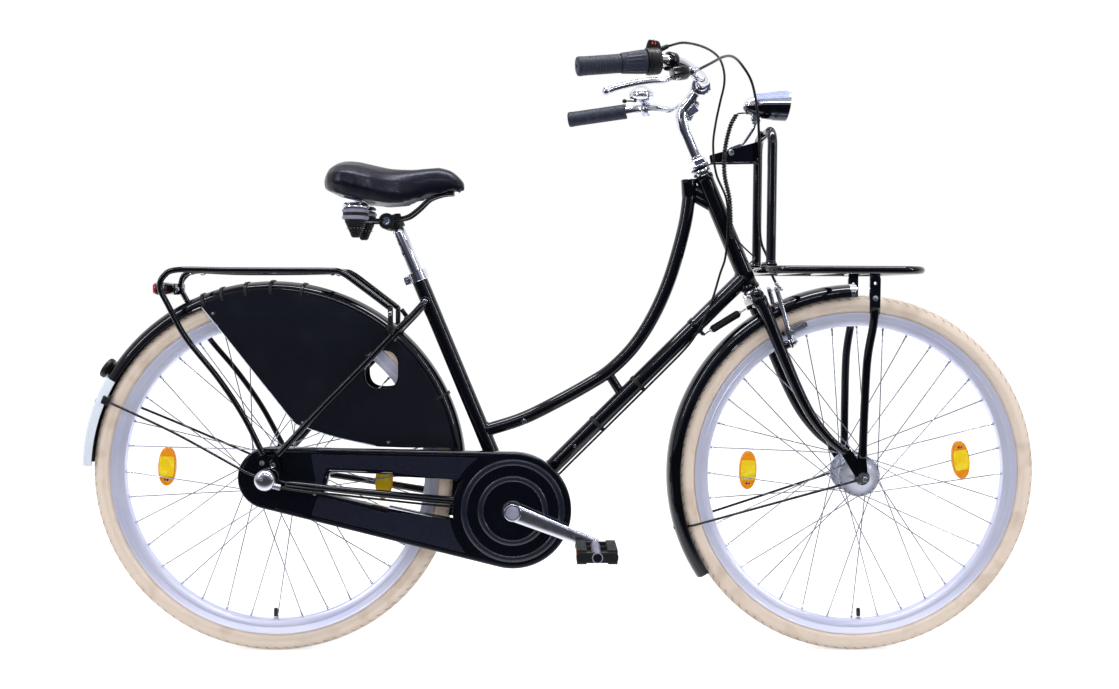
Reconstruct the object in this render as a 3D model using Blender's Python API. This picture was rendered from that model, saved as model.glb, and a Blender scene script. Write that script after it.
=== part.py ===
"""City transport bicycle with a steered front carrier, a closed chain case and a rear carrier.

Units are metres.  X points forward, Y to the rider's left, Z up.  Lengths along X are written from
the rear axle; the empty "bicycle" then shifts everything so that the origin lies on the ground
under the middle of the overall length.
"""
import math

import bmesh
import bpy
from mathutils import Matrix, Vector

# Clearances
GAP = 0.0003
RUNNING = 0.0005

# Wheels
WHEELBASE = 1.150
TYRE_R = 0.355
TYRE_HALF_W = 0.0208
RIM_OUTER_R = 0.3215
RIM_INNER_R = 0.2940
RIM_HALF_W = 0.0135
RIM_WELL_R = 0.3150
WHEEL_SEGMENTS = 26
SPOKES = 36
SPOKE_R = 0.0011
SPOKE_CROSS_DEG = 60.0
SPOKE_ELBOW = 0.0034
AXLE_R = 0.005
CONE_R = 0.0080
FRONT_FLANGE_R = 0.0415
FRONT_FLANGE_Y = 0.0310
FRONT_BARREL_R = 0.0300
FRONT_HUB_END_Y = 0.0490
REAR_FLANGE_R = 0.0450
REAR_FLANGE_Y = 0.0270
REAR_BARREL_R = 0.0350
REAR_HUB_LEFT_Y = 0.0640
REAR_HUB_RIGHT_Y = 0.0330
FLANGE_T = 0.0035
REFLECTOR_R = 0.2140
REFLECTOR_L = 0.0770
REFLECTOR_W = 0.0360
REFLECTOR_T = 0.0100
REFLECTOR_CLIP_T = 0.0256

# Frame geometry
BB_X = 0.470
BB_Z = 0.290
HEAD_ANGLE = math.radians(66.5)
HEAD_LOW = (0.940, 0.715)
HEAD_TUBE_LOW = 0.006
HEAD_TUBE_HIGH = 0.250
HEAD_TUBE_R = 0.0170
HEAD_BORE_R = 0.0146
SEAT_ANGLE = math.radians(67.3)
SEAT_TUBE_R = 0.0156
SEAT_TUBE_TOP_Z = 0.750
DOWN_TUBE_R = 0.0163
SWAN_TUBE_R = 0.0132
STAY_R = 0.0062
CHAIN_STAY_R = 0.0090
BB_SHELL_R = 0.0210
BB_SHELL_HALF_W = 0.0345
DROPOUT_Y = 0.0655
DROPOUT_T = 0.0050
DRIVER_END_Y = 0.0590
STAY_EYE_T = 0.0024
STRUT_EYE_T = 0.0030
NUT_WASHER_T = 0.0015
FRONT_NUT_T = 0.0085
REAR_NUT_T = 0.0050

# Steering parts
STEERER_R = 0.0127
QUILL_R = 0.0108
FORK_BLADE_R = 0.0130
FORK_TIP_R = 0.0075
BLADE_Y = 0.0435
FORK_DROPOUT_Y = 0.0505
FORK_DROPOUT_T = 0.0042
HEADSET_CUP_R = 0.0185
HEADSET_CUP_H = 0.0115
LOCKNUT_H = 0.0170
BRACKET_T = 0.0030
BAR_R = 0.0111
BAR_CLAMP_R = 0.0125
BAR_X = 0.832
BAR_Z = 1.115
STEM_R = 0.0117
STEM_CLAMP_R = 0.0185
STEM_CLAMP_HALF_W = 0.0200
GRIP_R = 0.0165
LEFT_GRIP_L = 0.125
RIGHT_GRIP_L = 0.072
TWIST_L = 0.046
TWIST_R = 0.0205
HOUSING_L = 0.024
HOUSING_R = 0.0235

# Front carrier
PLATFORM_REAR_X = 0.952
PLATFORM_FRONT_X = 1.236
PLATFORM_HALF_W = 0.150
PLATFORM_Z = 0.757
PLATFORM_TUBE_R = 0.0073
PLATFORM_CROSS_R = 0.0060
PLATFORM_CORNER_R = 0.045
STRUT_X = 1.162
STRUT_Y = 0.0767
STRUT_R = 0.0080
STRUT_PLATE_T = 0.0030
HOOP_X = 0.962
HOOP_HALF_W = 0.070
HOOP_TOP_Z = 1.024
HOOP_R = 0.0092

# Headlamp, brake and cables
LAMP_X = 0.918
LAMP_Z = 1.080
LAMP_BOLT_R = 0.0030
PAD_UP = 0.0196
PAD_FACE_Y = 0.0145
PAD_T = 0.0100
CABLE_R = 0.0025
GEAR_CABLE_R = 0.0022
GEAR_CABLE_SPLIT_Z = 0.975
LAMP_LEAD_R = 0.0015

# Mudguards and coat guards
GUARD_R = 0.377
GUARD_T = 0.0014
GUARD_HALF_W = 0.0290
GUARD_EDGE_R = 0.3520
GUARD_END_DEG = 177.5
COAT_T = 0.0015
STAY_WIRE_R = 0.0025

# Drive
PITCH = 0.0127
RING_TEETH = 38
SPROCKET_TEETH = 19
CHAINLINE_Y = -0.0490
CASE_INNER_Y = -0.0365
CASE_OUTER_Y = -0.0618
CASE_WALL = 0.0020
CASE_FRONT_R = 0.1135
CASE_REAR_R = 0.0600
CRANK_LENGTH = 0.170
CRANK_ANGLE = math.radians(-21.5)
CRANK_Y = 0.0675
CRANK_T = 0.0130
CRANK_AXLE_R = 0.0085
PEDAL_L = 0.095
PEDAL_W = 0.077
PEDAL_H = 0.027
PEDAL_AXLE_R = 0.0050

# Rear carrier
RACK_Z = 0.752
RACK_HALF_W = 0.060
RACK_R = 0.0056
RACK_FOOT_T = 0.0025

# Seat
POST_R = 0.0132
POST_TOP_R = 0.0110
POST_TOP_Z = 0.862
POST_BOTTOM_Z = 0.560
COLLAR_H = 0.0200
COLLAR_T = 0.0034
CLAMP_X = 0.2225
CLAMP_Z = 0.8490
BUMPER_Y = 0.0500

FRONT_REACH = WHEELBASE + TYRE_R * math.cos(math.pi / WHEEL_SEGMENTS)
REAR_REACH = GUARD_R * math.cos(math.radians(180.0 - GUARD_END_DEG))
ORIGIN_X = (FRONT_REACH - REAR_REACH) / 2

REAR_AXLE = Vector((0.0, 0.0, TYRE_R))
FRONT_AXLE = Vector((WHEELBASE, 0.0, TYRE_R))
BB = Vector((BB_X, 0.0, BB_Z))
Y_AXIS = Vector((0.0, 1.0, 0.0))
HEAD_UP = Vector((-math.cos(HEAD_ANGLE), 0.0, math.sin(HEAD_ANGLE)))
HEAD_FORWARD = Vector((math.sin(HEAD_ANGLE), 0.0, math.cos(HEAD_ANGLE)))
SEAT_UP = Vector((-math.cos(SEAT_ANGLE), 0.0, math.sin(SEAT_ANGLE)))
RIGHT = -1
LEFT = 1


def head_point(along, forward=0.0, y=0.0):
    """Point beside the steering axis, from its lower end."""
    base = Vector((HEAD_LOW[0], 0.0, HEAD_LOW[1]))
    return base + HEAD_UP * along + HEAD_FORWARD * forward + Y_AXIS * y


def seat_point(z):
    """Point on the seat tube's axis at height z."""
    return BB + SEAT_UP * ((z - BB_Z) / SEAT_UP.z)


def clear_scene():
    for obj in list(bpy.data.objects):
        bpy.data.objects.remove(obj, do_unlink=True)


# Mesh tools

def finish_mesh(bm, name="shape"):
    """Merge doubles, point the faces outwards and return a mesh."""
    bmesh.ops.remove_doubles(bm, verts=bm.verts, dist=1e-6)
    bmesh.ops.recalc_face_normals(bm, faces=bm.faces)
    mesh = bpy.data.meshes.new(name)
    bm.to_mesh(mesh)
    bm.free()
    return mesh


def evaluated_mesh(obj):
    """Mesh of an object with its modifiers, in its own space."""
    bpy.context.view_layer.update()
    depsgraph = bpy.context.evaluated_depsgraph_get()
    return bpy.data.meshes.new_from_object(obj.evaluated_get(depsgraph))


def merged(mesh):
    """Merge the vertices of tube walls and their caps."""
    bm = bmesh.new()
    bm.from_mesh(mesh)
    return finish_mesh(bm)


def axis_matrix(origin, direction):
    """Matrix that puts the local Z axis along a direction."""
    turn = Vector(direction).to_track_quat("Z", "X").to_matrix().to_4x4()
    return Matrix.Translation(Vector(origin)) @ turn


def cylinder(start, end, radius, sides=16, end_radius=None):
    start, end = Vector(start), Vector(end)
    bm = bmesh.new()
    bmesh.ops.create_cone(bm, cap_ends=True, segments=sides, radius1=radius,
                          radius2=radius if end_radius is None else end_radius,
                          depth=(end - start).length,
                          matrix=axis_matrix((start + end) / 2, end - start))
    return finish_mesh(bm)


def clear_r(radius, sides):
    """Corner radius of a bore whose flat sides keep a radius clear."""
    return radius / math.cos(math.pi / sides)


def bore(start, end, radius, sides=12):
    """Cutter for a round hole of at least the given radius."""
    return cylinder(start, end, clear_r(radius, sides), sides)


def box(centre, size, turn=None):
    bm = bmesh.new()
    place = Matrix.Translation(Vector(centre)) @ (turn or Matrix.Identity(4))
    bmesh.ops.create_cube(bm, size=1.0, matrix=place @ Matrix.Diagonal((*size, 1.0)))
    return finish_mesh(bm)


def ball(centre, radius, segments=10, rings=6):
    bm = bmesh.new()
    bmesh.ops.create_uvsphere(bm, u_segments=segments, v_segments=rings, radius=radius,
                              matrix=Matrix.Translation(Vector(centre)))
    return finish_mesh(bm)


def revolve(profile, origin, direction, sides=24):
    """Turn a closed profile of (radius, height) points about an axis."""
    bm = bmesh.new()
    ring = [bm.verts.new((radius, 0.0, height)) for radius, height in profile]
    edges = [bm.edges.new((ring[i - 1], ring[i])) for i in range(len(ring))]
    bmesh.ops.spin(bm, geom=edges, cent=(0, 0, 0), axis=(0, 0, 1), dvec=(0, 0, 0),
                   angle=math.tau, steps=sides, use_merge=True, use_duplicate=False)
    bmesh.ops.remove_doubles(bm, verts=bm.verts, dist=1e-6)
    bmesh.ops.dissolve_degenerate(bm, edges=bm.edges, dist=1e-7)
    loose = [edge for edge in bm.edges if not edge.link_faces]
    bmesh.ops.delete(bm, geom=loose, context="EDGES")
    bm.transform(axis_matrix(origin, direction))
    return finish_mesh(bm)


def prism(outline, y0, y1):
    """Extrude an outline of (x, z) points from y0 to y1."""
    bm = bmesh.new()
    face = bm.faces.new([bm.verts.new((x, y0, z)) for x, z in outline])
    moved = bmesh.ops.extrude_face_region(bm, geom=[face])["geom"]
    verts = [item for item in moved if isinstance(item, bmesh.types.BMVert)]
    bmesh.ops.translate(bm, verts=verts, vec=(0.0, y1 - y0, 0.0))
    return finish_mesh(bm)


def sweep(points, radius, sides=8, closed=False, radii=None):
    """Round tube along points, with closed ends."""
    data = bpy.data.curves.new("route", "CURVE")
    data.dimensions = "3D"
    data.bevel_depth = radius
    data.bevel_resolution = (sides - 4) // 2
    data.use_fill_caps = True
    spline = data.splines.new("POLY")
    spline.points.add(len(points) - 1)
    for i, point in enumerate(points):
        spline.points[i].co = (*point, 1.0)
        spline.points[i].radius = 1.0 if radii is None else radii[i] / radius
    spline.use_cyclic_u = closed
    guide = bpy.data.objects.new("route", data)
    bpy.context.scene.collection.objects.link(guide)
    mesh = evaluated_mesh(guide)
    bpy.data.objects.remove(guide, do_unlink=True)
    bpy.data.curves.remove(data)
    return merged(mesh)


def skinned(bm, rings):
    """Close a row of equal rings of vertices into a solid."""
    for near, far in zip(rings, rings[1:]):
        for k in range(len(near)):
            n = (k + 1) % len(near)
            bm.faces.new((near[k], near[n], far[n], far[k]))
    bm.faces.new(rings[0])
    bm.faces.new(rings[-1])
    bmesh.ops.triangulate(bm, faces=[face for face in bm.faces if len(face.verts) > 4])
    return finish_mesh(bm)


def joined(meshes):
    """Put several shells into one mesh without merging them."""
    bm = bmesh.new()
    for mesh in meshes:
        bm.from_mesh(mesh)
    out = bpy.data.meshes.new("shells")
    bm.to_mesh(out)
    bm.free()
    return out


def boolean(base, tools, operation):
    """Union or difference of a closed mesh with a list of closed meshes."""
    objects = []
    for mesh in (base, joined(tools)):
        obj = bpy.data.objects.new("operand", mesh)
        bpy.context.scene.collection.objects.link(obj)
        objects.append(obj)
    modifier = objects[0].modifiers.new("join", "BOOLEAN")
    modifier.operation = operation
    modifier.solver = "EXACT"
    modifier.use_self = len(tools) > 1
    modifier.object = objects[1]
    result = evaluated_mesh(objects[0])
    for obj in objects:
        bpy.data.objects.remove(obj, do_unlink=True)
    return result


def fuse(meshes):
    return boolean(meshes[0], meshes[1:], "UNION")


def carve(mesh, cutters):
    return boolean(mesh, cutters, "DIFFERENCE")


# Routes and outlines

def smooth_route(points, count):
    """Evenly spaced points on a smooth curve through the given points."""
    pts = [Vector(p) for p in points]
    pts = [pts[0] * 2 - pts[1]] + pts + [pts[-1] * 2 - pts[-2]]
    fine = []
    for i in range(1, len(pts) - 2):
        for step in range(16):
            fine.append(spline_point(pts[i - 1:i + 3], step / 16))
    fine.append(pts[-2])
    lengths = [0.0]
    for a, b in zip(fine, fine[1:]):
        lengths.append(lengths[-1] + (b - a).length)
    route, j = [], 0
    for k in range(count):
        target = lengths[-1] * k / (count - 1)
        while j < len(lengths) - 2 and lengths[j + 1] < target:
            j += 1
        share = (target - lengths[j]) / max(lengths[j + 1] - lengths[j], 1e-12)
        route.append(fine[j].lerp(fine[j + 1], min(share, 1.0)))
    return route


def fitted_route(points, slack, longest=0.12):
    """Fewest points of the smooth curve that stay within a slack of it, closer in its bends."""
    fine = smooth_route(points, len(points) * 12)
    route, at = [fine[0]], 0
    while at < len(fine) - 1:
        ahead = at + 1
        while ahead + 1 < len(fine) and chord_error(fine[at:ahead + 2]) < slack:
            ahead += 1
            if (fine[ahead] - fine[at]).length > longest:
                break
        at = ahead
        route.append(fine[at])
    return route


def chord_error(points):
    """Largest distance of a run of points from the straight line between its ends."""
    chord = (points[-1] - points[0]).normalized()
    return max((point - points[0]).cross(chord).length for point in points)


def spline_point(p, t):
    """Catmull-Rom point between p[1] and p[2]."""
    return 0.5 * ((2 * p[1]) + (p[2] - p[0]) * t + (2 * p[0] - 5 * p[1] + 4 * p[2] - p[3]) * t * t
                  + (3 * p[1] - p[0] - 3 * p[2] + p[3]) * t ** 3)


def arc(cx, cz, radius, start_deg, end_deg, steps):
    points = []
    for k in range(steps + 1):
        a = math.radians(start_deg + (end_deg - start_deg) * k / steps)
        points.append((cx + radius * math.cos(a), cz + radius * math.sin(a)))
    return points


def tangent_outline(c0, r0, c1, r1, steps0, steps1):
    """Outline of two circles, the second of any size, and their outer tangents."""
    dx, dz = c1[0] - c0[0], c1[1] - c0[1]
    slope = math.degrees(math.atan2(dz, dx))
    lean = math.degrees(math.acos((r0 - r1) / math.hypot(dx, dz)))
    rear = arc(*c0, r0, slope + lean, slope + 360 - lean, steps0)
    front = arc(*c1, r1, slope - lean, slope + lean, steps1)
    return rear + front


def gear_outline(teeth, centre, phase=0.0):
    """Chain wheel outline with pointed teeth."""
    pitch_r = PITCH / (2 * math.sin(math.pi / teeth))
    step = math.tau / teeth
    points = []
    for k in range(teeth):
        for share, radius in ((0.0, pitch_r - 0.0036), (0.5, pitch_r + 0.0012)):
            a = phase + (k + share) * step
            points.append((centre[0] + radius * math.cos(a), centre[1] + radius * math.sin(a)))
    return points


def rounded(points, radius, steps=4):
    """Round the corners of a convex or concave (x, z) outline."""
    out = []
    count = len(points)
    for i in range(count):
        here = Vector(points[i])
        back = (Vector(points[i - 1]) - here)
        ahead = (Vector(points[(i + 1) % count]) - here)
        cut = min(radius, back.length * 0.45, ahead.length * 0.45)
        a, b = here + back.normalized() * cut, here + ahead.normalized() * cut
        for k in range(steps + 1):
            t = k / steps
            point = a * (1 - t) ** 2 + here * 2 * t * (1 - t) + b * t * t
            out.append((point.x, point.y))
    return out


# Objects, pivots and finishes

FINISHES = {}
PIVOTS = {}


def finish(name, rgb, roughness, metallic=0.0):
    material = bpy.data.materials.new(name)
    material.use_nodes = True
    shader = material.node_tree.nodes["Principled BSDF"]
    shader.inputs["Base Color"].default_value = (*rgb, 1.0)
    shader.inputs["Roughness"].default_value = roughness
    shader.inputs["Metallic"].default_value = metallic
    material.diffuse_color = (*rgb, 1.0)
    FINISHES[name] = material


def make_finishes():
    finish("black_enamel", (0.008, 0.008, 0.012), 0.15)
    finish("black_plastic", (0.014, 0.014, 0.016), 0.45)
    finish("gloss_panel", (0.006, 0.008, 0.018), 0.10)
    finish("cream_rubber", (0.76, 0.64, 0.56), 0.75)
    finish("black_rubber", (0.020, 0.020, 0.024), 0.80)
    finish("chrome", (0.85, 0.86, 0.90), 0.08, 1.0)
    finish("polished_alloy", (0.72, 0.73, 0.80), 0.22, 1.0)
    finish("zinc_steel", (0.55, 0.56, 0.58), 0.35, 1.0)
    finish("bright_steel", (0.70, 0.71, 0.73), 0.25, 1.0)
    finish("saddle_vinyl", (0.018, 0.018, 0.026), 0.32)
    finish("red_lens", (0.55, 0.02, 0.03), 0.12)
    finish("lamp_chrome", (0.80, 0.82, 0.90), 0.10, 1.0)
    finish("clear_glass", (0.75, 0.80, 0.85), 0.05)


def make_pivot(name, parent, origin, direction=(0, 0, 1)):
    """Empty on a joint's axis, with its local Z along the axis."""
    empty = bpy.data.objects.new(name, None)
    bpy.context.scene.collection.objects.link(empty)
    matrix = axis_matrix(origin, direction)
    if parent is None:
        empty.matrix_basis = Matrix.Translation((-ORIGIN_X, 0.0, 0.0))
        matrix = Matrix.Identity(4)
    else:
        empty.parent = PIVOTS[parent][0]
        empty.matrix_basis = PIVOTS[parent][1].inverted() @ matrix
    PIVOTS[name] = (empty, matrix)


def add(name, mesh, finish_name, pivot, smooth_deg=40.0):
    """Make the named sub-part, without the edges inside its flat faces, and hang it on its pivot."""
    bm = bmesh.new()
    bm.from_mesh(mesh)
    bmesh.ops.dissolve_limit(bm, angle_limit=math.radians(0.05), use_dissolve_boundaries=False,
                             verts=bm.verts, edges=bm.edges)
    mesh = finish_mesh(bm, name)
    mesh.transform(PIVOTS[pivot][1].inverted())
    mesh.materials.clear()
    mesh.materials.append(FINISHES[finish_name])
    mesh.shade_smooth()
    mesh.set_sharp_from_angle(angle=math.radians(smooth_deg))
    obj = bpy.data.objects.new(name, mesh)
    obj.parent = PIVOTS[pivot][0]
    bpy.context.scene.collection.objects.link(obj)
    return obj


# Wheels

def wheel_point(axle, radius, degrees, y=0.0):
    a = math.radians(degrees)
    return axle + Vector((radius * math.cos(a), y, radius * math.sin(a)))


def hub_profile(barrel_r, flange_r, flange_y, right_end, left_end, end_r):
    """Outer and inner line of a hub shell, from its right end to its left end."""
    half = FLANGE_T / 2
    hole = AXLE_R + RUNNING
    return [(hole, right_end), (end_r, right_end), (barrel_r * 0.8, -flange_y - half),
            (flange_r, -flange_y - half), (flange_r, -flange_y + half),
            (barrel_r, -flange_y + half), (barrel_r, flange_y - half),
            (flange_r, flange_y - half), (flange_r, flange_y + half),
            (barrel_r * 0.8, flange_y + half), (end_r, left_end), (hole, left_end)]


def spoke_meshes(axle, flange_r, flange_y):
    """Spokes laced over three others, heads alternately inside and outside the flange."""
    end_r = RIM_INNER_R * math.cos(math.pi / WHEEL_SEGMENTS) - GAP
    meshes = []
    for hole in range(SPOKES):
        side = RIGHT if hole % 2 == 0 else LEFT
        trail = 1 if hole % 4 < 2 else -1
        rim_deg = hole * 360 / SPOKES
        hub_deg = rim_deg - trail * SPOKE_CROSS_DEG
        hole_r = flange_r - 0.0035
        head = wheel_point(axle, hole_r, hub_deg, side * flange_y)
        nipple = wheel_point(axle, end_r, rim_deg, side * 0.003)
        elbow = head + Y_AXIS * side * trail * SPOKE_ELBOW + (nipple - head).normalized() * 0.004
        bm = bmesh.new()
        along = (nipple - elbow).normalized()
        across = along.cross(Y_AXIS).normalized() * SPOKE_R
        rise = along.cross(across)
        rings = []
        for point in (elbow, nipple):
            rings.append([bm.verts.new(point + across * math.cos(a) + rise * math.sin(a))
                          for a in (0.3, 0.3 + math.tau / 3, 0.3 + math.tau * 2 / 3)])
        tip = bm.verts.new(head)
        for k in range(3):
            bm.faces.new((tip, rings[0][k], rings[0][k - 1]))
            bm.faces.new((rings[0][k - 1], rings[0][k], rings[1][k], rings[1][k - 1]))
        bm.faces.new(rings[1])
        meshes.append(finish_mesh(bm))
    return meshes


def reflector(axle, degrees):
    """Oval reflector that clips on the spokes."""
    middle = wheel_point(axle, REFLECTOR_R, degrees)
    half_w = REFLECTOR_W / 2
    straight = REFLECTOR_L / 2 - half_w
    outline = arc(0.0, straight, half_w, 0, 180, 3) + arc(0.0, -straight, half_w, 180, 360, 3)
    plate = prism(outline, -REFLECTOR_T / 2, REFLECTOR_T / 2)
    rib = box((0, 0, 0), (0.0080, REFLECTOR_CLIP_T, REFLECTOR_L * 0.80))
    mesh = fuse([plate, rib])
    mesh.transform(Matrix.Translation(middle) @ Matrix.Rotation(math.radians(-degrees), 4, "Y"))
    return mesh


def make_wheel(name, axle, pivot, hub, reflector_degs):
    flange_r, flange_y = hub[1], hub[2]
    shell = revolve(hub_profile(*hub), axle, Y_AXIS, sides=10)
    spokes = spoke_meshes(axle, flange_r, flange_y)
    plates = [reflector(axle, degrees) for degrees in reflector_degs]
    add(name + "_hub_and_spokes", fuse([shell] + spokes + plates), "polished_alloy", pivot)
    well, edge = RIM_WELL_R, RIM_OUTER_R
    rim = [(well, -0.0105), (edge, -RIM_HALF_W), (RIM_INNER_R, -0.0090), (RIM_INNER_R, 0.0090),
           (edge, RIM_HALF_W), (well, 0.0105)]
    add(name + "_rim", revolve(rim, axle, Y_AXIS, WHEEL_SEGMENTS), "polished_alloy", pivot)
    side = TYRE_HALF_W
    tyre = [(well + GAP, -0.0090), (edge + 0.0015, -0.0110), (0.3370, -side),
            (0.3500, -side * 0.62), (TYRE_R, 0.0), (0.3500, side * 0.62), (0.3370, side),
            (edge + 0.0015, 0.0110), (well + GAP, 0.0090)]
    add(name + "_tyre", revolve(tyre, axle, Y_AXIS, WHEEL_SEGMENTS), "cream_rubber", pivot)


def make_front_wheel():
    hub = (FRONT_BARREL_R, FRONT_FLANGE_R, FRONT_FLANGE_Y, -FRONT_HUB_END_Y, FRONT_HUB_END_Y,
           0.0130)
    make_wheel("front", FRONT_AXLE, "front_wheel", hub, (178.4, 7.4))


def make_rear_wheel():
    hub = (REAR_BARREL_R, REAR_FLANGE_R, REAR_FLANGE_Y, -REAR_HUB_RIGHT_Y - 0.004,
           REAR_HUB_LEFT_Y, 0.0150)
    make_wheel("rear", REAR_AXLE, "rear_wheel", hub, (177.1, -3.9))


def axle_with_nuts(axle, nut_y, nut_t, cones, end_y, name, pivot):
    """Axle with a cone between hub and dropout and a nut outside it, on each side."""
    nut_r = 0.0085
    shapes = [cylinder(axle - Y_AXIS * end_y, axle + Y_AXIS * end_y, AXLE_R, 8)]
    for start, end in cones:
        shapes.append(cylinder(axle + Y_AXIS * start, axle + Y_AXIS * end, CONE_R, 8))
    for side in (RIGHT, LEFT):
        inner = axle + Y_AXIS * side * nut_y
        outer = inner + Y_AXIS * side * (NUT_WASHER_T + nut_t)
        shapes.append(cylinder(inner, outer, nut_r * 1.12, 6, nut_r * 0.94))
    add(name, fuse(shapes), "zinc_steel", pivot)


# Frame

def rear_nut_y():
    """Outer face of the mudguard stay's eye, where the rear axle's washer sits."""
    return DROPOUT_Y + DROPOUT_T + GAP + STAY_EYE_T + GAP


def front_nut_y():
    return FORK_DROPOUT_Y + FORK_DROPOUT_T + 3 * GAP + STRUT_EYE_T + STAY_EYE_T


def make_axles():
    front_cones = [(side * (FRONT_HUB_END_Y + RUNNING), side * (FORK_DROPOUT_Y - GAP))
                   for side in (RIGHT, LEFT)]
    nut_y = front_nut_y()
    axle_with_nuts(FRONT_AXLE, nut_y, FRONT_NUT_T, front_cones,
                   nut_y + NUT_WASHER_T + FRONT_NUT_T + 0.0045, "front_axle", "steering")
    rear_cones = [(REAR_HUB_LEFT_Y + RUNNING, DROPOUT_Y - GAP),
                  (-DROPOUT_Y + GAP, -DRIVER_END_Y - RUNNING)]
    nut_y = rear_nut_y()
    axle_with_nuts(REAR_AXLE, nut_y, REAR_NUT_T, rear_cones,
                   nut_y + NUT_WASHER_T + REAR_NUT_T + 0.0055, "rear_axle", "bicycle")


def dropout(side):
    """Rear dropout with a horizontal axle slot that opens backwards."""
    outline = (arc(0.0, TYRE_R, 0.0190, 100, 250, 5) + [(0.020, 0.337), (0.052, 0.3395)]
               + [(0.052, 0.3495), (0.026, 0.362), (0.024, 0.385)] + [(0.014, 0.398)]
               + [(-0.016, 0.398), (-0.022, 0.386)])
    y0, y1 = side * DROPOUT_Y, side * (DROPOUT_Y + DROPOUT_T)
    plate = prism(outline, min(y0, y1), max(y0, y1))
    slot_r = AXLE_R + GAP
    slot = (arc(0.004, TYRE_R, slot_r, -90, 90, 4) + [(-0.030, TYRE_R + slot_r)]
            + [(-0.030, TYRE_R - slot_r)])
    return carve(plate, [prism(slot, min(y0, y1) - 0.001, max(y0, y1) + 0.001)])


def chain_stay(side, clearance=0.0):
    points = [(BB_X - 0.012, side * 0.0200, BB_Z + 0.002), (0.400, side * 0.0285, 0.2990),
              (0.350, side * 0.0335, 0.3050), (0.290, side * 0.0420, 0.3120),
              (0.200, side * 0.0580, 0.3240), (0.130, side * 0.0680, 0.3330),
              (0.085, side * 0.0695, 0.3390), (0.036, side * 0.0690, 0.3440)]
    route = fitted_route(points, 0.0010, 0.30)
    radii = [CHAIN_STAY_R + clearance - 0.0032 * k / (len(route) - 1)
             for k in range(len(route))]
    return sweep(route, CHAIN_STAY_R, 6, radii=radii)


def swan_tube_route():
    points = [head_point(0.205, -0.004), (0.8110, 0, 0.9000), (0.8010, 0, 0.8270),
              (0.7780, 0, 0.7450), (0.7460, 0, 0.6690), (0.7070, 0, 0.6070),
              (0.6610, 0, 0.5600), (0.6190, 0, 0.5320), (0.5550, 0, 0.4960),
              (0.4860, 0, 0.4620), seat_point(0.437)]
    return fitted_route(points, 0.0012, 0.30)


def make_main_frame():
    seat_top = seat_point(SEAT_TUBE_TOP_Z)
    down_end = head_point(0.034)
    shapes = [
        cylinder(head_point(HEAD_TUBE_LOW), head_point(HEAD_TUBE_HIGH), HEAD_TUBE_R, 12),
        cylinder(BB, down_end, DOWN_TUBE_R, 10),
        cylinder(BB, seat_top, SEAT_TUBE_R, 14),
        sweep(swan_tube_route(), SWAN_TUBE_R, 8),
        cylinder(BB - Y_AXIS * BB_SHELL_HALF_W, BB + Y_AXIS * BB_SHELL_HALF_W, BB_SHELL_R, 12),
        cylinder(BB + Y_AXIS * (CASE_INNER_Y + GAP), BB + Y_AXIS * (BB_SHELL_HALF_W + 0.0055),
                 0.0190, 12),
        cylinder((0.6560, 0, 0.5540), (0.6800, 0, 0.5160), 0.0095, 6),
        cylinder(BB + Vector((-0.066, -0.030, 0.010)), BB + Vector((-0.066, 0.030, 0.010)),
                 0.0060, 6),
        cylinder((seat_lug().x, -0.0155, seat_lug().z), (seat_lug().x, 0.0155, seat_lug().z),
                 0.0090, 8),
        cylinder(down_tube_point(0.500), down_tube_point(0.512), DOWN_TUBE_R + 0.0015, 10),
        cylinder(down_tube_point(0.506, 0.010), down_tube_point(0.506, 0.0240), 0.0040, 6),
        chain_stay(RIGHT), chain_stay(LEFT), dropout(RIGHT), dropout(LEFT),
    ]
    frame = fuse(shapes)
    bores = [
        bore(head_point(-0.02), head_point(0.30), HEAD_BORE_R, 12),
        bore(seat_point(POST_BOTTOM_Z - 0.17), seat_point(SEAT_TUBE_TOP_Z + 0.03),
             POST_R + GAP, 14),
        bore(BB - Y_AXIS * 0.05, BB + Y_AXIS * 0.05, CRANK_AXLE_R + RUNNING, 10),
    ]
    add("main_frame", carve(frame, bores), "black_enamel", "bicycle")


def down_tube_point(along, below=0.0):
    """Point on the down tube's axis, or below it, measured from the bottom bracket."""
    direction = (head_point(0.034) - BB).normalized()
    under = Vector((direction.z, 0.0, -direction.x))
    return BB + direction * along + under * below


def seat_lug():
    return seat_point(0.694) + Vector((-0.004, 0.0, 0.0))


def make_seat_stays():
    lug = seat_lug()
    tab_y = DROPOUT_Y + DROPOUT_T + GAP
    shapes = []
    for side in (RIGHT, LEFT):
        top = 0.0155 + GAP
        points = [(lug.x - 0.004, side * 0.0225, lug.z - 0.004), (0.272, side * 0.0300, 0.6660),
                  (0.240, side * 0.0400, 0.6330), (0.180, side * 0.0500, 0.5690),
                  (0.100, side * 0.0610, 0.4860), (0.052, side * 0.0680, 0.4340),
                  (0.022, side * (tab_y + 0.0030), 0.4000)]
        shapes.append(sweep(fitted_route(points, 0.0016, 0.30), STAY_R, 6))
        shapes.append(cylinder((lug.x, side * top, lug.z), (lug.x, side * 0.0245, lug.z),
                               0.0095, 8))
        tab = prism(arc(0.012, 0.380, 0.0085, 120, 330, 4) + [(0.026, 0.402), (0.018, 0.408)],
                    side * tab_y - (0.003 if side < 0 else 0),
                    side * tab_y + (0.003 if side > 0 else 0))
        shapes.append(tab)
    bridge = Vector((0.262, 0.0, 0.6585))
    shapes.append(cylinder(bridge - Y_AXIS * 0.034, bridge + Y_AXIS * 0.034, 0.0060, 6))
    shapes.append(cylinder(bridge, (0.2480, 0, 0.6780), 0.0045, 6))
    guard_top = REAR_AXLE + (bridge - REAR_AXLE).normalized() * (GUARD_R + GAP)
    shapes.append(cylinder(guard_top, bridge, 0.0055, 6))
    add("seat_stays", fuse(shapes), "black_enamel", "bicycle")


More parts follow.
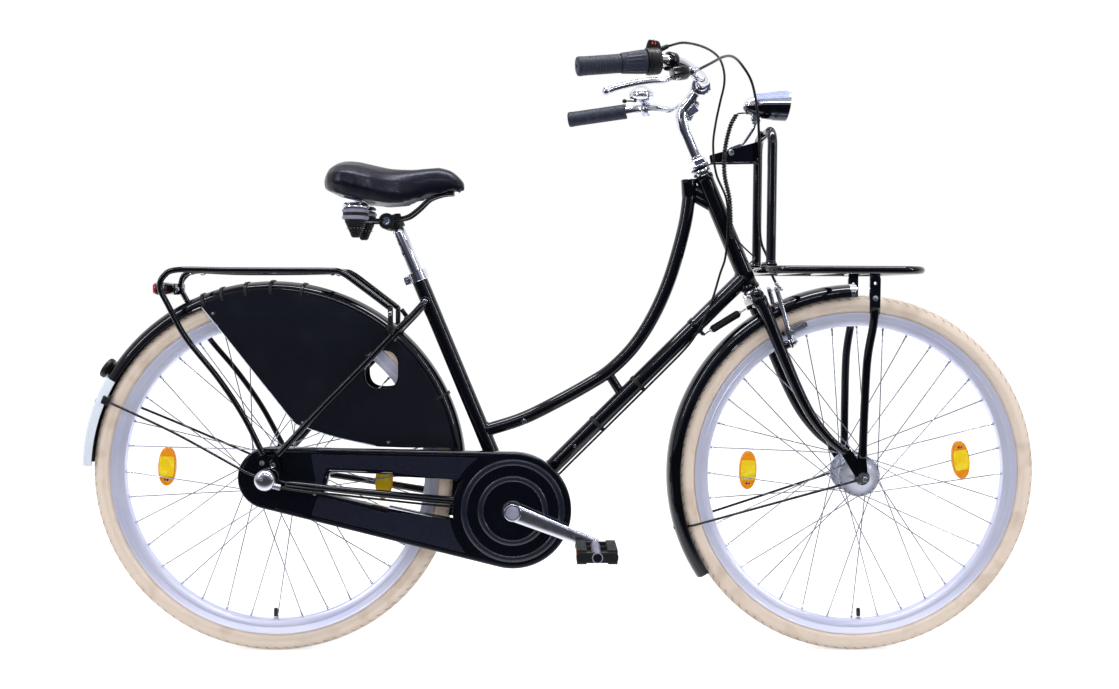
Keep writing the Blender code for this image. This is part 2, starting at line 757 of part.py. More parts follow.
def make_headset():
    low = head_point(HEAD_TUBE_LOW - GAP)
    high = head_point(HEAD_TUBE_HIGH + GAP)
    inner = clear_r(STEERER_R + RUNNING, 12)
    lower = [(inner, -HEADSET_CUP_H), (HEADSET_CUP_R * 0.92, -HEADSET_CUP_H),
             (HEADSET_CUP_R, -HEADSET_CUP_H * 0.6), (HEADSET_CUP_R, -0.003),
             (HEAD_TUBE_R, 0.0), (inner, 0.0)]
    upper = [(inner, 0.0), (HEAD_TUBE_R, 0.0), (HEADSET_CUP_R, 0.003),
             (HEADSET_CUP_R, HEADSET_CUP_H * 0.6), (HEADSET_CUP_R * 0.9, HEADSET_CUP_H),
             (inner, HEADSET_CUP_H)]
    add("headset_lower_cup", revolve(lower, low, HEAD_UP, 12), "chrome", "bicycle")
    add("headset_upper_cup", revolve(upper, high, HEAD_UP, 12), "chrome", "bicycle")
    nut_base = locknut_base()
    flange = cylinder(head_point(nut_base), head_point(nut_base + 0.006), HEADSET_CUP_R, 12)
    hexagon = cylinder(head_point(nut_base + 0.005), head_point(nut_base + LOCKNUT_H), 0.0178, 6)
    hole = bore(head_point(nut_base - 0.01), head_point(nut_base + 0.03), STEERER_R + GAP, 12)
    add("headset_locknut", carve(fuse([flange, hexagon]), [hole]), "chrome", "steering")


def bracket_base():
    """Height of the carrier bracket's ring above the lower head point."""
    return HEAD_TUBE_HIGH + GAP + HEADSET_CUP_H + RUNNING


def locknut_base():
    return bracket_base() + BRACKET_T + GAP


def make_seat_collar():
    top = seat_point(SEAT_TUBE_TOP_Z) + SEAT_UP * 0.002
    bottom = top - SEAT_UP * COLLAR_H
    inner = clear_r(SEAT_TUBE_R + GAP, 12)
    ring = revolve([(inner, 0.0), (inner + COLLAR_T, 0.0), (inner + COLLAR_T, COLLAR_H),
                    (inner, COLLAR_H)], bottom, SEAT_UP, 12)
    back = Vector((-SEAT_UP.z, 0.0, SEAT_UP.x))
    middle = (top + bottom) / 2 + back * (inner + 0.0065)
    turn = SEAT_UP.to_track_quat("Z", "X").to_matrix().to_4x4()
    ear = box(middle, (0.010, 0.011, COLLAR_H * 0.8), turn)
    bolt = cylinder(middle + back * 0.0015 - Y_AXIS * 0.012,
                    middle + back * 0.0015 + Y_AXIS * 0.012, 0.0035, 6)
    add("seat_collar", fuse([ring, ear, bolt]), "chrome", "bicycle")


# Drive

def case_outline(inset=0.0):
    return tangent_outline((0.0, TYRE_R - 0.003), CASE_REAR_R - inset, (BB_X, BB_Z),
                           CASE_FRONT_R - inset, 7, 13)


def case_window(grow=0.0):
    """Opening between the two runs of the chain, with a round front end about the crank."""
    lower = arc(BB_X, BB_Z, 0.1165 - grow, 190, 148, 4)
    return lower + [(0.240, 0.3600 + grow), (0.118 - grow, 0.3650 + grow),
                    (0.106 - grow, 0.3220 - grow * 0.4), (0.230, 0.2930 - grow)]


def case_half(outer):
    split = CHAINLINE_Y
    if outer:
        y0, y1 = CASE_OUTER_Y, split - GAP / 2
        cavity = (CASE_OUTER_Y + CASE_WALL, y1 + 0.001)
    else:
        y0, y1 = split + GAP / 2, CASE_INNER_Y
        cavity = (y0 - 0.001, CASE_INNER_Y - CASE_WALL)
    shell = prism(case_outline(), y0, y1)
    hollow = prism(case_outline(CASE_WALL), *cavity)
    room = carve(hollow, [prism(case_window(CASE_WALL), cavity[0] - 0.001, cavity[1] + 0.001)])
    shell = carve(shell, [prism(case_window(), y0 - 0.001, y1 + 0.001)])
    return carve(shell, [room])


def make_chain_case():
    outer = case_half(True)
    face = CASE_OUTER_Y
    rings = []
    for radius, width in ((0.0945, 0.0120), (0.0625, 0.0110)):
        rings.append(revolve([(radius - width / 2, -0.0004), (radius + width / 2, -0.0004),
                              (radius, 0.0013)], BB + Y_AXIS * face, -Y_AXIS, 16))
    outer = fuse([outer] + rings)
    holes = [bore(BB + Y_AXIS * (face - 0.01), BB + Y_AXIS * (face + 0.006), 0.0190, 12),
             bore(REAR_AXLE + Y_AXIS * (face - 0.01), REAR_AXLE + Y_AXIS * (face + 0.006),
                  CONE_R + 0.0010, 8)]
    add("chain_case_outer", carve(outer, holes), "gloss_panel", "bicycle")
    inner_holes = [bore(BB + Y_AXIS * (CASE_INNER_Y - 0.006),
                        BB + Y_AXIS * (CASE_INNER_Y + 0.01), 0.0170, 12),
                   bore(REAR_AXLE + Y_AXIS * (CASE_INNER_Y - 0.006),
                        REAR_AXLE + Y_AXIS * (CASE_INNER_Y + 0.01), 0.0195, 12)]
    inner = carve(case_half(False), inner_holes)
    add("chain_case_inner", carve(inner, [chain_stay(RIGHT, 0.0010)]), "gloss_panel", "bicycle")


def chain_loop(offset):
    """Closed path of the chain, offset outwards from its pitch line."""
    ring_r = PITCH / (2 * math.sin(math.pi / RING_TEETH)) + offset
    sprocket_r = PITCH / (2 * math.sin(math.pi / SPROCKET_TEETH)) + offset
    return tangent_outline((0.0, TYRE_R), sprocket_r, (BB_X, BB_Z), ring_r, 6, 9)


def make_chain():
    """Roller chain drawn as a channel that rides over the teeth."""
    half = 0.0034
    band = prism(chain_loop(0.0040), CHAINLINE_Y - half, CHAINLINE_Y + half)
    inside = prism(chain_loop(-0.0040), CHAINLINE_Y - half - 0.001, CHAINLINE_Y + half + 0.001)
    groove = prism(chain_loop(0.0031), CHAINLINE_Y - 0.0016, CHAINLINE_Y + 0.0016)
    add("chain", carve(carve(band, [inside]), [groove]), "zinc_steel", "bicycle")


def make_rear_sprocket():
    half = 0.0011
    outline = gear_outline(SPROCKET_TEETH, (0.0, TYRE_R))
    disc = prism(outline, CHAINLINE_Y - half, CHAINLINE_Y + half)
    start = -REAR_HUB_RIGHT_Y - 0.004 - GAP
    driver = cylinder((0, start, TYRE_R), (0, -DRIVER_END_Y, TYRE_R), 0.0150, 12)
    hole = bore((0, 0, TYRE_R), (0, -0.09, TYRE_R), AXLE_R + RUNNING, 8)
    add("rear_sprocket", carve(fuse([disc, driver]), [hole]), "zinc_steel", "sprocket")


def crank_end(side):
    a = CRANK_ANGLE + (math.pi if side > 0 else 0.0)
    return BB + Vector((CRANK_LENGTH * math.cos(a), 0.0, CRANK_LENGTH * math.sin(a)))


def crank_arm(side):
    """Tapered arm with its axle boss, its pedal eye and the pedal's pin."""
    end = crank_end(side)
    base = (BB_X, BB_Z)
    tip = (end.x, end.z)
    outline = tangent_outline(base, 0.0175, tip, 0.0120, 6, 5)
    inner, outer = side * CRANK_Y, side * (CRANK_Y + CRANK_T)
    arm = prism(outline, min(inner, outer), max(inner, outer))
    pin_start = Vector((end.x, outer - side * 0.002, end.z))
    collar_end = Vector((end.x, outer + side * 0.0060, end.z))
    pin_end = Vector((end.x, pedal_middle(side).y + side * PEDAL_L * 0.47, end.z))
    return [arm, cylinder(pin_start, collar_end, 0.0085, 8),
            cylinder(pin_start, pin_end, PEDAL_AXLE_R, 8)]


def pedal_middle(side):
    end = crank_end(side)
    y = side * (CRANK_Y + CRANK_T + 0.0060 + RUNNING + PEDAL_L / 2)
    return Vector((end.x, y, end.z))


def make_cranks():
    ring_half = 0.0011
    pitch_r = PITCH / (2 * math.sin(math.pi / RING_TEETH))
    ring = prism(gear_outline(RING_TEETH, (BB_X, BB_Z)), CHAINLINE_Y - ring_half,
                 CHAINLINE_Y + ring_half)
    shapes = crank_arm(RIGHT)
    shapes.append(cylinder(BB + Y_AXIS * (CHAINLINE_Y + 0.0030),
                           BB - Y_AXIS * (CRANK_Y + 0.002), 0.0160, 10))
    right = fuse([ring] + shapes)
    socket = bore(BB + Y_AXIS * (CHAINLINE_Y + 0.01), BB - Y_AXIS * (CRANK_Y + 0.009),
                  CRANK_AXLE_R + GAP, 10)
    add("right_crank", carve(right, [socket]), "polished_alloy", "crank")
    left = crank_arm(LEFT)
    left.append(cylinder(BB + Y_AXIS * (BB_SHELL_HALF_W + 0.006),
                         BB + Y_AXIS * (CRANK_Y + 0.002), 0.0150, 10))
    axle = cylinder(BB - Y_AXIS * (CRANK_Y + 0.008), BB + Y_AXIS * (CRANK_Y + 0.004),
                    CRANK_AXLE_R, 10)
    add("left_crank_and_axle", fuse([axle] + left), "polished_alloy", "crank")


def make_pedal(side, name, pivot):
    """Block pedal: barrel, two ribbed treads and the end plates that hold them."""
    middle = pedal_middle(side)
    half_l = PEDAL_L / 2
    shapes = [cylinder(middle - Y_AXIS * half_l, middle + Y_AXIS * half_l, 0.0105, 6)]
    for end in (-1, 1):
        outline = rounded([(-PEDAL_W / 2, -PEDAL_H * 0.36), (PEDAL_W / 2, -PEDAL_H * 0.36),
                           (PEDAL_W / 2, PEDAL_H * 0.36), (-PEDAL_W / 2, PEDAL_H * 0.36)],
                          0.008, 1)
        plate = prism(outline, -0.003, 0.003)
        plate.transform(Matrix.Translation(middle + Y_AXIS * end * (half_l - 0.0038)))
        shapes.append(plate)
    for front in (-1, 1):
        comb = []
        for up in (-1, 1):
            for rib in range(3):
                y = -up * (rib - 1) * 0.0277
                comb += [(y + up * 0.01385, up * PEDAL_H * 0.38),
                         (y + up * 0.0105, up * PEDAL_H / 2),
                         (y - up * 0.0085, up * PEDAL_H / 2)]
            comb.append((y - up * 0.01385, up * PEDAL_H * 0.38))
        tread = prism(comb, -0.0090, 0.0090)
        tread.transform(Matrix.Rotation(math.pi / 2, 4, "Z"))
        at = Vector((front * (PEDAL_W / 2 - 0.0100), 0.0, 0.0))
        tread.transform(Matrix.Translation(middle + at))
        shapes.append(tread)
    body = fuse(shapes)
    hole = bore(middle - Y_AXIS * (half_l + 0.005), middle + Y_AXIS * (half_l + 0.005),
                PEDAL_AXLE_R + RUNNING, 8)
    add(name, carve(body, [hole]), "black_plastic", pivot)


# Mudguards, coat guards and their stays

def guard_section():
    """Closed cross-section of a mudguard as (radius, y) points."""
    outer = [(GUARD_EDGE_R, -GUARD_HALF_W), (0.3690, -GUARD_HALF_W * 0.80), (GUARD_R, 0.0)]
    outer += [(r, -y) for r, y in reversed(outer[:-1])]
    inner = []
    for r, y in outer:
        shrink = 1.0 - GUARD_T / GUARD_HALF_W
        inner.append((r - GUARD_T if abs(y) < GUARD_HALF_W * 0.9 else r, y * shrink))
    return outer + inner[::-1]


def guard_shell(axle, start_deg, end_deg, steps):
    bm = bmesh.new()
    verts = [bm.verts.new((r, y, 0.0)) for r, y in guard_section()]
    face = bm.faces.new(verts)
    bmesh.ops.spin(bm, geom=[face], cent=(0, 0, 0), axis=(0, -1, 0), dvec=(0, 0, 0),
                   angle=math.radians(end_deg - start_deg), steps=steps, use_duplicate=False)
    turn = Matrix.Rotation(-math.radians(start_deg), 4, "Y")
    bm.transform(Matrix.Translation(axle) @ turn)
    return finish_mesh(bm)


def make_mudguards():
    front = guard_shell(FRONT_AXLE, 91.5, 213.5, 11)
    spacer = cylinder(head_point(crown_low() - GAP, 0.006), head_point(crown_low() - 0.0103, 0.006),
                      0.0090, 8)
    add("front_mudguard", fuse([front, spacer]), "black_enamel", "steering")
    rear = fuse([guard_shell(REAR_AXLE, -13.0, GUARD_END_DEG, 18), rear_reflector()])
    notches = [chain_stay(side, 0.0010) for side in (RIGHT, LEFT)]
    add("rear_mudguard", carve(rear, notches), "black_enamel", "bicycle")


def rear_reflector():
    """Round reflector whose foot goes through the mudguard, with its nut inside."""
    out = Vector((math.cos(math.radians(148)), 0.0, math.sin(math.radians(148))))
    profile = [(0.0, -0.0050), (0.0100, -0.0050), (0.0120, 0.0040), (0.0205, 0.0060),
               (0.0205, 0.0125), (0.0, 0.0150)]
    return revolve(profile, REAR_AXLE + out * GUARD_R, out, 8)


def crown_low():
    """Lowest point of the fork crown along the steering axis."""
    return HEAD_TUBE_LOW - GAP - HEADSET_CUP_H - RUNNING - 0.0240


def guard_stay(axle, degrees, foot_y, foot_dir_deg, name, pivot):
    """Wire from both ends of an axle to a cross piece riveted inside the mudguard."""
    cross_r = GUARD_R - GUARD_T - STAY_WIRE_R - 0.0066
    route = []
    for side in (RIGHT, LEFT):
        leg = [wheel_point(axle, 0.0140, foot_dir_deg, side * (foot_y + 0.0029)),
               wheel_point(axle, 0.200, degrees, side * 0.0440),
               wheel_point(axle, 0.3430, degrees, side * 0.0300),
               wheel_point(axle, 0.3480, degrees, side * 0.0235),
               wheel_point(axle, 0.3600, degrees, side * 0.0200)]
        leg.append(wheel_point(axle, cross_r, degrees, side * 0.0120))
        route += leg if side < 0 else leg[::-1]
    wire = sweep(route, STAY_WIRE_R, 6)
    shapes = [wire]
    for side in (RIGHT, LEFT):
        span = sorted((side * foot_y, side * (foot_y + STAY_EYE_T)))
        eye = prism(arc(0.0, 0.0, 0.0100, 50, 310, 5) + [(0.0190, -0.0025), (0.0190, 0.0025)],
                    *span)
        hole = bore((0, -0.1, 0), (0, 0.1, 0), AXLE_R + GAP, 8)
        eye = carve(eye, [hole])
        turn = Matrix.Rotation(-math.radians(foot_dir_deg), 4, "Y")
        eye.transform(Matrix.Translation(axle) @ turn)
        shapes.append(eye)
    add(name, fuse(shapes), "black_enamel", pivot)


def make_coat_guard(side, name):
    """Panel that keeps a coat out of the wheel, with a rounded window."""
    fan = arc(0.0, TYRE_R, 0.3580, 8.5, 112.5, 12)
    outline = fan + [(0.046, 0.4520), (0.062, 0.4470), (0.120, 0.4280), (0.200, 0.4100),
                     (0.260, 0.4080)]
    y0 = GUARD_HALF_W + GAP
    span = sorted((side * y0, side * (y0 + COAT_T)))
    panel = prism(outline, *span)
    window = prism(rounded([(0.181, 0.524), (0.245, 0.524), (0.245, 0.598), (0.181, 0.598)],
                           0.022, 3), span[0] - 0.001, span[1] + 0.001)
    add(name, carve(panel, [window]), "gloss_panel", "bicycle")


# Rear carrier and what it holds

def make_rear_rack():
    foot_y = DROPOUT_Y + DROPOUT_T + GAP
    shapes = []
    for side in (RIGHT, LEFT):
        points = [(-0.006, side * (foot_y + 0.0050), 0.4010),
                  (-0.045, side * 0.0720, 0.4760), (-0.092, side * 0.0690, 0.5460),
                  (-0.153, side * 0.0650, 0.6220), (-0.188, side * 0.0620, 0.6850),
                  (-0.2035, side * RACK_HALF_W, 0.7180), (-0.1960, side * RACK_HALF_W, 0.7400),
                  (-0.1700, side * RACK_HALF_W, RACK_Z), (-0.0800, side * RACK_HALF_W, RACK_Z),
                  (0.0300, side * RACK_HALF_W, RACK_Z), (0.1200, side * RACK_HALF_W, RACK_Z),
                  (0.1420, side * 0.0590, 0.7480), (0.1800, side * 0.0560, 0.7210),
                  (0.2340, side * 0.0520, 0.6800)]
        shapes.append(sweep(fitted_route(points, 0.0026, 0.30), RACK_R, 6))
        tab = prism(rounded([(-0.018, 0.374), (0.000, 0.374), (0.000, 0.404), (-0.014, 0.404)],
                            0.004, 1), *sorted((side * foot_y, side * (foot_y + RACK_FOOT_T))))
        shapes.append(tab)
        clamp = cylinder((0.2340, side * 0.0560, 0.6820), (0.2340, side * 0.0526, 0.6300),
                         0.0050, 6)
        shapes.append(clamp)
    for x in (-0.150, -0.010, 0.120):
        shapes.append(cylinder((x, -RACK_HALF_W, RACK_Z), (x, RACK_HALF_W, RACK_Z), 0.0042, 6))
    support = [(-0.150, 0.0, RACK_Z), (-0.178, 0.0, 0.7430), (-0.1840, 0.0, 0.7180),
               (-0.1745, 0.0, 0.6955)]
    shapes.append(sweep(smooth_route(support, 6), 0.0040, 6))
    shapes.append(box((-0.1865, 0.0, 0.7150), (0.0030, 0.0600, 0.0220)))
    add("rear_rack", fuse(shapes), "black_enamel", "bicycle")


def make_rear_lamp():
    """Lamp body with its lens facing back, held by the plate under the carrier."""
    bm = bmesh.new()
    rings = []
    for x, half_w, low, high in ((-0.1880 - GAP, 0.0110, 0.7090, 0.7210),
                                 (-0.1950, 0.0110, 0.7090, 0.7210),
                                 (-0.1962, 0.0220, 0.7065, 0.7255),
                                 (-0.2090, 0.0385, 0.7035, 0.7285),
                                 (-0.2190, 0.0400, 0.7030, 0.7290),
                                 (-0.2260, 0.0365, 0.7060, 0.7265)):
        corner = (high - low) * 0.28
        sides = ((half_w - corner, low), (half_w, low + corner), (half_w, high - corner),
                 (half_w - corner, high))
        ring = [(x, y, z) for y, z in sides] + [(x, -y, z) for y, z in sides[::-1]]
        rings.append([bm.verts.new(point) for point in ring])
    add("rear_lamp", skinned(bm, rings), "red_lens", "bicycle")


def make_hub_shifter():
    """Cap over the end of the rear axle that leads the gear cable into the hub."""
    inner = -(rear_nut_y() + NUT_WASHER_T + REAR_NUT_T)
    face = Vector((0.0, inner - GAP, TYRE_R - 0.002))
    cap = revolve([(0.0, 0.0), (0.0180, 0.0), (0.0200, 0.0040), (0.0195, 0.0120),
                   (0.0130, 0.0175), (0.0, 0.0190)], face, -Y_AXIS, 10)
    spout = cylinder(face + Vector((0.006, -0.0080, -0.008)),
                     face + Vector((0.0300, -0.0080, -0.0135)), 0.0055, 6)
    socket = bore(REAR_AXLE + Y_AXIS * (inner + 0.01), REAR_AXLE + Y_AXIS * (inner - 0.0075),
                  AXLE_R + RUNNING, 8)
    add("hub_shifter_cap", carve(fuse([cap, spout]), [socket]), "polished_alloy", "bicycle")


# Fork and steering

def blade_route(side):
    points = [head_point(-0.012, 0.0, side * 0.0400), head_point(-0.040, 0.002, side * BLADE_Y),
              head_point(-0.110, 0.001, side * BLADE_Y), head_point(-0.200, 0.001, side * 0.0445),
              head_point(-0.265, 0.006, side * 0.0470), head_point(-0.318, 0.020, side * 0.0500),
              head_point(-0.354, 0.0375, side * 0.0522)]
    return fitted_route(points, 0.0010, 0.30)


def brake_pivot(side):
    """Point on a brake arm's axis, in front of its fork blade."""
    return head_point(-0.118, 0.0265, side * BLADE_Y)


def fork_dropout(side):
    y0, y1 = sorted((side * FORK_DROPOUT_Y, side * (FORK_DROPOUT_Y + FORK_DROPOUT_T)))
    outline = (arc(WHEELBASE, TYRE_R, 0.0145, -190, 55, 6)
               + [(WHEELBASE - 0.024, TYRE_R + 0.056), (WHEELBASE - 0.041, TYRE_R + 0.045)])
    plate = prism(outline, y0, y1)
    slot_r = AXLE_R + GAP
    slot = arc(WHEELBASE, TYRE_R, slot_r, 0, 180, 4) + [(WHEELBASE - slot_r, TYRE_R - 0.03),
                                                        (WHEELBASE + slot_r, TYRE_R - 0.03)]
    return carve(plate, [prism(slot, y0 - 0.001, y1 + 0.001)])


def make_fork():
    top = locknut_base() + LOCKNUT_H - 0.001
    low = crown_low()
    shapes = [cylinder(head_point(low + 0.004), head_point(top), STEERER_R, 12),
              cylinder(head_point(low + 0.0220), head_point(low + 0.0240), HEADSET_CUP_R, 12)]
    crown = box(head_point(low + 0.0115), (0.0300, 0.1040, 0.0225),
                HEAD_UP.to_track_quat("Z", "X").to_matrix().to_4x4())
    shapes.append(crown)
    shapes.append(cylinder(head_point(low + 0.0045, -0.010), head_point(low + 0.0045, -0.0220),
                           0.0042, 6))
    for side in (RIGHT, LEFT):
        route = blade_route(side)
        last = len(route) - 1
        radii = [FORK_BLADE_R + (FORK_TIP_R - FORK_BLADE_R) * (k / last) ** 1.4
                 for k in range(last + 1)]
        shapes.append(sweep(route, FORK_BLADE_R, 8, radii=radii))
        shapes.append(fork_dropout(side))
        pivot = brake_pivot(side)
        shapes.append(cylinder(pivot - HEAD_FORWARD * 0.0240, pivot - HEAD_FORWARD * 0.0075,
                               0.0080, 6))
        shapes.append(cylinder(pivot - HEAD_FORWARD * 0.0100, pivot + HEAD_FORWARD * 0.0060,
                               0.0040, 8))
    fork = fuse(shapes)
    hollow = bore(head_point(top - 0.150), head_point(top + 0.01), QUILL_R + GAP, 10)
    add("fork", carve(fork, [hollow]), "black_enamel", "steering")


def make_stem():
    top = locknut_base() + LOCKNUT_H
    clamp = Vector((BAR_X, 0.0, BAR_Z))
    points = [head_point(top + 0.002), head_point(top + 0.040), head_point(top + 0.068, 0.001),
              (0.7975, 0.0, 1.0660), (0.8120, 0.0, 1.0880), (0.8265, 0.0, 1.1080)]
    quill = [(0.0, -0.135), (QUILL_R, -0.135), (QUILL_R, GAP), (STEM_R + 0.0006, GAP),
             (STEM_R + 0.0006, 0.0060), (0.0, 0.0060)]
    shapes = [revolve(quill, head_point(top), HEAD_UP, 10),
              sweep(smooth_route(points, 7), STEM_R, 8)]
    shapes.append(cylinder(clamp - Y_AXIS * STEM_CLAMP_HALF_W, clamp + Y_AXIS * STEM_CLAMP_HALF_W,
                           STEM_CLAMP_R, 12))
    shapes.append(box((0.8170, 0.0, 1.0700), (0.0240, 0.0150, 0.0180),
                      Matrix.Rotation(math.radians(-35), 4, "Y")))
    shapes.append(cylinder((0.8130, 0.0, 1.0560), (0.8260, 0.0, 1.0830), 0.0055, 6))
    hole = bore(clamp - Y_AXIS * 0.05, clamp + Y_AXIS * 0.05, BAR_CLAMP_R + GAP, 12)
    add("stem", carve(fuse(shapes), [hole]), "chrome", "steering")


def grip_line(side, back):
    """Point on a grip's straight axis, measured back from the grip's inner end."""
    start = Vector((0.7080, side * 0.2560, 1.1105))
    end = Vector((0.5790, side * 0.2820, 1.0950))
    return start + (end - start).normalized() * back


def bar_half(side):
    """Points of one half of the bar, from the middle to its end."""
    points = [(BAR_X, side * 0.0400, BAR_Z), (0.8260, side * 0.0900, 1.1100),
              (0.8170, side * 0.1400, 1.1020), (0.8040, side * 0.1860, 1.0990),
              (0.7850, side * 0.2130, 1.1050), (0.7600, side * 0.2350, 1.1120),
              grip_line(side, -0.0240)]
    return fitted_route(points, 0.0016, 0.30) + [grip_line(side, LEFT_GRIP_L)]


def bar_tube(radius):
    centre = [Vector((BAR_X, y, BAR_Z)) for y in (-0.030, 0.030)]
    return sweep(bar_half(RIGHT)[::-1] + centre + bar_half(LEFT), radius, 8)


def make_handlebar():
    sleeve = cylinder((BAR_X, -0.030, BAR_Z), (BAR_X, 0.030, BAR_Z), BAR_CLAMP_R, 10)
    add("handlebar", fuse([bar_tube(BAR_R), sleeve]), "chrome", "steering")


def grip_tube(side, start, length, outer, closed_end=False, ribs=0):
    """Sleeve around the bar's straight end."""
    origin = grip_line(side, start)
    direction = grip_line(side, start + 1) - origin
    inner = clear_r(BAR_R + GAP, 10)
    profile = [(inner, 0.0), (outer * 0.96, 0.0), (outer, 0.0020)]
    for k in range(ribs):
        step = (length - 0.006) / ribs
        z = 0.003 + k * step
        profile += [(outer - 0.0008, z + step * 0.5), (outer, z + step)]
    profile += [(outer, length - 0.004), (outer * 0.86, length)]
    if closed_end:
        wall = LEFT_GRIP_L - start + GAP
        profile += [(0.0, length), (0.0, wall), (inner, wall)]
    else:
        profile += [(inner, length)]
    return revolve(profile, origin, direction, 10)


def make_grips():
    add("left_grip", grip_tube(LEFT, 0.0, LEFT_GRIP_L + 0.0045, GRIP_R, True), "black_rubber",
        "steering")
    start = LEFT_GRIP_L - RIGHT_GRIP_L
    add("right_grip", grip_tube(RIGHT, start, RIGHT_GRIP_L + 0.0045, GRIP_R, True),
        "black_rubber", "steering")
    add("twist_grip", grip_tube(RIGHT, start - TWIST_L - RUNNING, TWIST_L, TWIST_R, ribs=3),
        "black_rubber", "twist")
    housing_start = start - TWIST_L - 2 * RUNNING - HOUSING_L
    body = revolve([(0.0, 0.0), (HOUSING_R * 0.94, 0.0), (HOUSING_R, 0.0030),
                    (HOUSING_R, HOUSING_L), (0.0, HOUSING_L)], grip_line(RIGHT, housing_start),
                   grip_line(RIGHT, 1) - grip_line(RIGHT, 0), 12)
    origin = grip_line(RIGHT, housing_start + HOUSING_L / 2)
    window = prism(rounded([(-0.013, 0.0), (0.014, 0.0), (0.010, 0.012), (-0.009, 0.015)],
                           0.004, 1), -0.0095, 0.0095)
    window.transform(Matrix.Translation(origin + Vector((0, 0, HOUSING_R - 0.003))))
    spout = cylinder(origin + Vector((0.004, 0.0, 0.016)), shifter_spout(), 0.0040, 8)
    hole = bore(grip_line(RIGHT, -0.03), grip_line(RIGHT, 0.08), BAR_R + GAP, 10)
    add("shifter_housing", carve(fuse([body, window, spout]), [hole]), "black_plastic",
        "steering")


def shifter_spout():
    """Where the gear cable leaves the shifter."""
    return Vector((0.7398, -0.2508, 1.1377))


def beam(start, end, across, width, depth):
    """Square bar from start to end, its width along the direction across."""
    along = (Vector(end) - Vector(start)).normalized()
    side = across.normalized()
    frame = Matrix((side, along.cross(side), along)).transposed().to_4x4()
    return box((Vector(start) + Vector(end)) / 2,
               (width, depth, (Vector(end) - Vector(start)).length), frame)


def lever_pivot():
    return Vector((0.7560, -0.2560, 1.0880))


def lever_axis():
    """The lever swings in the plane through the grip and the lever."""
    along = grip_line(RIGHT, 1) - grip_line(RIGHT, 0)
    reach = Vector((0.0, -0.28, -0.96))
    return along.cross(reach).normalized()


def make_brake_lever():
    bar_dir = (Vector((0.7600, -0.2350, 1.1120)) - grip_line(RIGHT, -0.0240)).normalized()
    centre = Vector((0.7460, -0.2436, 1.1128))
    axis = lever_axis()
    pivot = lever_pivot()
    ring = cylinder(centre - bar_dir * 0.0075, centre + bar_dir * 0.0075, 0.0165, 10)
    arm = beam(pivot, centre + Vector((0.004, 0.0, -0.0100)), axis, 0.0136, 0.0150)
    cheeks = cylinder(pivot - axis * 0.0075, pivot + axis * 0.0075, 0.0124, 8)
    spout = cylinder(pivot + Vector((0.008, 0.004, 0.003)), pivot + Vector((0.030, 0.018, 0.0085)),
                     0.0045, 6)
    perch = fuse([ring, arm, cheeks, spout])
    room = prism(arc(0.0, 0.0, 0.0092, 90, 270, 5) + [(0.0300, -0.0092), (0.0300, 0.0092)],
                 -0.0041, 0.0041)
    back = grip_line(RIGHT, 1) - grip_line(RIGHT, 0)
    room.transform(Matrix((back, axis, back.cross(axis))).transposed().to_4x4())
    room.transform(Matrix.Translation(pivot))
    clear = bore(pivot - axis * 0.02, pivot + axis * 0.02, 0.0028, 8)
    perch = carve(carve(perch, [room]), [bar_tube(BAR_R + 2 * GAP)])
    add("brake_lever_perch", carve(perch, [clear]), "black_plastic", "steering")
    points = [pivot + Vector((-0.004, -0.0010, -0.0030)), (0.7350, -0.2624, 1.0780),
              (0.7100, -0.2715, 1.0745), (0.6800, -0.2765, 1.0690), (0.6500, -0.2800, 1.0610),
              (0.6330, -0.2820, 1.0545)]
    route = smooth_route(points, 8)
    radii = [0.0032, 0.0042] + [0.0052] * 4 + [0.0058, 0.0062]
    blade = sweep(route, 0.0052, 6, radii=radii)
    hub = cylinder(pivot - axis * (0.0041 - GAP), pivot + axis * (0.0041 - GAP), 0.0085, 10)
    pin = cylinder(pivot - axis * 0.0085, pivot + axis * 0.0085, 0.0025, 6)
    tip = ball((0.6320, -0.2822, 1.0540), 0.0070, 8, 4)
    add("brake_lever", fuse([hub, blade, pin, tip]), "polished_alloy", "lever_pivot")


def make_bell():
    centre = Vector((0.7380, 0.2270, 1.1240))
    bar_point = Vector((0.7500, 0.2410, 1.1128))
    bar_dir = (Vector((0.7600, 0.2350, 1.1120)) - grip_line(LEFT, -0.0240)).normalized()
    ring = cylinder(bar_point - bar_dir * 0.0060, bar_point + bar_dir * 0.0060, 0.0150, 10)
    foot = cylinder(bar_point + Vector((-0.003, -0.004, 0.0125)),
                    Vector((0.7380, 0.2290, 1.1330)), 0.0060, 6)
    base = revolve([(0.0, 0.0), (0.0180, 0.0), (0.0262, 0.0060), (0.0262, 0.0085),
                    (0.0, 0.0085)], centre + Vector((0, 0, 0.0050)), (0, 0, 1), 10)
    post = cylinder(centre + Vector((0, 0, 0.010)), centre + Vector((0, 0, 0.0330)), 0.0035, 6)
    dome = revolve([(0.0266, 0.0155), (0.0250, 0.0230), (0.0170, 0.0300), (0.0, 0.0342),
                    (0.0, 0.0325), (0.0160, 0.0284), (0.0234, 0.0222), (0.0252, 0.0155)],
                   centre, (0, 0, 1), 10)
    body = fuse([base, ring, foot, post, dome])
    add("bell", carve(body, [bar_tube(BAR_R + GAP)]), "chrome", "steering")
    pivot = bell_pivot()
    arm = cylinder(pivot + Vector((0, 0, 0.0015)), pivot + Vector((-0.0200, 0.0, 0.0015)),
                   0.0016, 6)
    hub = cylinder(pivot, pivot + Vector((0, 0, 0.0034)), 0.0042, 8)
    knob = ball(pivot + Vector((-0.0220, 0.0, 0.0015)), 0.0050, 8, 4)
    add("bell_lever", fuse([hub, arm, knob]), "black_plastic", "bell_pivot")


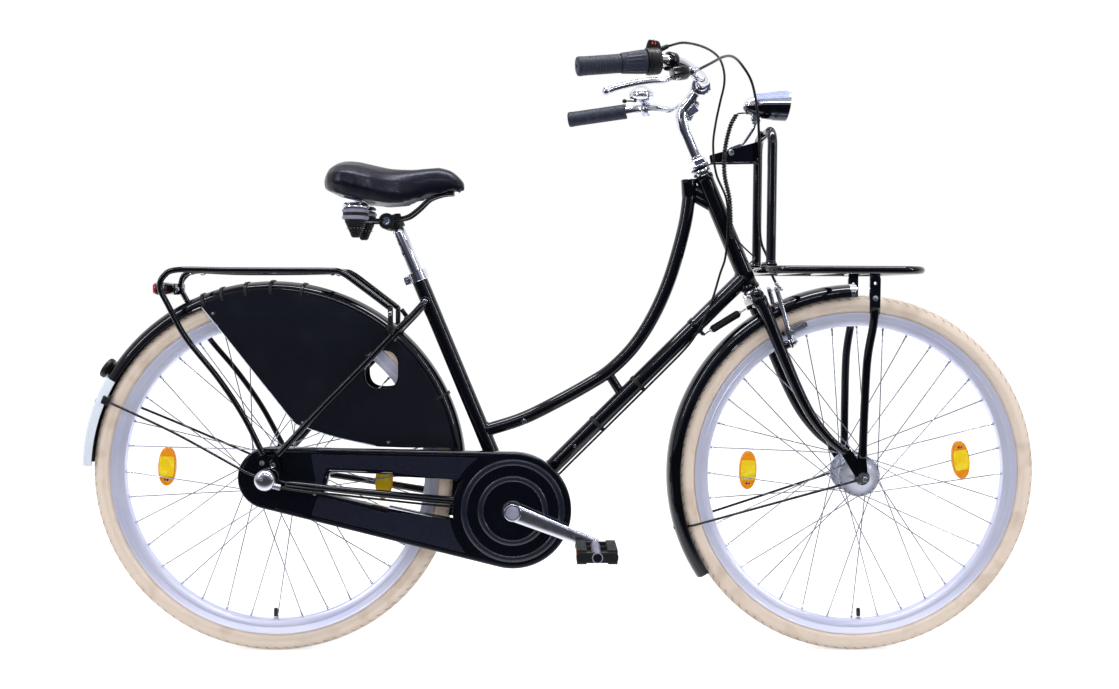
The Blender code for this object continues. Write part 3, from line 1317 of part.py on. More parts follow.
def bell_pivot():
    """The thumb lever turns under the rim of the bell's base."""
    return Vector((0.7230, 0.2180, 1.1247))


# Front carrier

def make_front_rack():
    """Platform loop with its cross tubes and the tabs that the struts bolt to."""
    corner = PLATFORM_CORNER_R
    loop = []
    for x, side, start in ((PLATFORM_FRONT_X - corner, LEFT, 0), (PLATFORM_REAR_X + corner, LEFT, 90),
                           (PLATFORM_REAR_X + corner, RIGHT, 180),
                           (PLATFORM_FRONT_X - corner, RIGHT, 270)):
        for px, py in arc(x, side * (PLATFORM_HALF_W - corner), corner, start, start + 90, 2):
            loop.append((px, py, PLATFORM_Z))
    shapes = [sweep(loop, PLATFORM_TUBE_R, 8, closed=True)]
    for x in (1.020, 1.091, STRUT_X):
        shapes.append(cylinder((x, -PLATFORM_HALF_W, PLATFORM_Z), (x, PLATFORM_HALF_W, PLATFORM_Z),
                               PLATFORM_CROSS_R, 6))
    for side in (RIGHT, LEFT):
        outline = [(STRUT_X - 0.0100, 0.7000), (STRUT_X + 0.0100, 0.7000),
                   (STRUT_X + 0.0100, PLATFORM_Z), (STRUT_X - 0.0100, PLATFORM_Z)]
        inner = side * (STRUT_Y - STRUT_PLATE_T - GAP)
        shapes.append(prism(outline, *sorted((inner, inner - side * STRUT_PLATE_T))))
        shapes.append(box((HOOP_X - 0.004, side * HOOP_HALF_W, PLATFORM_Z + 0.0060),
                          (0.0300, 0.0240, 0.0040)))
    add("front_rack", fuse(shapes), "black_enamel", "steering")


def hoop_foot_z():
    return PLATFORM_Z + 0.0080 + GAP


def make_front_hoop():
    """Arch at the back of the platform, on two flattened feet."""
    bend = 0.0300
    points = []
    for side in (RIGHT, LEFT):
        leg = [(HOOP_X, side * HOOP_HALF_W, hoop_foot_z() + 0.003),
               (HOOP_X, side * HOOP_HALF_W, 0.9400)]
        for y, z in arc(side * (HOOP_HALF_W - bend), HOOP_TOP_Z - bend, bend,
                        0 if side > 0 else 180, 90, 3):
            leg.append((HOOP_X, y, z))
        points += leg if side < 0 else leg[::-1]
    shapes = [sweep(points, HOOP_R, 8)]
    for side in (RIGHT, LEFT):
        z = hoop_foot_z()
        shapes.append(box((HOOP_X - 0.004, side * HOOP_HALF_W, z + 0.0020), (0.0290, 0.0190, 0.0040)))
    add("front_hoop", fuse(shapes), "black_enamel", "steering")


def make_hoop_bracket():
    """Plate from the steering head to the arch, clamped under the locknut."""
    base = bracket_base()
    ring = cylinder(head_point(base), head_point(base + BRACKET_T), 0.0190, 12)
    turn = HEAD_UP.to_track_quat("Z", "X").to_matrix().to_4x4()
    tongue = box(head_point(base + BRACKET_T / 2, 0.0185), (0.0180, 0.0180, BRACKET_T), turn)
    front_x = HOOP_X - HOOP_R - GAP
    plate = prism([(0.8555, 0.9655), (front_x - 0.001, 0.9680), (front_x - 0.001, 1.0120),
                   (0.8520, 0.9830)], -BRACKET_T / 2, BRACKET_T / 2)
    flange = box((front_x - 0.0015, 0.0, 0.9990), (0.0030, 0.0240, 0.0620))
    bracket = fuse([ring, tongue, plate, flange])
    hole = bore(head_point(base - 0.01), head_point(base + 0.02), STEERER_R + GAP, 12)
    bolt_hole = bore(lamp_bolt() - Y_AXIS * 0.01, lamp_bolt() + Y_AXIS * 0.01,
                     LAMP_BOLT_R + GAP, 8)
    add("hoop_bracket", carve(bracket, [hole, bolt_hole]), "black_enamel", "steering")


def lamp_bolt():
    return Vector((0.8950, 0.0, 0.9885))


def make_strut(side, name):
    """Tube from the front axle to the platform, flattened at both ends."""
    top_y = side * (STRUT_Y - STRUT_PLATE_T / 2)
    points = [(STRUT_X, side * STRUT_Y, 0.6800), (1.1590, side * 0.0755, 0.6500),
              (1.1500, side * 0.0725, 0.5860), (1.1475, side * 0.0680, 0.4900),
              (1.1470, side * 0.0645, 0.4150), (1.1470, side * 0.0635, 0.3960)]
    tube = sweep(fitted_route(points, 0.0012, 0.30), STRUT_R, 8)
    outline = (arc(STRUT_X, 0.6780, 0.0100, 180, 360, 4)
               + [(STRUT_X + 0.0100, PLATFORM_Z - PLATFORM_CROSS_R - GAP - 0.0005),
                  (STRUT_X - 0.0100, PLATFORM_Z - PLATFORM_CROSS_R - GAP - 0.0005)])
    plate = prism(outline, top_y - STRUT_PLATE_T / 2, top_y + STRUT_PLATE_T / 2)
    eye_y = FORK_DROPOUT_Y + FORK_DROPOUT_T + GAP
    span = sorted((side * eye_y, side * (eye_y + STRUT_EYE_T)))
    foot = prism(arc(WHEELBASE, TYRE_R, 0.0105, 170, 370, 8)
                 + [(1.1550, 0.4050), (1.1390, 0.4050)], *span)
    strut = fuse([tube, plate, foot])
    holes = [bore((STRUT_X, side * 0.06, 0.7330), (STRUT_X, side * 0.09, 0.7330), 0.0030, 8),
             bore(FRONT_AXLE + Y_AXIS * side * 0.05, FRONT_AXLE + Y_AXIS * side * 0.06,
                  AXLE_R + GAP, 8)]
    add(name, carve(strut, holes), "black_enamel", "steering")


# Lamp at the front

def lamp_point(forward, up=0.0):
    return Vector((LAMP_X + forward, 0.0, LAMP_Z + up))


def make_headlamp():
    """Bullet shell with a slanted mouth, and the lens inside it."""
    wall = 0.0014
    outer = [(0.0, 0.0), (0.0070, 0.0004), (0.0150, 0.0080), (0.0225, 0.0310),
             (0.0268, 0.0600), (0.0285, 0.0900)]
    inner = [(r - wall, x) for r, x in outer[:1:-1]] + [(0.0085, 0.0050), (0.0, 0.0030)]
    shell = revolve(outer + inner, lamp_point(0.0), (1, 0, 0), 12)
    mouth = box((0, 0, 0), (0.0600, 0.1200, 0.1600), Matrix.Rotation(math.radians(-14), 4, "Y"))
    mouth.transform(Matrix.Translation(lamp_point(0.1105, -0.0060)))
    foot = box((0.9430, 0.0, 1.0560), (0.0200, 0.0120, 0.0150))
    inside = revolve(inner + [(0.0, 0.1)], lamp_point(0.0), (1, 0, 0), 12)
    tail_hole = cylinder(lamp_point(0.010, -0.03), lamp_point(0.010, 0.0), 0.0022, 6)
    body = carve(fuse([shell, carve(foot, [inside])]), [mouth, tail_hole])
    add("headlamp", body, "lamp_chrome", "steering")
    lens_r = 0.0262 - wall - GAP
    lens = revolve([(0.0, 0.0), (lens_r, 0.0), (lens_r, 0.0030), (lens_r * 0.6, 0.0055),
                    (0.0, 0.0065)], lamp_point(0.0550), (1, 0, 0), 12)
    add("headlamp_lens", lens, "clear_glass", "steering")


def make_headlamp_bracket():
    bolt = lamp_bolt()
    side_y = BRACKET_T / 2 + GAP
    outline = rounded([(0.8860, 0.9800), (0.9040, 0.9800), (0.9220, 0.9960), (0.9160, 1.0080),
                       (0.8900, 0.9980)], 0.006, 1)
    tab = prism(outline, side_y, side_y + 0.0025)
    rod = sweep(smooth_route([(0.9150, side_y + 0.0032, 1.0000), (0.9250, side_y + 0.0030, 1.0140),
                              (0.9380, 0.0015, 1.0350), (0.9430, 0.0, 1.0450)], 4), 0.0030, 6)
    seat = box((0.9430, 0.0, 1.0460), (0.0160, 0.0110, 0.0040))
    shank = cylinder(bolt - Y_AXIS * 0.0060, bolt + Y_AXIS * 0.0080, LAMP_BOLT_R, 8)
    head = cylinder(bolt - Y_AXIS * 0.0062, bolt - Y_AXIS * side_y, 0.0058, 6)
    add("headlamp_bracket", fuse([tab, rod, seat, shank, head]), "chrome", "steering")


# Rim brake at the front

def make_brake_arm(side, name, pivot_name):
    """Lever arm on its stud, with the pad that meets the rim."""
    pivot = brake_pivot(side)
    inwards = -Y_AXIS * side
    boss = cylinder(pivot - HEAD_FORWARD * 0.0070, pivot + HEAD_FORWARD * 0.0062, 0.0088, 10)
    route = []
    for up, forward, turn_in in ((0.0, 0.000, 0.0), (0.030, 0.0030, 0.0000), (0.065, 0.0085, 0.0040),
                                 (0.090, 0.0120, 0.0066), (0.106, 0.0135, 0.0078)):
        route.append(pivot + HEAD_UP * up + HEAD_FORWARD * forward + inwards * turn_in)
    shapes = [boss, sweep(smooth_route(route, 5), 0.0046, 8)]
    post = pivot + HEAD_UP * PAD_UP + HEAD_FORWARD * 0.0060
    pad_y = PAD_FACE_Y + PAD_T / 2
    turn = HEAD_UP.to_track_quat("Z", "X").to_matrix().to_4x4()
    shapes.append(cylinder(post, Vector((post.x, side * pad_y, post.z)), 0.0032, 6))
    centre = pivot + HEAD_UP * PAD_UP + HEAD_FORWARD * 0.0190
    centre.y = side * pad_y
    shapes.append(box(centre, (0.0520, PAD_T, 0.0095), turn))
    hole = bore(pivot - HEAD_FORWARD * 0.02, pivot + HEAD_FORWARD * 0.02, 0.0040 + RUNNING, 8)
    add(name, carve(fuse(shapes), [hole]), "polished_alloy", pivot_name)


# Cables and leads

def brake_cable_route():
    return [(0.7875, -0.2371, 1.0972), (0.8200, -0.2050, 1.1180), (0.8520, -0.1500, 1.1420),
            (0.8800, -0.0900, 1.1560), (0.9050, -0.0480, 1.1500), (0.9280, -0.0350, 1.1180),
            (0.9400, -0.0330, 1.0600), (0.9450, -0.0280, 0.9970), (0.9480, -0.0230, 0.9300),
            (0.9480, -0.0220, 0.8700), (0.9520, -0.0230, 0.8150), (0.9630, -0.0280, 0.7850),
            (0.9690, -0.0340, 0.7620), (0.9720, -0.0420, 0.7450), (0.9790, -0.0490, 0.7290),
            (0.9870, -0.0500, 0.7210), (0.9896, -0.0440, 0.7202), (0.9896, -0.0200, 0.7202),
            (0.9896, 0.0180, 0.7202), (0.9896, 0.0400, 0.7202)]


def gear_cable_route():
    return [(0.7412, -0.2501, 1.1383), (0.7700, -0.2330, 1.1480), (0.8130, -0.1750, 1.1540),
            (0.8480, -0.1180, 1.1500), (0.8650, -0.0820, 1.1330), (0.8700, -0.0600, 1.1100),
            (0.8660, -0.0400, 1.0800), (0.8590, -0.0320, 1.0400), (0.8550, -0.0300, 0.9970),
            (0.8620, -0.0280, 0.9440), (0.8830, -0.0260, 0.8940), (0.8860, -0.0240, 0.8350),
            (0.8830, -0.0200, 0.7830), (0.8740, -0.0130, 0.7500), (0.8610, -0.0135, 0.7050),
            (0.8460, -0.0198, 0.6680), (0.8260, -0.0175, 0.6290), (0.8060, -0.0130, 0.6015),
            (0.7700, -0.0090, 0.5635), (0.7225, -0.0080, 0.5155), (0.6500, -0.0080, 0.4430),
            (0.5600, -0.0090, 0.3530), (0.5150, -0.0110, 0.3050), (0.4930, -0.0130, 0.2720),
            (0.4700, -0.0150, 0.2640), (0.4450, -0.0185, 0.2695), (0.4000, -0.0270, 0.2860),
            (0.3500, -0.0345, 0.2930), (0.2900, -0.0420, 0.3000), (0.2000, -0.0580, 0.3130),
            (0.1300, -0.0690, 0.3230), (0.0850, -0.0790, 0.3290), (0.0550, -0.0860, 0.3345),
            (0.0305, -0.0883, 0.3394)]


def lamp_lead_route():
    return [(0.9210, 0.0, 1.0660), (0.9120, -0.0100, 1.0640), (0.9010, -0.0200, 1.0590),
            (0.8890, -0.0240, 1.0360), (0.8795, -0.0230, 0.9920), (0.8790, -0.0230, 0.9440),
            (0.8895, -0.0235, 0.8940), (0.8930, -0.0225, 0.8350), (0.9150, -0.0240, 0.8060),
            (0.9400, -0.0110, 0.7850), (0.9450, 0.0160, 0.7790), (0.9385, 0.0320, 0.7680),
            (0.9385, 0.0385, 0.7440), (0.9540, 0.0420, 0.7240), (0.9715, 0.0460, 0.7010),
            (0.9840, 0.0540, 0.6690), (0.9980, 0.0585, 0.6200), (1.0170, 0.0575, 0.5680),
            (1.0450, 0.0550, 0.5100), (1.0760, 0.0560, 0.4650), (1.1060, 0.0590, 0.4265),
            (1.1225, 0.0600, 0.4110), (1.1275, 0.0585, 0.3985), (1.1290, 0.0568, 0.3840)]


def make_cables():
    route = brake_cable_route()
    radii = [CABLE_R] * 16 + [CABLE_R, 0.0036, 0.0030, 0.0016]
    fine = fitted_route(route, 0.0010)
    knots = []
    for point in fine:
        nearest = min(range(len(route)), key=lambda k: (Vector(route[k]) - point).length)
        knots.append(radii[nearest])
    add("brake_cable", sweep(fine, CABLE_R, 6, radii=knots), "black_rubber", "steering")
    whole = fitted_route(gear_cable_route(), 0.0016)
    top = max(range(len(whole)), key=lambda k: whole[k].z)
    split = next(k for k in range(top, len(whole)) if whole[k].z < GEAR_CABLE_SPLIT_Z)
    down = (whole[split + 1] - whole[split]).normalized()
    upper = sweep(whole[:split + 1], GEAR_CABLE_R, 6)
    add("gear_cable_upper", upper, "black_rubber", "steering")
    lower = sweep([whole[split] + down * RUNNING] + whole[split + 1:], GEAR_CABLE_R, 6)
    add("gear_cable", lower, "black_rubber", "bicycle")
    lead = sweep(fitted_route(lamp_lead_route(), 0.0014), LAMP_LEAD_R, 6)
    add("lamp_lead", lead, "black_rubber", "steering")


# Steering stabiliser

def make_stabiliser():
    """Straight sleeve between the down tube and the fork crown, with a hook at each end."""
    low = down_tube_point(0.506, 0.0240 + GAP)
    high = head_point(crown_low() + 0.0045, -0.0240)
    axis = (high - low).normalized()
    shapes = [cylinder(low + axis * 0.0200, high - axis * 0.0180, 0.0078, 6)]
    start = low + Vector((0.0, 0.0, -0.0016))
    shapes.append(sweep([start, low + axis * 0.0080, low + axis * 0.0220], 0.0016, 6))
    shapes.append(sweep([high - axis * 0.0200, high - axis * 0.0080, high], 0.0016, 6))
    add("steering_stabiliser", fuse(shapes), "black_rubber", "bicycle")


# Seat

def make_seat_post():
    length = (POST_TOP_Z - POST_BOTTOM_Z) / SEAT_UP.z
    neck = length - 0.0350
    wall = 0.0020
    profile = [(0.0, length), (POST_TOP_R, length), (POST_TOP_R, neck + 0.0050), (POST_R, neck),
               (POST_R, 0.0), (POST_R - wall, 0.0), (POST_R - wall, neck - 0.0200),
               (0.0, neck - 0.0200)]
    add("seat_post", revolve(profile, seat_point(POST_BOTTOM_Z), SEAT_UP, 12), "chrome", "seat")


def saddle_stations():
    """Length, half width, top and lower edge of the saddle from its tail to its nose."""
    return [(0.1060, 0.0250, 0.9200, 0.9110), (0.1092, 0.0620, 0.9370, 0.9070),
            (0.1190, 0.0880, 0.9525, 0.9020), (0.1345, 0.1030, 0.9610, 0.8970),
            (0.1520, 0.1090, 0.9645, 0.8920), (0.1750, 0.1050, 0.9630, 0.8875),
            (0.2000, 0.0900, 0.9575, 0.8835), (0.2250, 0.0700, 0.9525, 0.8790),
            (0.2500, 0.0520, 0.9510, 0.8790), (0.2750, 0.0390, 0.9515, 0.8865),
            (0.3000, 0.0320, 0.9540, 0.8950), (0.3250, 0.0290, 0.9560, 0.9010),
            (0.3480, 0.0265, 0.9490, 0.9045), (0.3640, 0.0215, 0.9350, 0.9070),
            (0.3730, 0.0140, 0.9230, 0.9100)]


def saddle_value(x, column):
    """Width, top or lower edge of the saddle at a length along it."""
    rows = saddle_stations()
    for a, b in zip(rows, rows[1:]):
        if a[0] <= x <= b[0]:
            return a[column] + (b[column] - a[column]) * (x - a[0]) / (b[0] - a[0])
    return rows[-1][column]


def saddle_hollow(x):
    """How far the underside rises between the saddle's lower edges."""
    share = min(max((x - 0.1850) / 0.0500, 0.0), 1.0)
    return 0.0150 * share * share * (3 - 2 * share)


def saddle_ring(x, half_w, top, edge):
    """Cross-section with a crowned top, drawn-in sides and a hollow underside."""
    points = []
    height = top - edge
    for degrees in (0, 22, 45, 68, 90, 112, 135, 158, 180):
        a = math.radians(degrees)
        across = math.copysign(abs(math.cos(a)) ** 0.78, math.cos(a))
        points.append((x, half_w * across, edge + height * (0.30 + 0.70 * math.sin(a) ** 0.85)))
    waist = 0.90 if height > 0.03 else 0.94
    points.append((x, -half_w * waist, edge + height * 0.10))
    points.append((x, -half_w * (waist - 0.06), edge))
    for share in (-0.60, 0.0, 0.60):
        points.append((x, half_w * share, edge + saddle_hollow(x) * (1 - (share / 0.84) ** 2)))
    points.append((x, half_w * (waist - 0.06), edge))
    points.append((x, half_w * waist, edge + height * 0.10))
    return points


def make_saddle():
    rows = saddle_stations()
    bm = bmesh.new()
    rings = []
    for i in range(len(rows) - 1):
        near = [rows[max(min(i + k, len(rows) - 1), 0)] for k in (-1, 0, 1, 2)]
        for step in range(2 if i == 0 else 1):
            values = []
            for column in range(4):
                values.append(spline_point([row[column] for row in near], step / 2))
            rings.append([bm.verts.new(p) for p in saddle_ring(*values)])
    rings.append([bm.verts.new(p) for p in saddle_ring(*rows[-1])])
    add("saddle", skinned(bm, rings), "saddle_vinyl", "seat", smooth_deg=60)


def make_saddle_frame():
    """Rails, the clamp on the post, the cross plate and the two rubber springs."""
    shapes = []
    for side in (RIGHT, LEFT):
        points = [(0.3500, side * 0.0100, 0.9040), (0.3300, side * 0.0125, 0.9020),
                  (0.3050, side * 0.0150, 0.8930), (0.2840, side * 0.0180, 0.8740),
                  (0.2640, side * 0.0205, 0.8590), (0.2410, side * 0.0215, 0.8530),
                  (0.2220, side * 0.0240, 0.8500), (0.1950, side * 0.0380, 0.8500),
                  (0.1670, side * BUMPER_Y, 0.8510)]
        shapes.append(sweep(fitted_route(points, 0.0016, 0.30), 0.0035, 6))
        bumper = [(0.0, 0.8170), (0.0090, 0.8170), (0.0205, 0.8440), (0.0260, 0.8550),
                  (0.0260, 0.8640), (0.0225, 0.8670), (0.0260, 0.8700), (0.0255, 0.8820),
                  (0.0, 0.8820)]
        shapes.append(revolve(bumper, (0.1670, side * BUMPER_Y, 0.0), (0, 0, 1), 8))
        disc_start = Vector((CLAMP_X, side * 0.0080, CLAMP_Z))
        shapes.append(cylinder(disc_start, disc_start + Y_AXIS * side * 0.0190, 0.0160, 10))
    shapes.append(cylinder((CLAMP_X, -0.0310, CLAMP_Z), (CLAMP_X, 0.0310, CLAMP_Z), 0.0055, 6))
    shapes.append(cylinder(seat_point(CLAMP_Z - 0.0120), seat_point(CLAMP_Z + 0.0110), 0.0155, 12))
    plate = [(x, saddle_value(x, 3) - GAP - 0.0003) for x in (0.1480, 0.1590, 0.1700, 0.1830)]
    plate += [(x, z - 0.0080) for x, z in plate[::-1]]
    shapes.append(prism(plate, -0.0720, 0.0720))
    nose_top = saddle_value(0.3380, 3) + saddle_hollow(0.3380) * 0.60 - 2 * GAP
    shapes.append(box((0.3450, 0.0, (nose_top + 0.9010) / 2), (0.0140, 0.0240, nose_top - 0.9010)))
    frame = fuse(shapes)
    hole = bore(seat_point(CLAMP_Z - 0.03), seat_point(CLAMP_Z + 0.03), POST_TOP_R + GAP, 12)
    add("saddle_frame", carve(frame, [hole]), "black_plastic", "seat")


# Assembly

def make_pivots():
    make_pivot("bicycle", None, (0, 0, 0))
    make_pivot("steering", "bicycle", head_point(0.0), HEAD_UP)
    make_pivot("front_wheel", "steering", FRONT_AXLE, Y_AXIS)
    make_pivot("rear_wheel", "bicycle", REAR_AXLE, Y_AXIS)
    make_pivot("sprocket", "bicycle", REAR_AXLE, Y_AXIS)
    make_pivot("crank", "bicycle", BB, Y_AXIS)
    make_pivot("right_pedal", "crank", pedal_middle(RIGHT), Y_AXIS)
    make_pivot("left_pedal", "crank", pedal_middle(LEFT), Y_AXIS)
    make_pivot("lever_pivot", "steering", lever_pivot(), lever_axis())
    make_pivot("brake_arm_right", "steering", brake_pivot(RIGHT), HEAD_FORWARD)
    make_pivot("brake_arm_left", "steering", brake_pivot(LEFT), HEAD_FORWARD)
    make_pivot("twist", "steering", grip_line(RIGHT, 0.0), grip_line(RIGHT, 1) - grip_line(RIGHT, 0))
    make_pivot("bell_pivot", "steering", bell_pivot(), (0, 0, 1))
    make_pivot("seat", "bicycle", seat_point(SEAT_TUBE_TOP_Z), SEAT_UP)


def make_bicycle():
    clear_scene()
    make_finishes()
    make_pivots()
    make_front_wheel()
    make_rear_wheel()
    make_axles()
    make_main_frame()
    make_seat_stays()
    make_headset()
    make_seat_collar()
    make_chain_case()
    make_chain()
    make_rear_sprocket()
    make_cranks()
    make_pedal(RIGHT, "right_pedal_block", "right_pedal")
    make_pedal(LEFT, "left_pedal_block", "left_pedal")
    make_mudguards()
    front_foot = FORK_DROPOUT_Y + FORK_DROPOUT_T + 2 * GAP + STRUT_EYE_T
    guard_stay(FRONT_AXLE, 197.0, front_foot, 197.0, "front_mudguard_stay", "steering")
    guard_stay(REAR_AXLE, 156.0, DROPOUT_Y + DROPOUT_T + GAP, 168.0, "rear_mudguard_stay",
               "bicycle")
    make_coat_guard(RIGHT, "right_coat_guard")
    make_coat_guard(LEFT, "left_coat_guard")
    make_rear_rack()
    make_rear_lamp()
    make_hub_shifter()
    make_fork()
    make_stem()
    make_handlebar()
    make_grips()
    make_brake_lever()
    make_bell()
    make_front_rack()
    make_front_hoop()
    make_hoop_bracket()
    make_strut(RIGHT, "right_strut")
    make_strut(LEFT, "left_strut")
    make_headlamp()
    make_headlamp_bracket()
    make_brake_arm(RIGHT, "right_brake_arm", "brake_arm_right")
    make_brake_arm(LEFT, "left_brake_arm", "brake_arm_left")
    make_cables()
    make_stabiliser()
    make_seat_post()
    make_saddle()
    make_saddle_frame()
    bpy.context.view_layer.update()


make_bicycle()
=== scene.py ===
"""Looks of a transport bicycle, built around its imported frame.

Shapes are written in metres with X forward from the rear axle, Y to the rider's left and Z up from
the ground, as in the part's source. Each finished piece is moved by REAR_X, where the rear axle
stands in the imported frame.
"""
import math

import bmesh
import bpy
from mathutils import Matrix, Vector


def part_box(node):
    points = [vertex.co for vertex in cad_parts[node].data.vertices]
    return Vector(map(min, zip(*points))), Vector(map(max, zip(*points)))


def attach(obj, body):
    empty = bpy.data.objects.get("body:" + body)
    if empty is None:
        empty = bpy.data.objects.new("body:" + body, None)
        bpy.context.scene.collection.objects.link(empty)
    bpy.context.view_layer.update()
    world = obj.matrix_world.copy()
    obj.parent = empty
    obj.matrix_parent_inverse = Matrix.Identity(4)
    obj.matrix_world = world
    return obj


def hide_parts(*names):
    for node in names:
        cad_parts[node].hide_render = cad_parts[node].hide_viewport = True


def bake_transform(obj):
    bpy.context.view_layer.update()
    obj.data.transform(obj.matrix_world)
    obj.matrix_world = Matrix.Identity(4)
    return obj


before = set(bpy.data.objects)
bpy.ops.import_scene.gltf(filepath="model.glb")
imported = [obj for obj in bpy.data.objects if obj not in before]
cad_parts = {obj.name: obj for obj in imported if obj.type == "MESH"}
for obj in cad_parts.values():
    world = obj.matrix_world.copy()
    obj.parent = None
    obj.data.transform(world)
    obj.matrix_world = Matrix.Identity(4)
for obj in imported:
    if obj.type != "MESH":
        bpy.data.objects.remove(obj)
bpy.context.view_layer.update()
low_corner, high_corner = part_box("rear_rim")
REAR_X = (low_corner.x + high_corner.x) / 2

# Sizes that the pieces share

WHEELBASE = 1.15
WHEEL_Z = 0.355
AXLE_SLOT = 0.0053
BB_X, BB_Z = 0.47, 0.29
CRANK_LENGTH, CRANK_ANGLE = 0.17, math.radians(-21.5)
HEAD_X, HEAD_Z = 0.94, 0.715
HEAD_ANGLE = math.radians(66.5)
SEAT_ANGLE = math.radians(67.3)
CROWN = -0.0303
DOWN_R, SEAT_R, SWAN_R = 0.0163, 0.0156, 0.0132
GUARD_BASE, GUARD_TOP = 0.352, 0.377
RACK_Z, RACK_Y = 0.752, 0.06
PLATFORM_Z = 0.757
X, Y, Z = Vector((1, 0, 0)), Vector((0, 1, 0)), Vector((0, 0, 1))
ORIGIN = Vector((0.0, 0.0, 0.0))
REAR_AXLE = Vector((0.0, 0.0, WHEEL_Z))
FRONT_AXLE = Vector((WHEELBASE, 0.0, WHEEL_Z))
BB = Vector((BB_X, 0.0, BB_Z))
HEAD_UP = Vector((-math.cos(HEAD_ANGLE), 0.0, math.sin(HEAD_ANGLE)))
HEAD_FORWARD = Vector((math.sin(HEAD_ANGLE), 0.0, math.cos(HEAD_ANGLE)))
SEAT_UP = Vector((-math.cos(SEAT_ANGLE), 0.0, math.sin(SEAT_ANGLE)))
RIGHT, LEFT = -1, 1
SIDES = (RIGHT, LEFT)
NAMED_SIDES = ((RIGHT, "right"), (LEFT, "left"))


def head_point(along, forward=0.0, y=0.0):
    """Point beside the steering axis, from its lower end."""
    return Vector((HEAD_X, y, HEAD_Z)) + HEAD_UP * along + HEAD_FORWARD * forward


DOWN_TOP = head_point(0.034)
DOWN_WAY = (DOWN_TOP - BB).normalized()


def seat_point(z):
    """Point on the seat tube's axis at height z."""
    return BB + SEAT_UP * ((z - BB_Z) / SEAT_UP.z)


def wheel_point(centre, radius, degrees, y=0.0):
    """Point beside a wheel's centre, at an angle that turns from forwards to up."""
    a = math.radians(degrees)
    return centre + Vector((radius * math.cos(a), y, radius * math.sin(a)))


def radial(degrees):
    """Direction outwards from a wheel's centre."""
    return wheel_point(ORIGIN, 1.0, degrees)


# Nodes

def fill(tree, socket, value):
    """Set an input to a value, or link it."""
    if isinstance(value, Value):
        value = value.socket
    if isinstance(value, bpy.types.NodeSocket):
        tree.links.new(value, socket)
    else:
        socket.default_value = value


def node(tree, kind, inputs=None, **fields):
    """Add a node, set its fields and fill or link its inputs."""
    made = tree.nodes.new(kind)
    for key, value in fields.items():
        setattr(made, key, value)
    for key, value in (inputs or {}).items():
        fill(tree, made.inputs[key], value)
    return made


class Value:
    """A number in a node tree that sums and products can be written with."""

    def __init__(self, tree, socket):
        self.tree, self.socket = tree, socket

    def math(self, operation, *others):
        """What a math node makes of this value and others."""
        inputs = dict(enumerate((self,) + others))
        made = node(self.tree, "ShaderNodeMath", inputs, operation=operation)
        return Value(self.tree, made.outputs[0])

    def __add__(self, other):
        return self.math("ADD", other)

    def __sub__(self, other):
        return self.math("SUBTRACT", other)

    def __mul__(self, other):
        return self.math("MULTIPLY", other)

    def ramp(self, low, high, start=0.0, end=1.0):
        """Smooth step from start to end as the value goes from low to high."""
        inputs = {"Value": self, "From Min": low, "From Max": high, "To Min": start, "To Max": end}
        made = node(self.tree, "ShaderNodeMapRange", inputs, interpolation_type="SMOOTHSTEP")
        return Value(self.tree, made.outputs["Result"])

    def band(self, middle, half, soft):
        """One near a middle value and zero away from it."""
        return (self - middle).math("ABSOLUTE").ramp(half, half + soft, 1.0, 0.0)


def srgb(code):
    """Linear colour of a six-digit sRGB hex code."""
    parts = [int(code[i:i + 2], 16) / 255 for i in (1, 3, 5)]
    return tuple(c / 12.92 if c <= 0.04045 else ((c + 0.055) / 1.055) ** 2.4 for c in parts) + (1.0,)


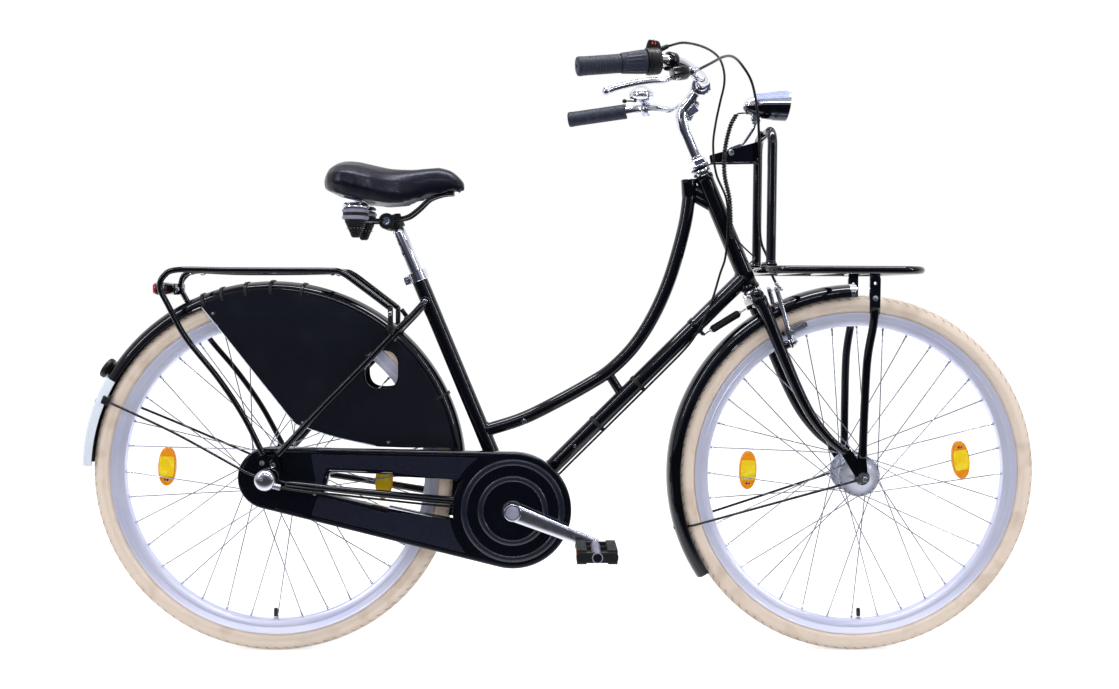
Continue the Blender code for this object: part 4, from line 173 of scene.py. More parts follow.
class Finish:
    """A node-based material."""

    def __init__(self, name, colour, worn, share, rough, metallic=0.0, **more):
        """colour turns into worn where a noise of scale share[0] passes share[1]."""
        self.material = bpy.data.materials.new(name)
        self.material.use_nodes = True
        self.tree = self.material.node_tree
        self.shader = self.tree.nodes["Principled BSDF"]
        self.place = node(self.tree, "ShaderNodeTexCoord").outputs["Object"]
        self.put("Metallic", metallic)
        for key, value in more.items():
            self.put(key.replace("_", " "), value)
        spread = self.noise(share[0], 1.0).ramp(share[1], share[1] + 0.25)
        self.colour = self.mix(spread, srgb(colour), srgb(worn))
        self.put("Base Color", self.colour)
        self.put("Roughness", self.noise(share[0] * 3.1, 1.0).ramp(0.3, 0.7, rough[0], rough[1]))

    def put(self, key, value):
        """Set or link an input of the shader."""
        fill(self.tree, self.shader.inputs[key], value)

    def mix(self, share, first, second):
        """Colour between two, by a share."""
        inputs = {0: share, 6: first, 7: second}
        made = node(self.tree, "ShaderNodeMix", inputs, data_type="RGBA")
        return made.outputs[2]

    def stretched(self, scale):
        """Object coordinates times a scale for each axis."""
        return node(self.tree, "ShaderNodeMapping", {"Vector": self.place, "Scale": scale}).outputs[0]

    def noise(self, scale, detail=3.0, place=None):
        """Soft noise with so many waves to a metre."""
        inputs = {"Vector": place or self.place, "Scale": scale, "Detail": detail}
        return Value(self.tree, node(self.tree, "ShaderNodeTexNoise", inputs).outputs["Fac"])

    def cells(self, scale):
        """Rounded cells with so many to a metre."""
        inputs = {"Vector": self.place, "Scale": scale}
        made = node(self.tree, "ShaderNodeTexVoronoi", inputs, feature="SMOOTH_F1")
        return Value(self.tree, made.outputs["Distance"])

    def axes(self, centre=(0.0, 0.0, 0.0)):
        """Object coordinates from a centre, as three numbers."""
        parts = node(self.tree, "ShaderNodeSeparateXYZ", {0: self.place}).outputs
        return [Value(self.tree, parts[i]) - centre[i] for i in range(3)]

    def paint(self, code, share):
        """Lay another colour over part of the surface."""
        self.colour = self.mix(share, self.colour, srgb(code))
        self.put("Base Color", self.colour)

    def bump(self, height, depth):
        """Raise the surface where a height says, by up to a depth."""
        inputs = {"Height": height, "Distance": depth, "Strength": 1.0}
        self.put("Normal", node(self.tree, "ShaderNodeBump", inputs).outputs[0])


def metal(name, colour, worn, rough, scale=60.0, waves=160.0, depth=0.000004):
    """Bare or plated metal; polishing marks are too fine to show, so its waves are wider."""
    made = Finish(name, colour, worn, (scale, 0.48), rough, 1.0)
    made.bump(made.noise(waves, 0.0), depth)
    return made


def lacquer(name, colour, worn, rough, coat=0.7, depth=0.000002, **more):
    """Gloss paint with a fine orange peel under a clear coat."""
    made = Finish(name, colour, worn, (14.0, 0.52), rough, Coat_Weight=coat, Coat_Roughness=0.03, **more)
    made.bump(made.noise(260.0, 0.0), depth)
    return made


def rubber(name, colour, worn, rough, grain=1400.0, depth=0.00006):
    """Rubber or resin with a fine moulded grain."""
    made = Finish(name, colour, worn, (90.0, 0.5), rough, Specular_IOR_Level=0.35)
    made.bump(made.noise(grain, 2.0), depth)
    return made


# Black gloss enamel on the steel tubes, with fine dust in the low gloss patches
enamel = lacquer("black_gloss_enamel", "#05060B", "#080910", (0.03, 0.07), 0.6,
                 Specular_IOR_Level=0.25, Specular_Tint=srgb("#D3D8F6"))
# Deeper gloss lacquer of the chain case
panel = lacquer("black_panel_lacquer", "#060811", "#090C16", (0.03, 0.07), 0.5,
                Specular_IOR_Level=0.25, Specular_Tint=srgb("#BEC6F0"))
# Softer lacquer of the coat guards, painted a lighter charcoal as a painted reflection of the room that
# they catch
guard_lacquer_painted_sheen = lacquer("guard_lacquer_painted_room_sheen", "#14161F", "#181A24", (0.1, 0.16), 0.4,
                        Specular_IOR_Level=0.25)
# Satin navy in the panels and rings of the chain case
satin = lacquer("navy_satin_lacquer", "#141729", "#15192B", (0.27, 0.29), 0.2, 0.000001)
# Pale blue-white lacquer of the rear mudguard's tail, the coat guards' trim and a few small parts
pale = lacquer("pale_blue_lacquer", "#DDE5F4", "#C6D0E4", (0.12, 0.24))
# Bright chrome plate with faint haze
chrome = metal("chrome_plate", "#E9EBF4", "#DCDFEB", (0.03, 0.07), 20.0)
# Soft bright aluminium, polished by hand
alloy = metal("polished_aluminium", "#D8DBE8", "#CBCFDE", (0.18, 0.23), 20.0)
# Cast metal of the hub cap's cable guide and the brake pads' holders
cast = metal("cast_aluminium", "#9CA0B2", "#82869A", (0.32, 0.48), 70.0, 240.0, 0.00002)
# Drawn stainless steel of hooks, pins, valves and other small fittings
wire = metal("stainless_wire", "#C9CDDC", "#B0B5C6", (0.16, 0.28), 120.0)
# Spokes, greyer with road film
spoke_wire = metal("stainless_spokes", "#8E92A2", "#A3A7B5", (0.2, 0.34), 90.0)
# Zinc plated nuts and washers
zinc = metal("zinc_plated_steel", "#B9BDC9", "#8F93A0", (0.26, 0.42), 160.0, 240.0, 0.00002)
# Painted shade: a dark steel colour laid in holes, slits and grooves, which is also the blackened steel of
# the pedals' end caps
shade_and_dark_steel = metal("blackened_steel_and_painted_shade", "#3A3D48", "#24262E", (0.28, 0.44), 160.0, 240.0, 0.00004)
# Slate coloured grip rubber
grip = rubber("slate_grip_rubber", "#252A3C", "#2D3246", (0.46, 0.62))
# Black rubber of sleeves, cones and pads
black_rubber = rubber("black_rubber", "#121318", "#1B1C23", (0.5, 0.68))
# Extruded cable casing, smoother than moulded rubber
casing = rubber("cable_casing", "#0E0F14", "#16181F", (0.26, 0.4), 900.0, 0.00002)
# Grained nylon of housings, clips, caps and straps
plastic = rubber("black_grained_nylon", "#15161B", "#1D1F26", (0.34, 0.5), 1900.0, 0.00005)
# Gloss black paint on the brake lever's bracket
perch_lacquer = lacquer("black_bracket_lacquer", "#06070B", "#090A10", (0.1, 0.18), 0.3, 0.000004,
                        Specular_IOR_Level=0.2)
# Grey resin of the pedals' barrels, the cranks' dust caps and the saddle's rings
lilac = rubber("lilac_grey_resin", "#8C8DA4", "#77788F", (0.4, 0.58), 800.0, 0.00004)
# Orange marking lines of the gear indicator
orange = rubber("orange_marking", "#D9502A", "#C4431F", (0.3, 0.45))

# Red moulded lens with a fine prism pattern
red = Finish("red_prism_lens", "#C4202C", "#A01420", (60.0, 0.5), (0.06, 0.14),
             Transmission_Weight=0.25, Coat_Weight=0.6)
red.bump(red.cells(520.0), 0.0004)
# Smoke tinted resin of the rear lamp's shell and the gear indicator's pane
smoke = Finish("smoky_resin", "#1D0F14", "#2B151B", (50.0, 0.5), (0.1, 0.2), Coat_Weight=0.5)
smoke.bump(smoke.noise(500.0), 0.00002)
# Amber reflector edge, and its prism field in a paler yellow that is a painted glow of the light its prisms
# send back
amber = Finish("amber_resin", "#F2950F", "#DE7F08", (70.0, 0.5), (0.14, 0.24), Coat_Weight=0.6)
amber.bump(amber.noise(600.0), 0.00003)
prism_amber_painted_glow = Finish("amber_prisms_painted_glow", "#FFD018", "#FFE43C", (60.0, 0.45), (0.1, 0.2),
                     Coat_Weight=0.5, Subsurface_Weight=0.2, Subsurface_Scale=0.004)
prism_amber_painted_glow.bump(prism_amber_painted_glow.cells(430.0), 0.0005)
# Clear lamp glass with moulded flutes
glass = Finish("fluted_glass", "#F4F7FC", "#E6ECF6", (60.0, 0.5), (0.03, 0.07), Transmission_Weight=0.85)
glass.bump(glass.noise(1.0, 0.0, glass.stretched((0.0, 260.0, 0.0))), 0.0006)
# Glossy vinyl with a leather grain
vinyl = Finish("black_saddle_vinyl", "#0C0D17", "#11121E", (40.0, 0.5), (0.3, 0.38), Specular_IOR_Level=0.3,
               Coat_Weight=0.1, Coat_Roughness=0.16, Specular_Tint=srgb("#C4C8EC"))
vinyl.bump(vinyl.cells(900.0) + vinyl.noise(320.0) * 0.5, 0.000015)
# Lilac tinted visor of the headlamp
visor_resin = Finish("pale_visor_resin", "#A3AED6", "#AEB8DC", (20.0, 0.5), (0.34, 0.42),
                     Specular_IOR_Level=0.2)
visor_resin.bump(visor_resin.noise(420.0), 0.000004)
# Darker chrome on the headlamp's belly, painted shade for the dim room that the lower half of the chrome
# reflects
belly_shade_chrome = metal("chrome_with_painted_belly_shade", "#4A4C58", "#5C5E6C", (0.08, 0.16))


def tyre_rubber(name, centre):
    """Cream rubber with moulded slits on its shoulders, painted darker as shade in the slits, and fine
    lines on its sides.
    """
    made = Finish(name, "#E6D6C8", "#D8C6B6", (26.0, 0.5), (0.58, 0.74), Specular_IOR_Level=0.3)
    x, y, z = made.axes(centre)
    turn = z.math("ARCTAN2", x) * (112 / math.tau)
    side = y.math("ABSOLUTE")
    radius = (x * x + z * z).math("SQRT")
    slit = (turn + side * 85.0).math("FRACT").band(0.5, 0.085, 0.03)
    slits = slit * side.band(0.0142, 0.003, 0.0006) * radius.ramp(0.3395, 0.3405)
    lines = (radius * 620.0).math("FRACT").band(0.5, 0.1, 0.1) * radius.band(0.331, 0.0035, 0.001)
    grime = made.noise(9.0).ramp(0.45, 0.75) * radius.ramp(0.347, 0.355) * 0.3
    made.paint("#B9A795", grime)
    # Painted shade in the moulded slits
    made.paint("#8E8073", slits * 0.65)
    made.bump(slits * -1.0 - lines * 0.3 + made.noise(1500.0) * 0.08, 0.0009)
    return made


def turned_metal(name, centre, colour, worn, rough):
    """Satin aluminium with the fine rings that a lathe leaves about an axis along Y."""
    made = Finish(name, colour, worn, (6.0, 0.5), rough, 0.45)
    x, y, z = made.axes(centre)
    rings = (x * x + z * z).math("SQRT")
    place = node(made.tree, "ShaderNodeCombineXYZ", {0: rings * 420.0, 1: y * 220.0}).outputs[0]
    made.bump(made.noise(1.0, 1.0, place), 0.000012)
    return made


def spiral_casing(name, across, along):
    """Black wrap wound about a run of cables, with grey painted on its ridges as a highlight."""
    made = rubber(name, "#17181F", "#23252E", (0.3, 0.42))
    x, y, z = made.axes()
    wound = (z * along + (x + y) * across).math("SINE")
    # Painted highlight: grey along the ridges of the winding
    made.paint("#5A5D6C", wound.ramp(0.35, 0.85) * 0.8)
    made.bump(wound, 0.0004)
    return made


# Shapes

def added(name, data):
    """Object in the scene that holds some data."""
    made = bpy.data.objects.new(name, data)
    bpy.context.scene.collection.objects.link(made)
    return made


def evaluated(obj):
    """Plain mesh of what an object's curve or modifiers make."""
    bpy.context.view_layer.update()
    return bpy.data.meshes.new_from_object(obj.evaluated_get(bpy.context.evaluated_depsgraph_get()))


def finished(bm):
    """Mesh with doubled corners merged and its faces turned outwards."""
    bmesh.ops.remove_doubles(bm, verts=bm.verts, dist=1e-6)
    bmesh.ops.recalc_face_normals(bm, faces=bm.faces)
    mesh = bpy.data.meshes.new("shape")
    bm.to_mesh(mesh)
    bm.free()
    return mesh


def z_along(direction):
    """Rotation that puts the local Z axis along a direction."""
    return Vector(direction).to_track_quat("Z", "X").to_matrix().to_4x4()


def turned_to(origin, direction):
    """Matrix that moves to a place and puts the local Z axis along a direction."""
    return Matrix.Translation(Vector(origin)) @ z_along(direction)


def tilt(degrees):
    """Rotation about the Y axis."""
    return Matrix.Rotation(math.radians(degrees), 4, "Y")


def squared(value, power):
    """Sine or cosine bent towards a square's, for a rounded rectangle instead of a circle."""
    return math.copysign(abs(value) ** power, value)


def join_rows(bm, rows, closed):
    """Faces between neighbouring rows of corners; corners that meet in a point count once."""
    pairs = list(zip(rows, rows[1:])) + ([(rows[-1], rows[0])] if closed else [])
    for near, far in pairs:
        for k in range(len(near)):
            n = (k + 1) % len(near)
            corners = list(dict.fromkeys((near[k], near[n], far[n], far[k])))
            if len(corners) > 2:
                bm.faces.new(corners)


def skin(rings, closed=False, caps=True):
    """Faces between rings of equally many points."""
    bm = bmesh.new()
    rows = [[bm.verts.new(p) for p in ring] for ring in rings]
    join_rows(bm, rows, closed)
    if caps and not closed:
        bm.faces.new(rows[0])
        bm.faces.new(rows[-1])
    return finished(bm)


def tube(points, radius, sides, radii=None, closed=False, flat=1.0, flat_axis=None, dome=True):
    """Tube along points; flat narrows it across flat_axis."""
    pts = [Vector(p) for p in points]
    count = len(pts)
    radii = list(radii) if radii else [radius] * count
    ways = []
    for i in range(count):
        back = pts[i - 1] if i or closed else pts[0]
        ahead = pts[(i + 1) % count] if i < count - 1 or closed else pts[-1]
        ways.append((ahead - back).normalized())
    across = (flat_axis or ways[0].orthogonal()).normalized()
    rings = []
    for point, way, r in zip(pts, ways, radii):
        across = (across - way * across.dot(way)).normalized()
        rise = way.cross(across)
        rings.append([point + across * (math.cos(a) * r * flat) + rise * (math.sin(a) * r)
                      for a in [math.tau * k / sides for k in range(sides)]])
    if dome and not closed:
        first, last = rings[0], rings[-1]
        for share, push in ((0.86, 0.26), (0.45, 0.42)):
            rings.insert(0, [pts[0] + (p - pts[0]) * share - ways[0] * (radii[0] * push) for p in first])
            rings.append([pts[-1] + (p - pts[-1]) * share + ways[-1] * (radii[-1] * push) for p in last])
    return skin(rings, closed)


def rod(start, end, radius, sides, bevel=0.0006):
    """Straight bar with rounded rims."""
    start, end = Vector(start), Vector(end)
    length = (end - start).length
    bevel = min(bevel, radius * 0.5, length * 0.3)
    rim = [(0.0, 0.0), (radius - bevel, 0.0), (radius - bevel * 0.3, bevel * 0.3), (radius, bevel)]
    return lathe(rim + [(r, length - h) for r, h in rim[::-1]], start, end - start, sides)


def lathe(profile, origin, direction, sides, closed=False):
    """Turn a line of (radius, height) points about an axis."""
    bm = bmesh.new()
    turns = [math.tau * k / sides for k in range(sides)]
    rows = []
    for radius, height in profile:
        if radius < 1e-7:
            rows.append([bm.verts.new((0.0, 0.0, height))] * sides)
        else:
            rows.append([bm.verts.new((radius * math.cos(a), radius * math.sin(a), height)) for a in turns])
    join_rows(bm, rows, closed)
    bm.transform(turned_to(origin, direction))
    return finished(bm)


def levelled(mesh, matrix):
    """Put a mesh in place, with the faces that lie square to its own axes marked to stay flat."""
    marks = mesh.attributes.new("level", "BOOLEAN", "FACE")
    for face, mark in zip(mesh.polygons, marks.data):
        mark.value = max(abs(part) for part in face.normal) > 0.9999
    mesh.transform(matrix)
    return mesh


def plate(outline, y0, y1, rim, holes=()):
    """Plate of (x, z) outlines between two lateral places, with rounded rims."""
    data = bpy.data.curves.new("plate", "CURVE")
    data.dimensions = "2D"
    data.fill_mode = "BOTH"
    data.extrude = abs(y1 - y0) / 2 - rim
    data.bevel_depth = rim
    data.bevel_resolution = 1
    data.offset = -rim
    for loop in (outline,) + tuple(holes):
        spline = data.splines.new("POLY")
        spline.points.add(len(loop) - 1)
        for point, (px, pz) in zip(spline.points, loop):
            point.co = (px, pz, 0.0, 1.0)
        spline.use_cyclic_u = True
    guide = added("plate", data)
    bm = bmesh.new()
    bm.from_mesh(evaluated(guide))
    bpy.data.objects.remove(guide)
    bpy.data.curves.remove(data)
    return levelled(finished(bm), Matrix.Translation((0.0, (y0 + y1) / 2, 0.0))
                    @ Matrix.Rotation(math.pi / 2, 4, "X"))


def block(centre, size, turn=None, bevel=0.0008, segments=2):
    """Box with rounded edges."""
    bm = bmesh.new()
    bmesh.ops.create_cube(bm, size=1.0, matrix=Matrix.Diagonal((*size, 1.0)))
    bevel = min(bevel, min(size) * 0.45)
    bmesh.ops.bevel(bm, geom=bm.edges[:], offset=bevel, segments=segments, profile=0.5, affect="EDGES")
    return levelled(finished(bm), Matrix.Translation(Vector(centre)) @ (turn or Matrix.Identity(4)))


def ball(centre, radius, squeeze, segments=24):
    """Sphere, or one that is squeezed along the axes."""
    bm = bmesh.new()
    bmesh.ops.create_uvsphere(bm, u_segments=segments, v_segments=segments // 2, radius=radius,
                              matrix=Matrix.Translation(Vector(centre)) @ Matrix.Diagonal((*squeeze, 1)))
    return finished(bm)


def hex_head(base, direction, radius, height):
    """Bolt head or nut with a chamfered top and a washer."""
    washer = lathe([(0.0, 0.0), (radius * 1.28, 0.0), (radius * 1.28, height * 0.16),
                    (0.0, height * 0.16)], base, direction, 32)
    profile = [(0.0, height * 0.16), (radius, height * 0.16), (radius, height * 0.86),
               (radius * 0.86, height), (0.0, height)]
    return [washer, lathe(profile, base, direction, 6)]


def allen(base, direction, radius, height):
    """Round bolt head with a socket."""
    profile = [(0.0, height * 0.45), (radius * 0.48, height * 0.45), (radius * 0.52, height),
               (radius * 0.82, height), (radius, height * 0.8), (radius, 0.0), (0.0, 0.0)]
    return lathe(profile, base, direction, 28)


def spline_point(p, t):
    """Catmull-Rom point between p[1] and p[2]."""
    return 0.5 * ((2 * p[1]) + (p[2] - p[0]) * t + (2 * p[0] - 5 * p[1] + 4 * p[2] - p[3]) * t * t
                  + (3 * p[1] - p[0] - 3 * p[2] + p[3]) * t ** 3)


def route(points, count):
    """Evenly spaced points on a smooth curve through the given points."""
    pts = [Vector(p) for p in points]
    pts = [pts[0] * 2 - pts[1]] + pts + [pts[-1] * 2 - pts[-2]]
    fine = []
    for i in range(1, len(pts) - 2):
        for step in range(20):
            fine.append(spline_point(pts[i - 1:i + 3], step / 20))
    fine.append(pts[-2])
    lengths = [0.0]
    for a, b in zip(fine, fine[1:]):
        lengths.append(lengths[-1] + (b - a).length)
    made, j = [], 0
    for k in range(count):
        target = lengths[-1] * k / (count - 1)
        while j < len(lengths) - 2 and lengths[j + 1] < target:
            j += 1
        share = (target - lengths[j]) / max(lengths[j + 1] - lengths[j], 1e-12)
        made.append(fine[j].lerp(fine[j + 1], min(share, 1.0)))
    return made


def arc(cx, cz, radius, start, end, steps):
    """Points of an arc between two angles in degrees."""
    points = []
    for k in range(steps + 1):
        a = math.radians(start + (end - start) * k / steps)
        points.append((cx + radius * math.cos(a), cz + radius * math.sin(a)))
    return points


def tangents(c0, r0, c1, r1, steps0, steps1):
    """Outline of two circles and their outer tangents."""
    dx, dz = c1[0] - c0[0], c1[1] - c0[1]
    slope = math.degrees(math.atan2(dz, dx))
    lean = math.degrees(math.acos((r0 - r1) / math.hypot(dx, dz)))
    return (arc(*c0, r0, slope + lean, slope + 360 - lean, steps0)
            + arc(*c1, r1, slope - lean, slope + lean, steps1))


def rounded(points, radius, steps):
    """Round the corners of a closed outline."""
    out = []
    for i in range(len(points)):
        here = Vector(points[i])
        back = Vector(points[i - 1]) - here
        ahead = Vector(points[(i + 1) % len(points)]) - here
        cut = min(radius, back.length * 0.45, ahead.length * 0.45)
        a, b = here + back.normalized() * cut, here + ahead.normalized() * cut
        for k in range(steps + 1):
            t = k / steps
            point = a * (1 - t) ** 2 + here * 2 * t * (1 - t) + b * t * t
            out.append((point.x, point.y))
    return out


def weld(start, along, radius, axis_point, axis_way, axis_radius, bead):
    """Bead of weld where a tube from start meets a round tube."""
    along = Vector(along).normalized()
    across = along.orthogonal().normalized()
    rise = along.cross(across)
    axis_way = axis_way.normalized()
    points = []
    for k in range(48):
        a = math.tau * k / 48
        edge = Vector(start) + (across * math.cos(a) + rise * math.sin(a)) * radius
        u = (edge - axis_point) - axis_way * (edge - axis_point).dot(axis_way)
        v = along - axis_way * along.dot(axis_way)
        inside = u.dot(v) ** 2 - v.dot(v) * (u.dot(u) - axis_radius ** 2)
        step = (-u.dot(v) - math.sqrt(max(inside, 0.0))) / v.dot(v)
        points.append(edge + along * step)
    return tube(points, bead, 8, closed=True)


# Pieces

def piece(name, parts, body, replaces=(), smooth=38.0, bends=None):
    """Object from (shape or shapes, finish) pairs that rides on a CAD body, or stays fixed in place when
    bends are given.
    """
    objects = []
    for shapes, finish in parts:
        for mesh in shapes if isinstance(shapes, (list, tuple)) else [shapes]:
            mesh.materials.clear()
            mesh.materials.append(finish.material)
            objects.append(added(name, mesh))
    whole = objects[0]
    if len(objects) > 1:
        with bpy.context.temp_override(active_object=whole, object=whole, selected_objects=objects,
                                       selected_editable_objects=objects):
            bpy.ops.object.join()
    whole.name = name
    whole.data.name = name
    whole.data.transform(Matrix.Translation((REAR_X, 0.0, 0.0)))
    whole.data.shade_smooth()
    whole.data.set_sharp_from_angle(angle=math.radians(smooth))
    marks = whole.data.attributes.get("level")
    if marks:
        rounded_faces = [not mark.value for mark in marks.data]
        whole.data.polygons.foreach_set("use_smooth", rounded_faces)
        whole.data.attributes.remove(whole.data.attributes["level"])
    if bends:
        shift = Vector((REAR_X, 0.0, 0.0))
        bends[0] + shift
        bends[1] + shift
        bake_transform(whole)
    else:
        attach(whole, body)
    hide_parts(*replaces)


def copies_tree():
    """Geometry Nodes group that sets copies of a shape around an axis along Y."""
    tree = bpy.data.node_groups.new("copies_around", "GeometryNodeTree")
    face = tree.interface
    face.new_socket("Geometry", in_out="INPUT", socket_type="NodeSocketGeometry")
    face.new_socket("Copies", in_out="INPUT", socket_type="NodeSocketInt").default_value = 9
    face.new_socket("Step Angle", in_out="INPUT", socket_type="NodeSocketFloat").default_value = 0.7
    face.new_socket("Finish", in_out="INPUT", socket_type="NodeSocketMaterial")
    face.new_socket("Geometry", in_out="OUTPUT", socket_type="NodeSocketGeometry")
    given = node(tree, "NodeGroupInput")
    zero = (0.0, 0.0, 0.0)
    line = node(tree, "GeometryNodeMeshLine", {"Count": given.outputs["Copies"], "Offset": zero})
    index = Value(tree, node(tree, "GeometryNodeInputIndex").outputs[0])
    angle = index * Value(tree, given.outputs["Step Angle"])
    turn = node(tree, "ShaderNodeCombineXYZ", {"Y": angle}).outputs[0]
    placed = node(tree, "GeometryNodeInstanceOnPoints",
                  {"Points": line.outputs[0], "Instance": given.outputs["Geometry"],
                   "Rotation": turn})
    real = node(tree, "GeometryNodeRealizeInstances", {0: placed.outputs[0]})
    named = node(tree, "GeometryNodeSetMaterial",
                 {"Geometry": real.outputs[0], "Material": given.outputs["Finish"]})
    node(tree, "NodeGroupOutput", {0: named.outputs[0]})
    return tree


COPIES = copies_tree()


def copies(meshes, count, matrix, finish, step=None):
    """Copies of shapes about the local Y axis, put in place by a matrix."""
    bm = bmesh.new()
    for mesh in meshes:
        bm.from_mesh(mesh)
    guide = added("copies", finished(bm))
    modifier = guide.modifiers.new("copies", "NODES")
    modifier.node_group = COPIES
    values = {"Copies": count, "Step Angle": step or math.tau / count, "Finish": finish.material}
    for item in COPIES.interface.items_tree:
        if item.in_out == "INPUT" and item.name in values:
            modifier[item.identifier] = values[item.name]
    made = evaluated(guide)
    bpy.data.objects.remove(guide)
    made.transform(matrix)
    return made


# Wheels

def spoke_group(flange_r, flange_y):
    """Four spokes with heads, elbows and nipples, about the wheel's centre."""
    wires, nipples = [], []
    for hole in range(4):
        side = SIDES[hole % 2]
        trail = 1 if hole < 2 else -1
        rim_deg = hole * 10.0
        at = wheel_point(ORIGIN, flange_r - 0.0035, rim_deg - trail * 60.0, side * flange_y)
        end = wheel_point(ORIGIN, 0.2915, rim_deg, side * 0.003)
        along = (end - at).normalized()
        face = Y * side * trail
        path = [at - face * 0.004, at - face * 0.0028, at - face * 0.0018, at + face * 0.0014,
                at + face * 0.0028 + along * 0.0008, at + face * 0.0034 + along * 0.0042]
        path += [path[-1].lerp(end, share) for share in (0.12, 0.5, 0.98)]
        radii = [0.0011, 0.0021, 0.0012] + [0.00105] * 6
        wires.append(tube(path, 0.00105, 8, radii))
        way = (end - path[-3]).normalized()
        nipples.append(lathe([(0.0, -0.0135), (0.0014, -0.0132), (0.0018, -0.012), (0.0018, -0.0035),
                              (0.0026, -0.0025), (0.0026, 0.0015), (0.0, 0.002)], end, way, 10))
    return wires, nipples


def swollen(a):
    """Share by which a tyre's or reflector's outline stands out between its axes."""
    return 1.0 + 0.035 * math.sin(2 * a) ** 2


def tyre_section():
    """Closed (radius, y) outline of a tyre, from one bead over the tread to the other."""
    bead = [(0.3156, 0.0086), (0.32, 0.01), (0.3228, 0.0114)]
    points = [(r, -y) for r, y in bead]
    for k in range(33):
        a = math.radians(-124 + 248 * k / 32)
        points.append((0.3362 + 0.0186 * math.cos(a) * swollen(a), 0.0202 * math.sin(a) * swollen(a)))
    return points + bead[::-1]


def rim_section():
    """Closed (radius, y) outline of a rim with its well, hooks and side walls."""
    half = [(0.3118, 0.004), (0.3128, 0.0092), (0.315, 0.0105), (0.32, 0.0108),
            (0.3214, 0.012), (0.321, 0.0133), (0.319, 0.0134), (0.3182, 0.0129),
            (0.309, 0.0127), (0.3082, 0.0133), (0.307, 0.0132), (0.3035, 0.0118),
            (0.2985, 0.01), (0.2952, 0.0078), (0.2939, 0.0045), (0.2936, 0.0015)]
    return half + [(r, -y) for r, y in half[::-1]]


def egg(inset=0.0):
    """Outline of a spoke reflector, 77 mm long and 35 mm wide."""
    points = []
    for k in range(44):
        a = math.radians(-90 + 360 * k / 44)
        points.append(((0.035 / 2 - inset) * math.cos(a) * swollen(a),
                       (0.077 / 2 - inset) * math.sin(a) * swollen(a)))
    return points


def reflector(centre, degrees):
    """Oval reflector with its prism fields, a clip and its screw."""
    place = Matrix.Translation(wheel_point(centre, 0.214, degrees)) @ tilt(-degrees)
    edge = plate(egg(), -0.0046, 0.0046, 0.0018)
    middle = [(x, z) for x, z in egg(0.0026) if abs(z) < 0.0215]
    fields, corners = [], []
    for side in SIDES:
        fields.append(plate(middle, 0.0043 * side, 0.0054 * side, 0.0004))
        for up in (1, -1):
            end = [(x, z) for x, z in egg(0.0034) if z * up > 0.0232]
            corners.append(plate(end, 0.0043 * side, 0.0051 * side, 0.0003))
    clip = block((0.0, 0.0, 0.0262), (0.009, 0.0112, 0.0044), None, 0.0012)
    screw = allen((0.0, -0.0056, 0.0262), (0, -1, 0), 0.0021, 0.0009)
    for mesh in [edge, clip, screw] + fields + corners:
        mesh.transform(place)
    return [edge] + corners, fields, [clip], screw


def hub_half(flange_r, flange_y, barrel_r, end, end_r):
    """Outline of half a hub as (radius, distance from the middle), from its end inwards."""
    return [(0.0056, end), (end_r * 0.72, end + 0.0002), (end_r, end - 0.0016), (end_r, end - 0.0052),
            (end_r + 0.003, end - 0.0068), (barrel_r * 0.76, flange_y + 0.006),
            (flange_r - 0.0085, flange_y + 0.0019), (flange_r - 0.0012, flange_y + 0.0017),
            (flange_r, flange_y + 0.0006), (flange_r, flange_y - 0.0006),
            (flange_r - 0.0012, flange_y - 0.0017), (barrel_r + 0.003, flange_y - 0.0019),
            (barrel_r, flange_y - 0.005), (barrel_r, 0.006), (barrel_r + 0.0008, 0.005)]


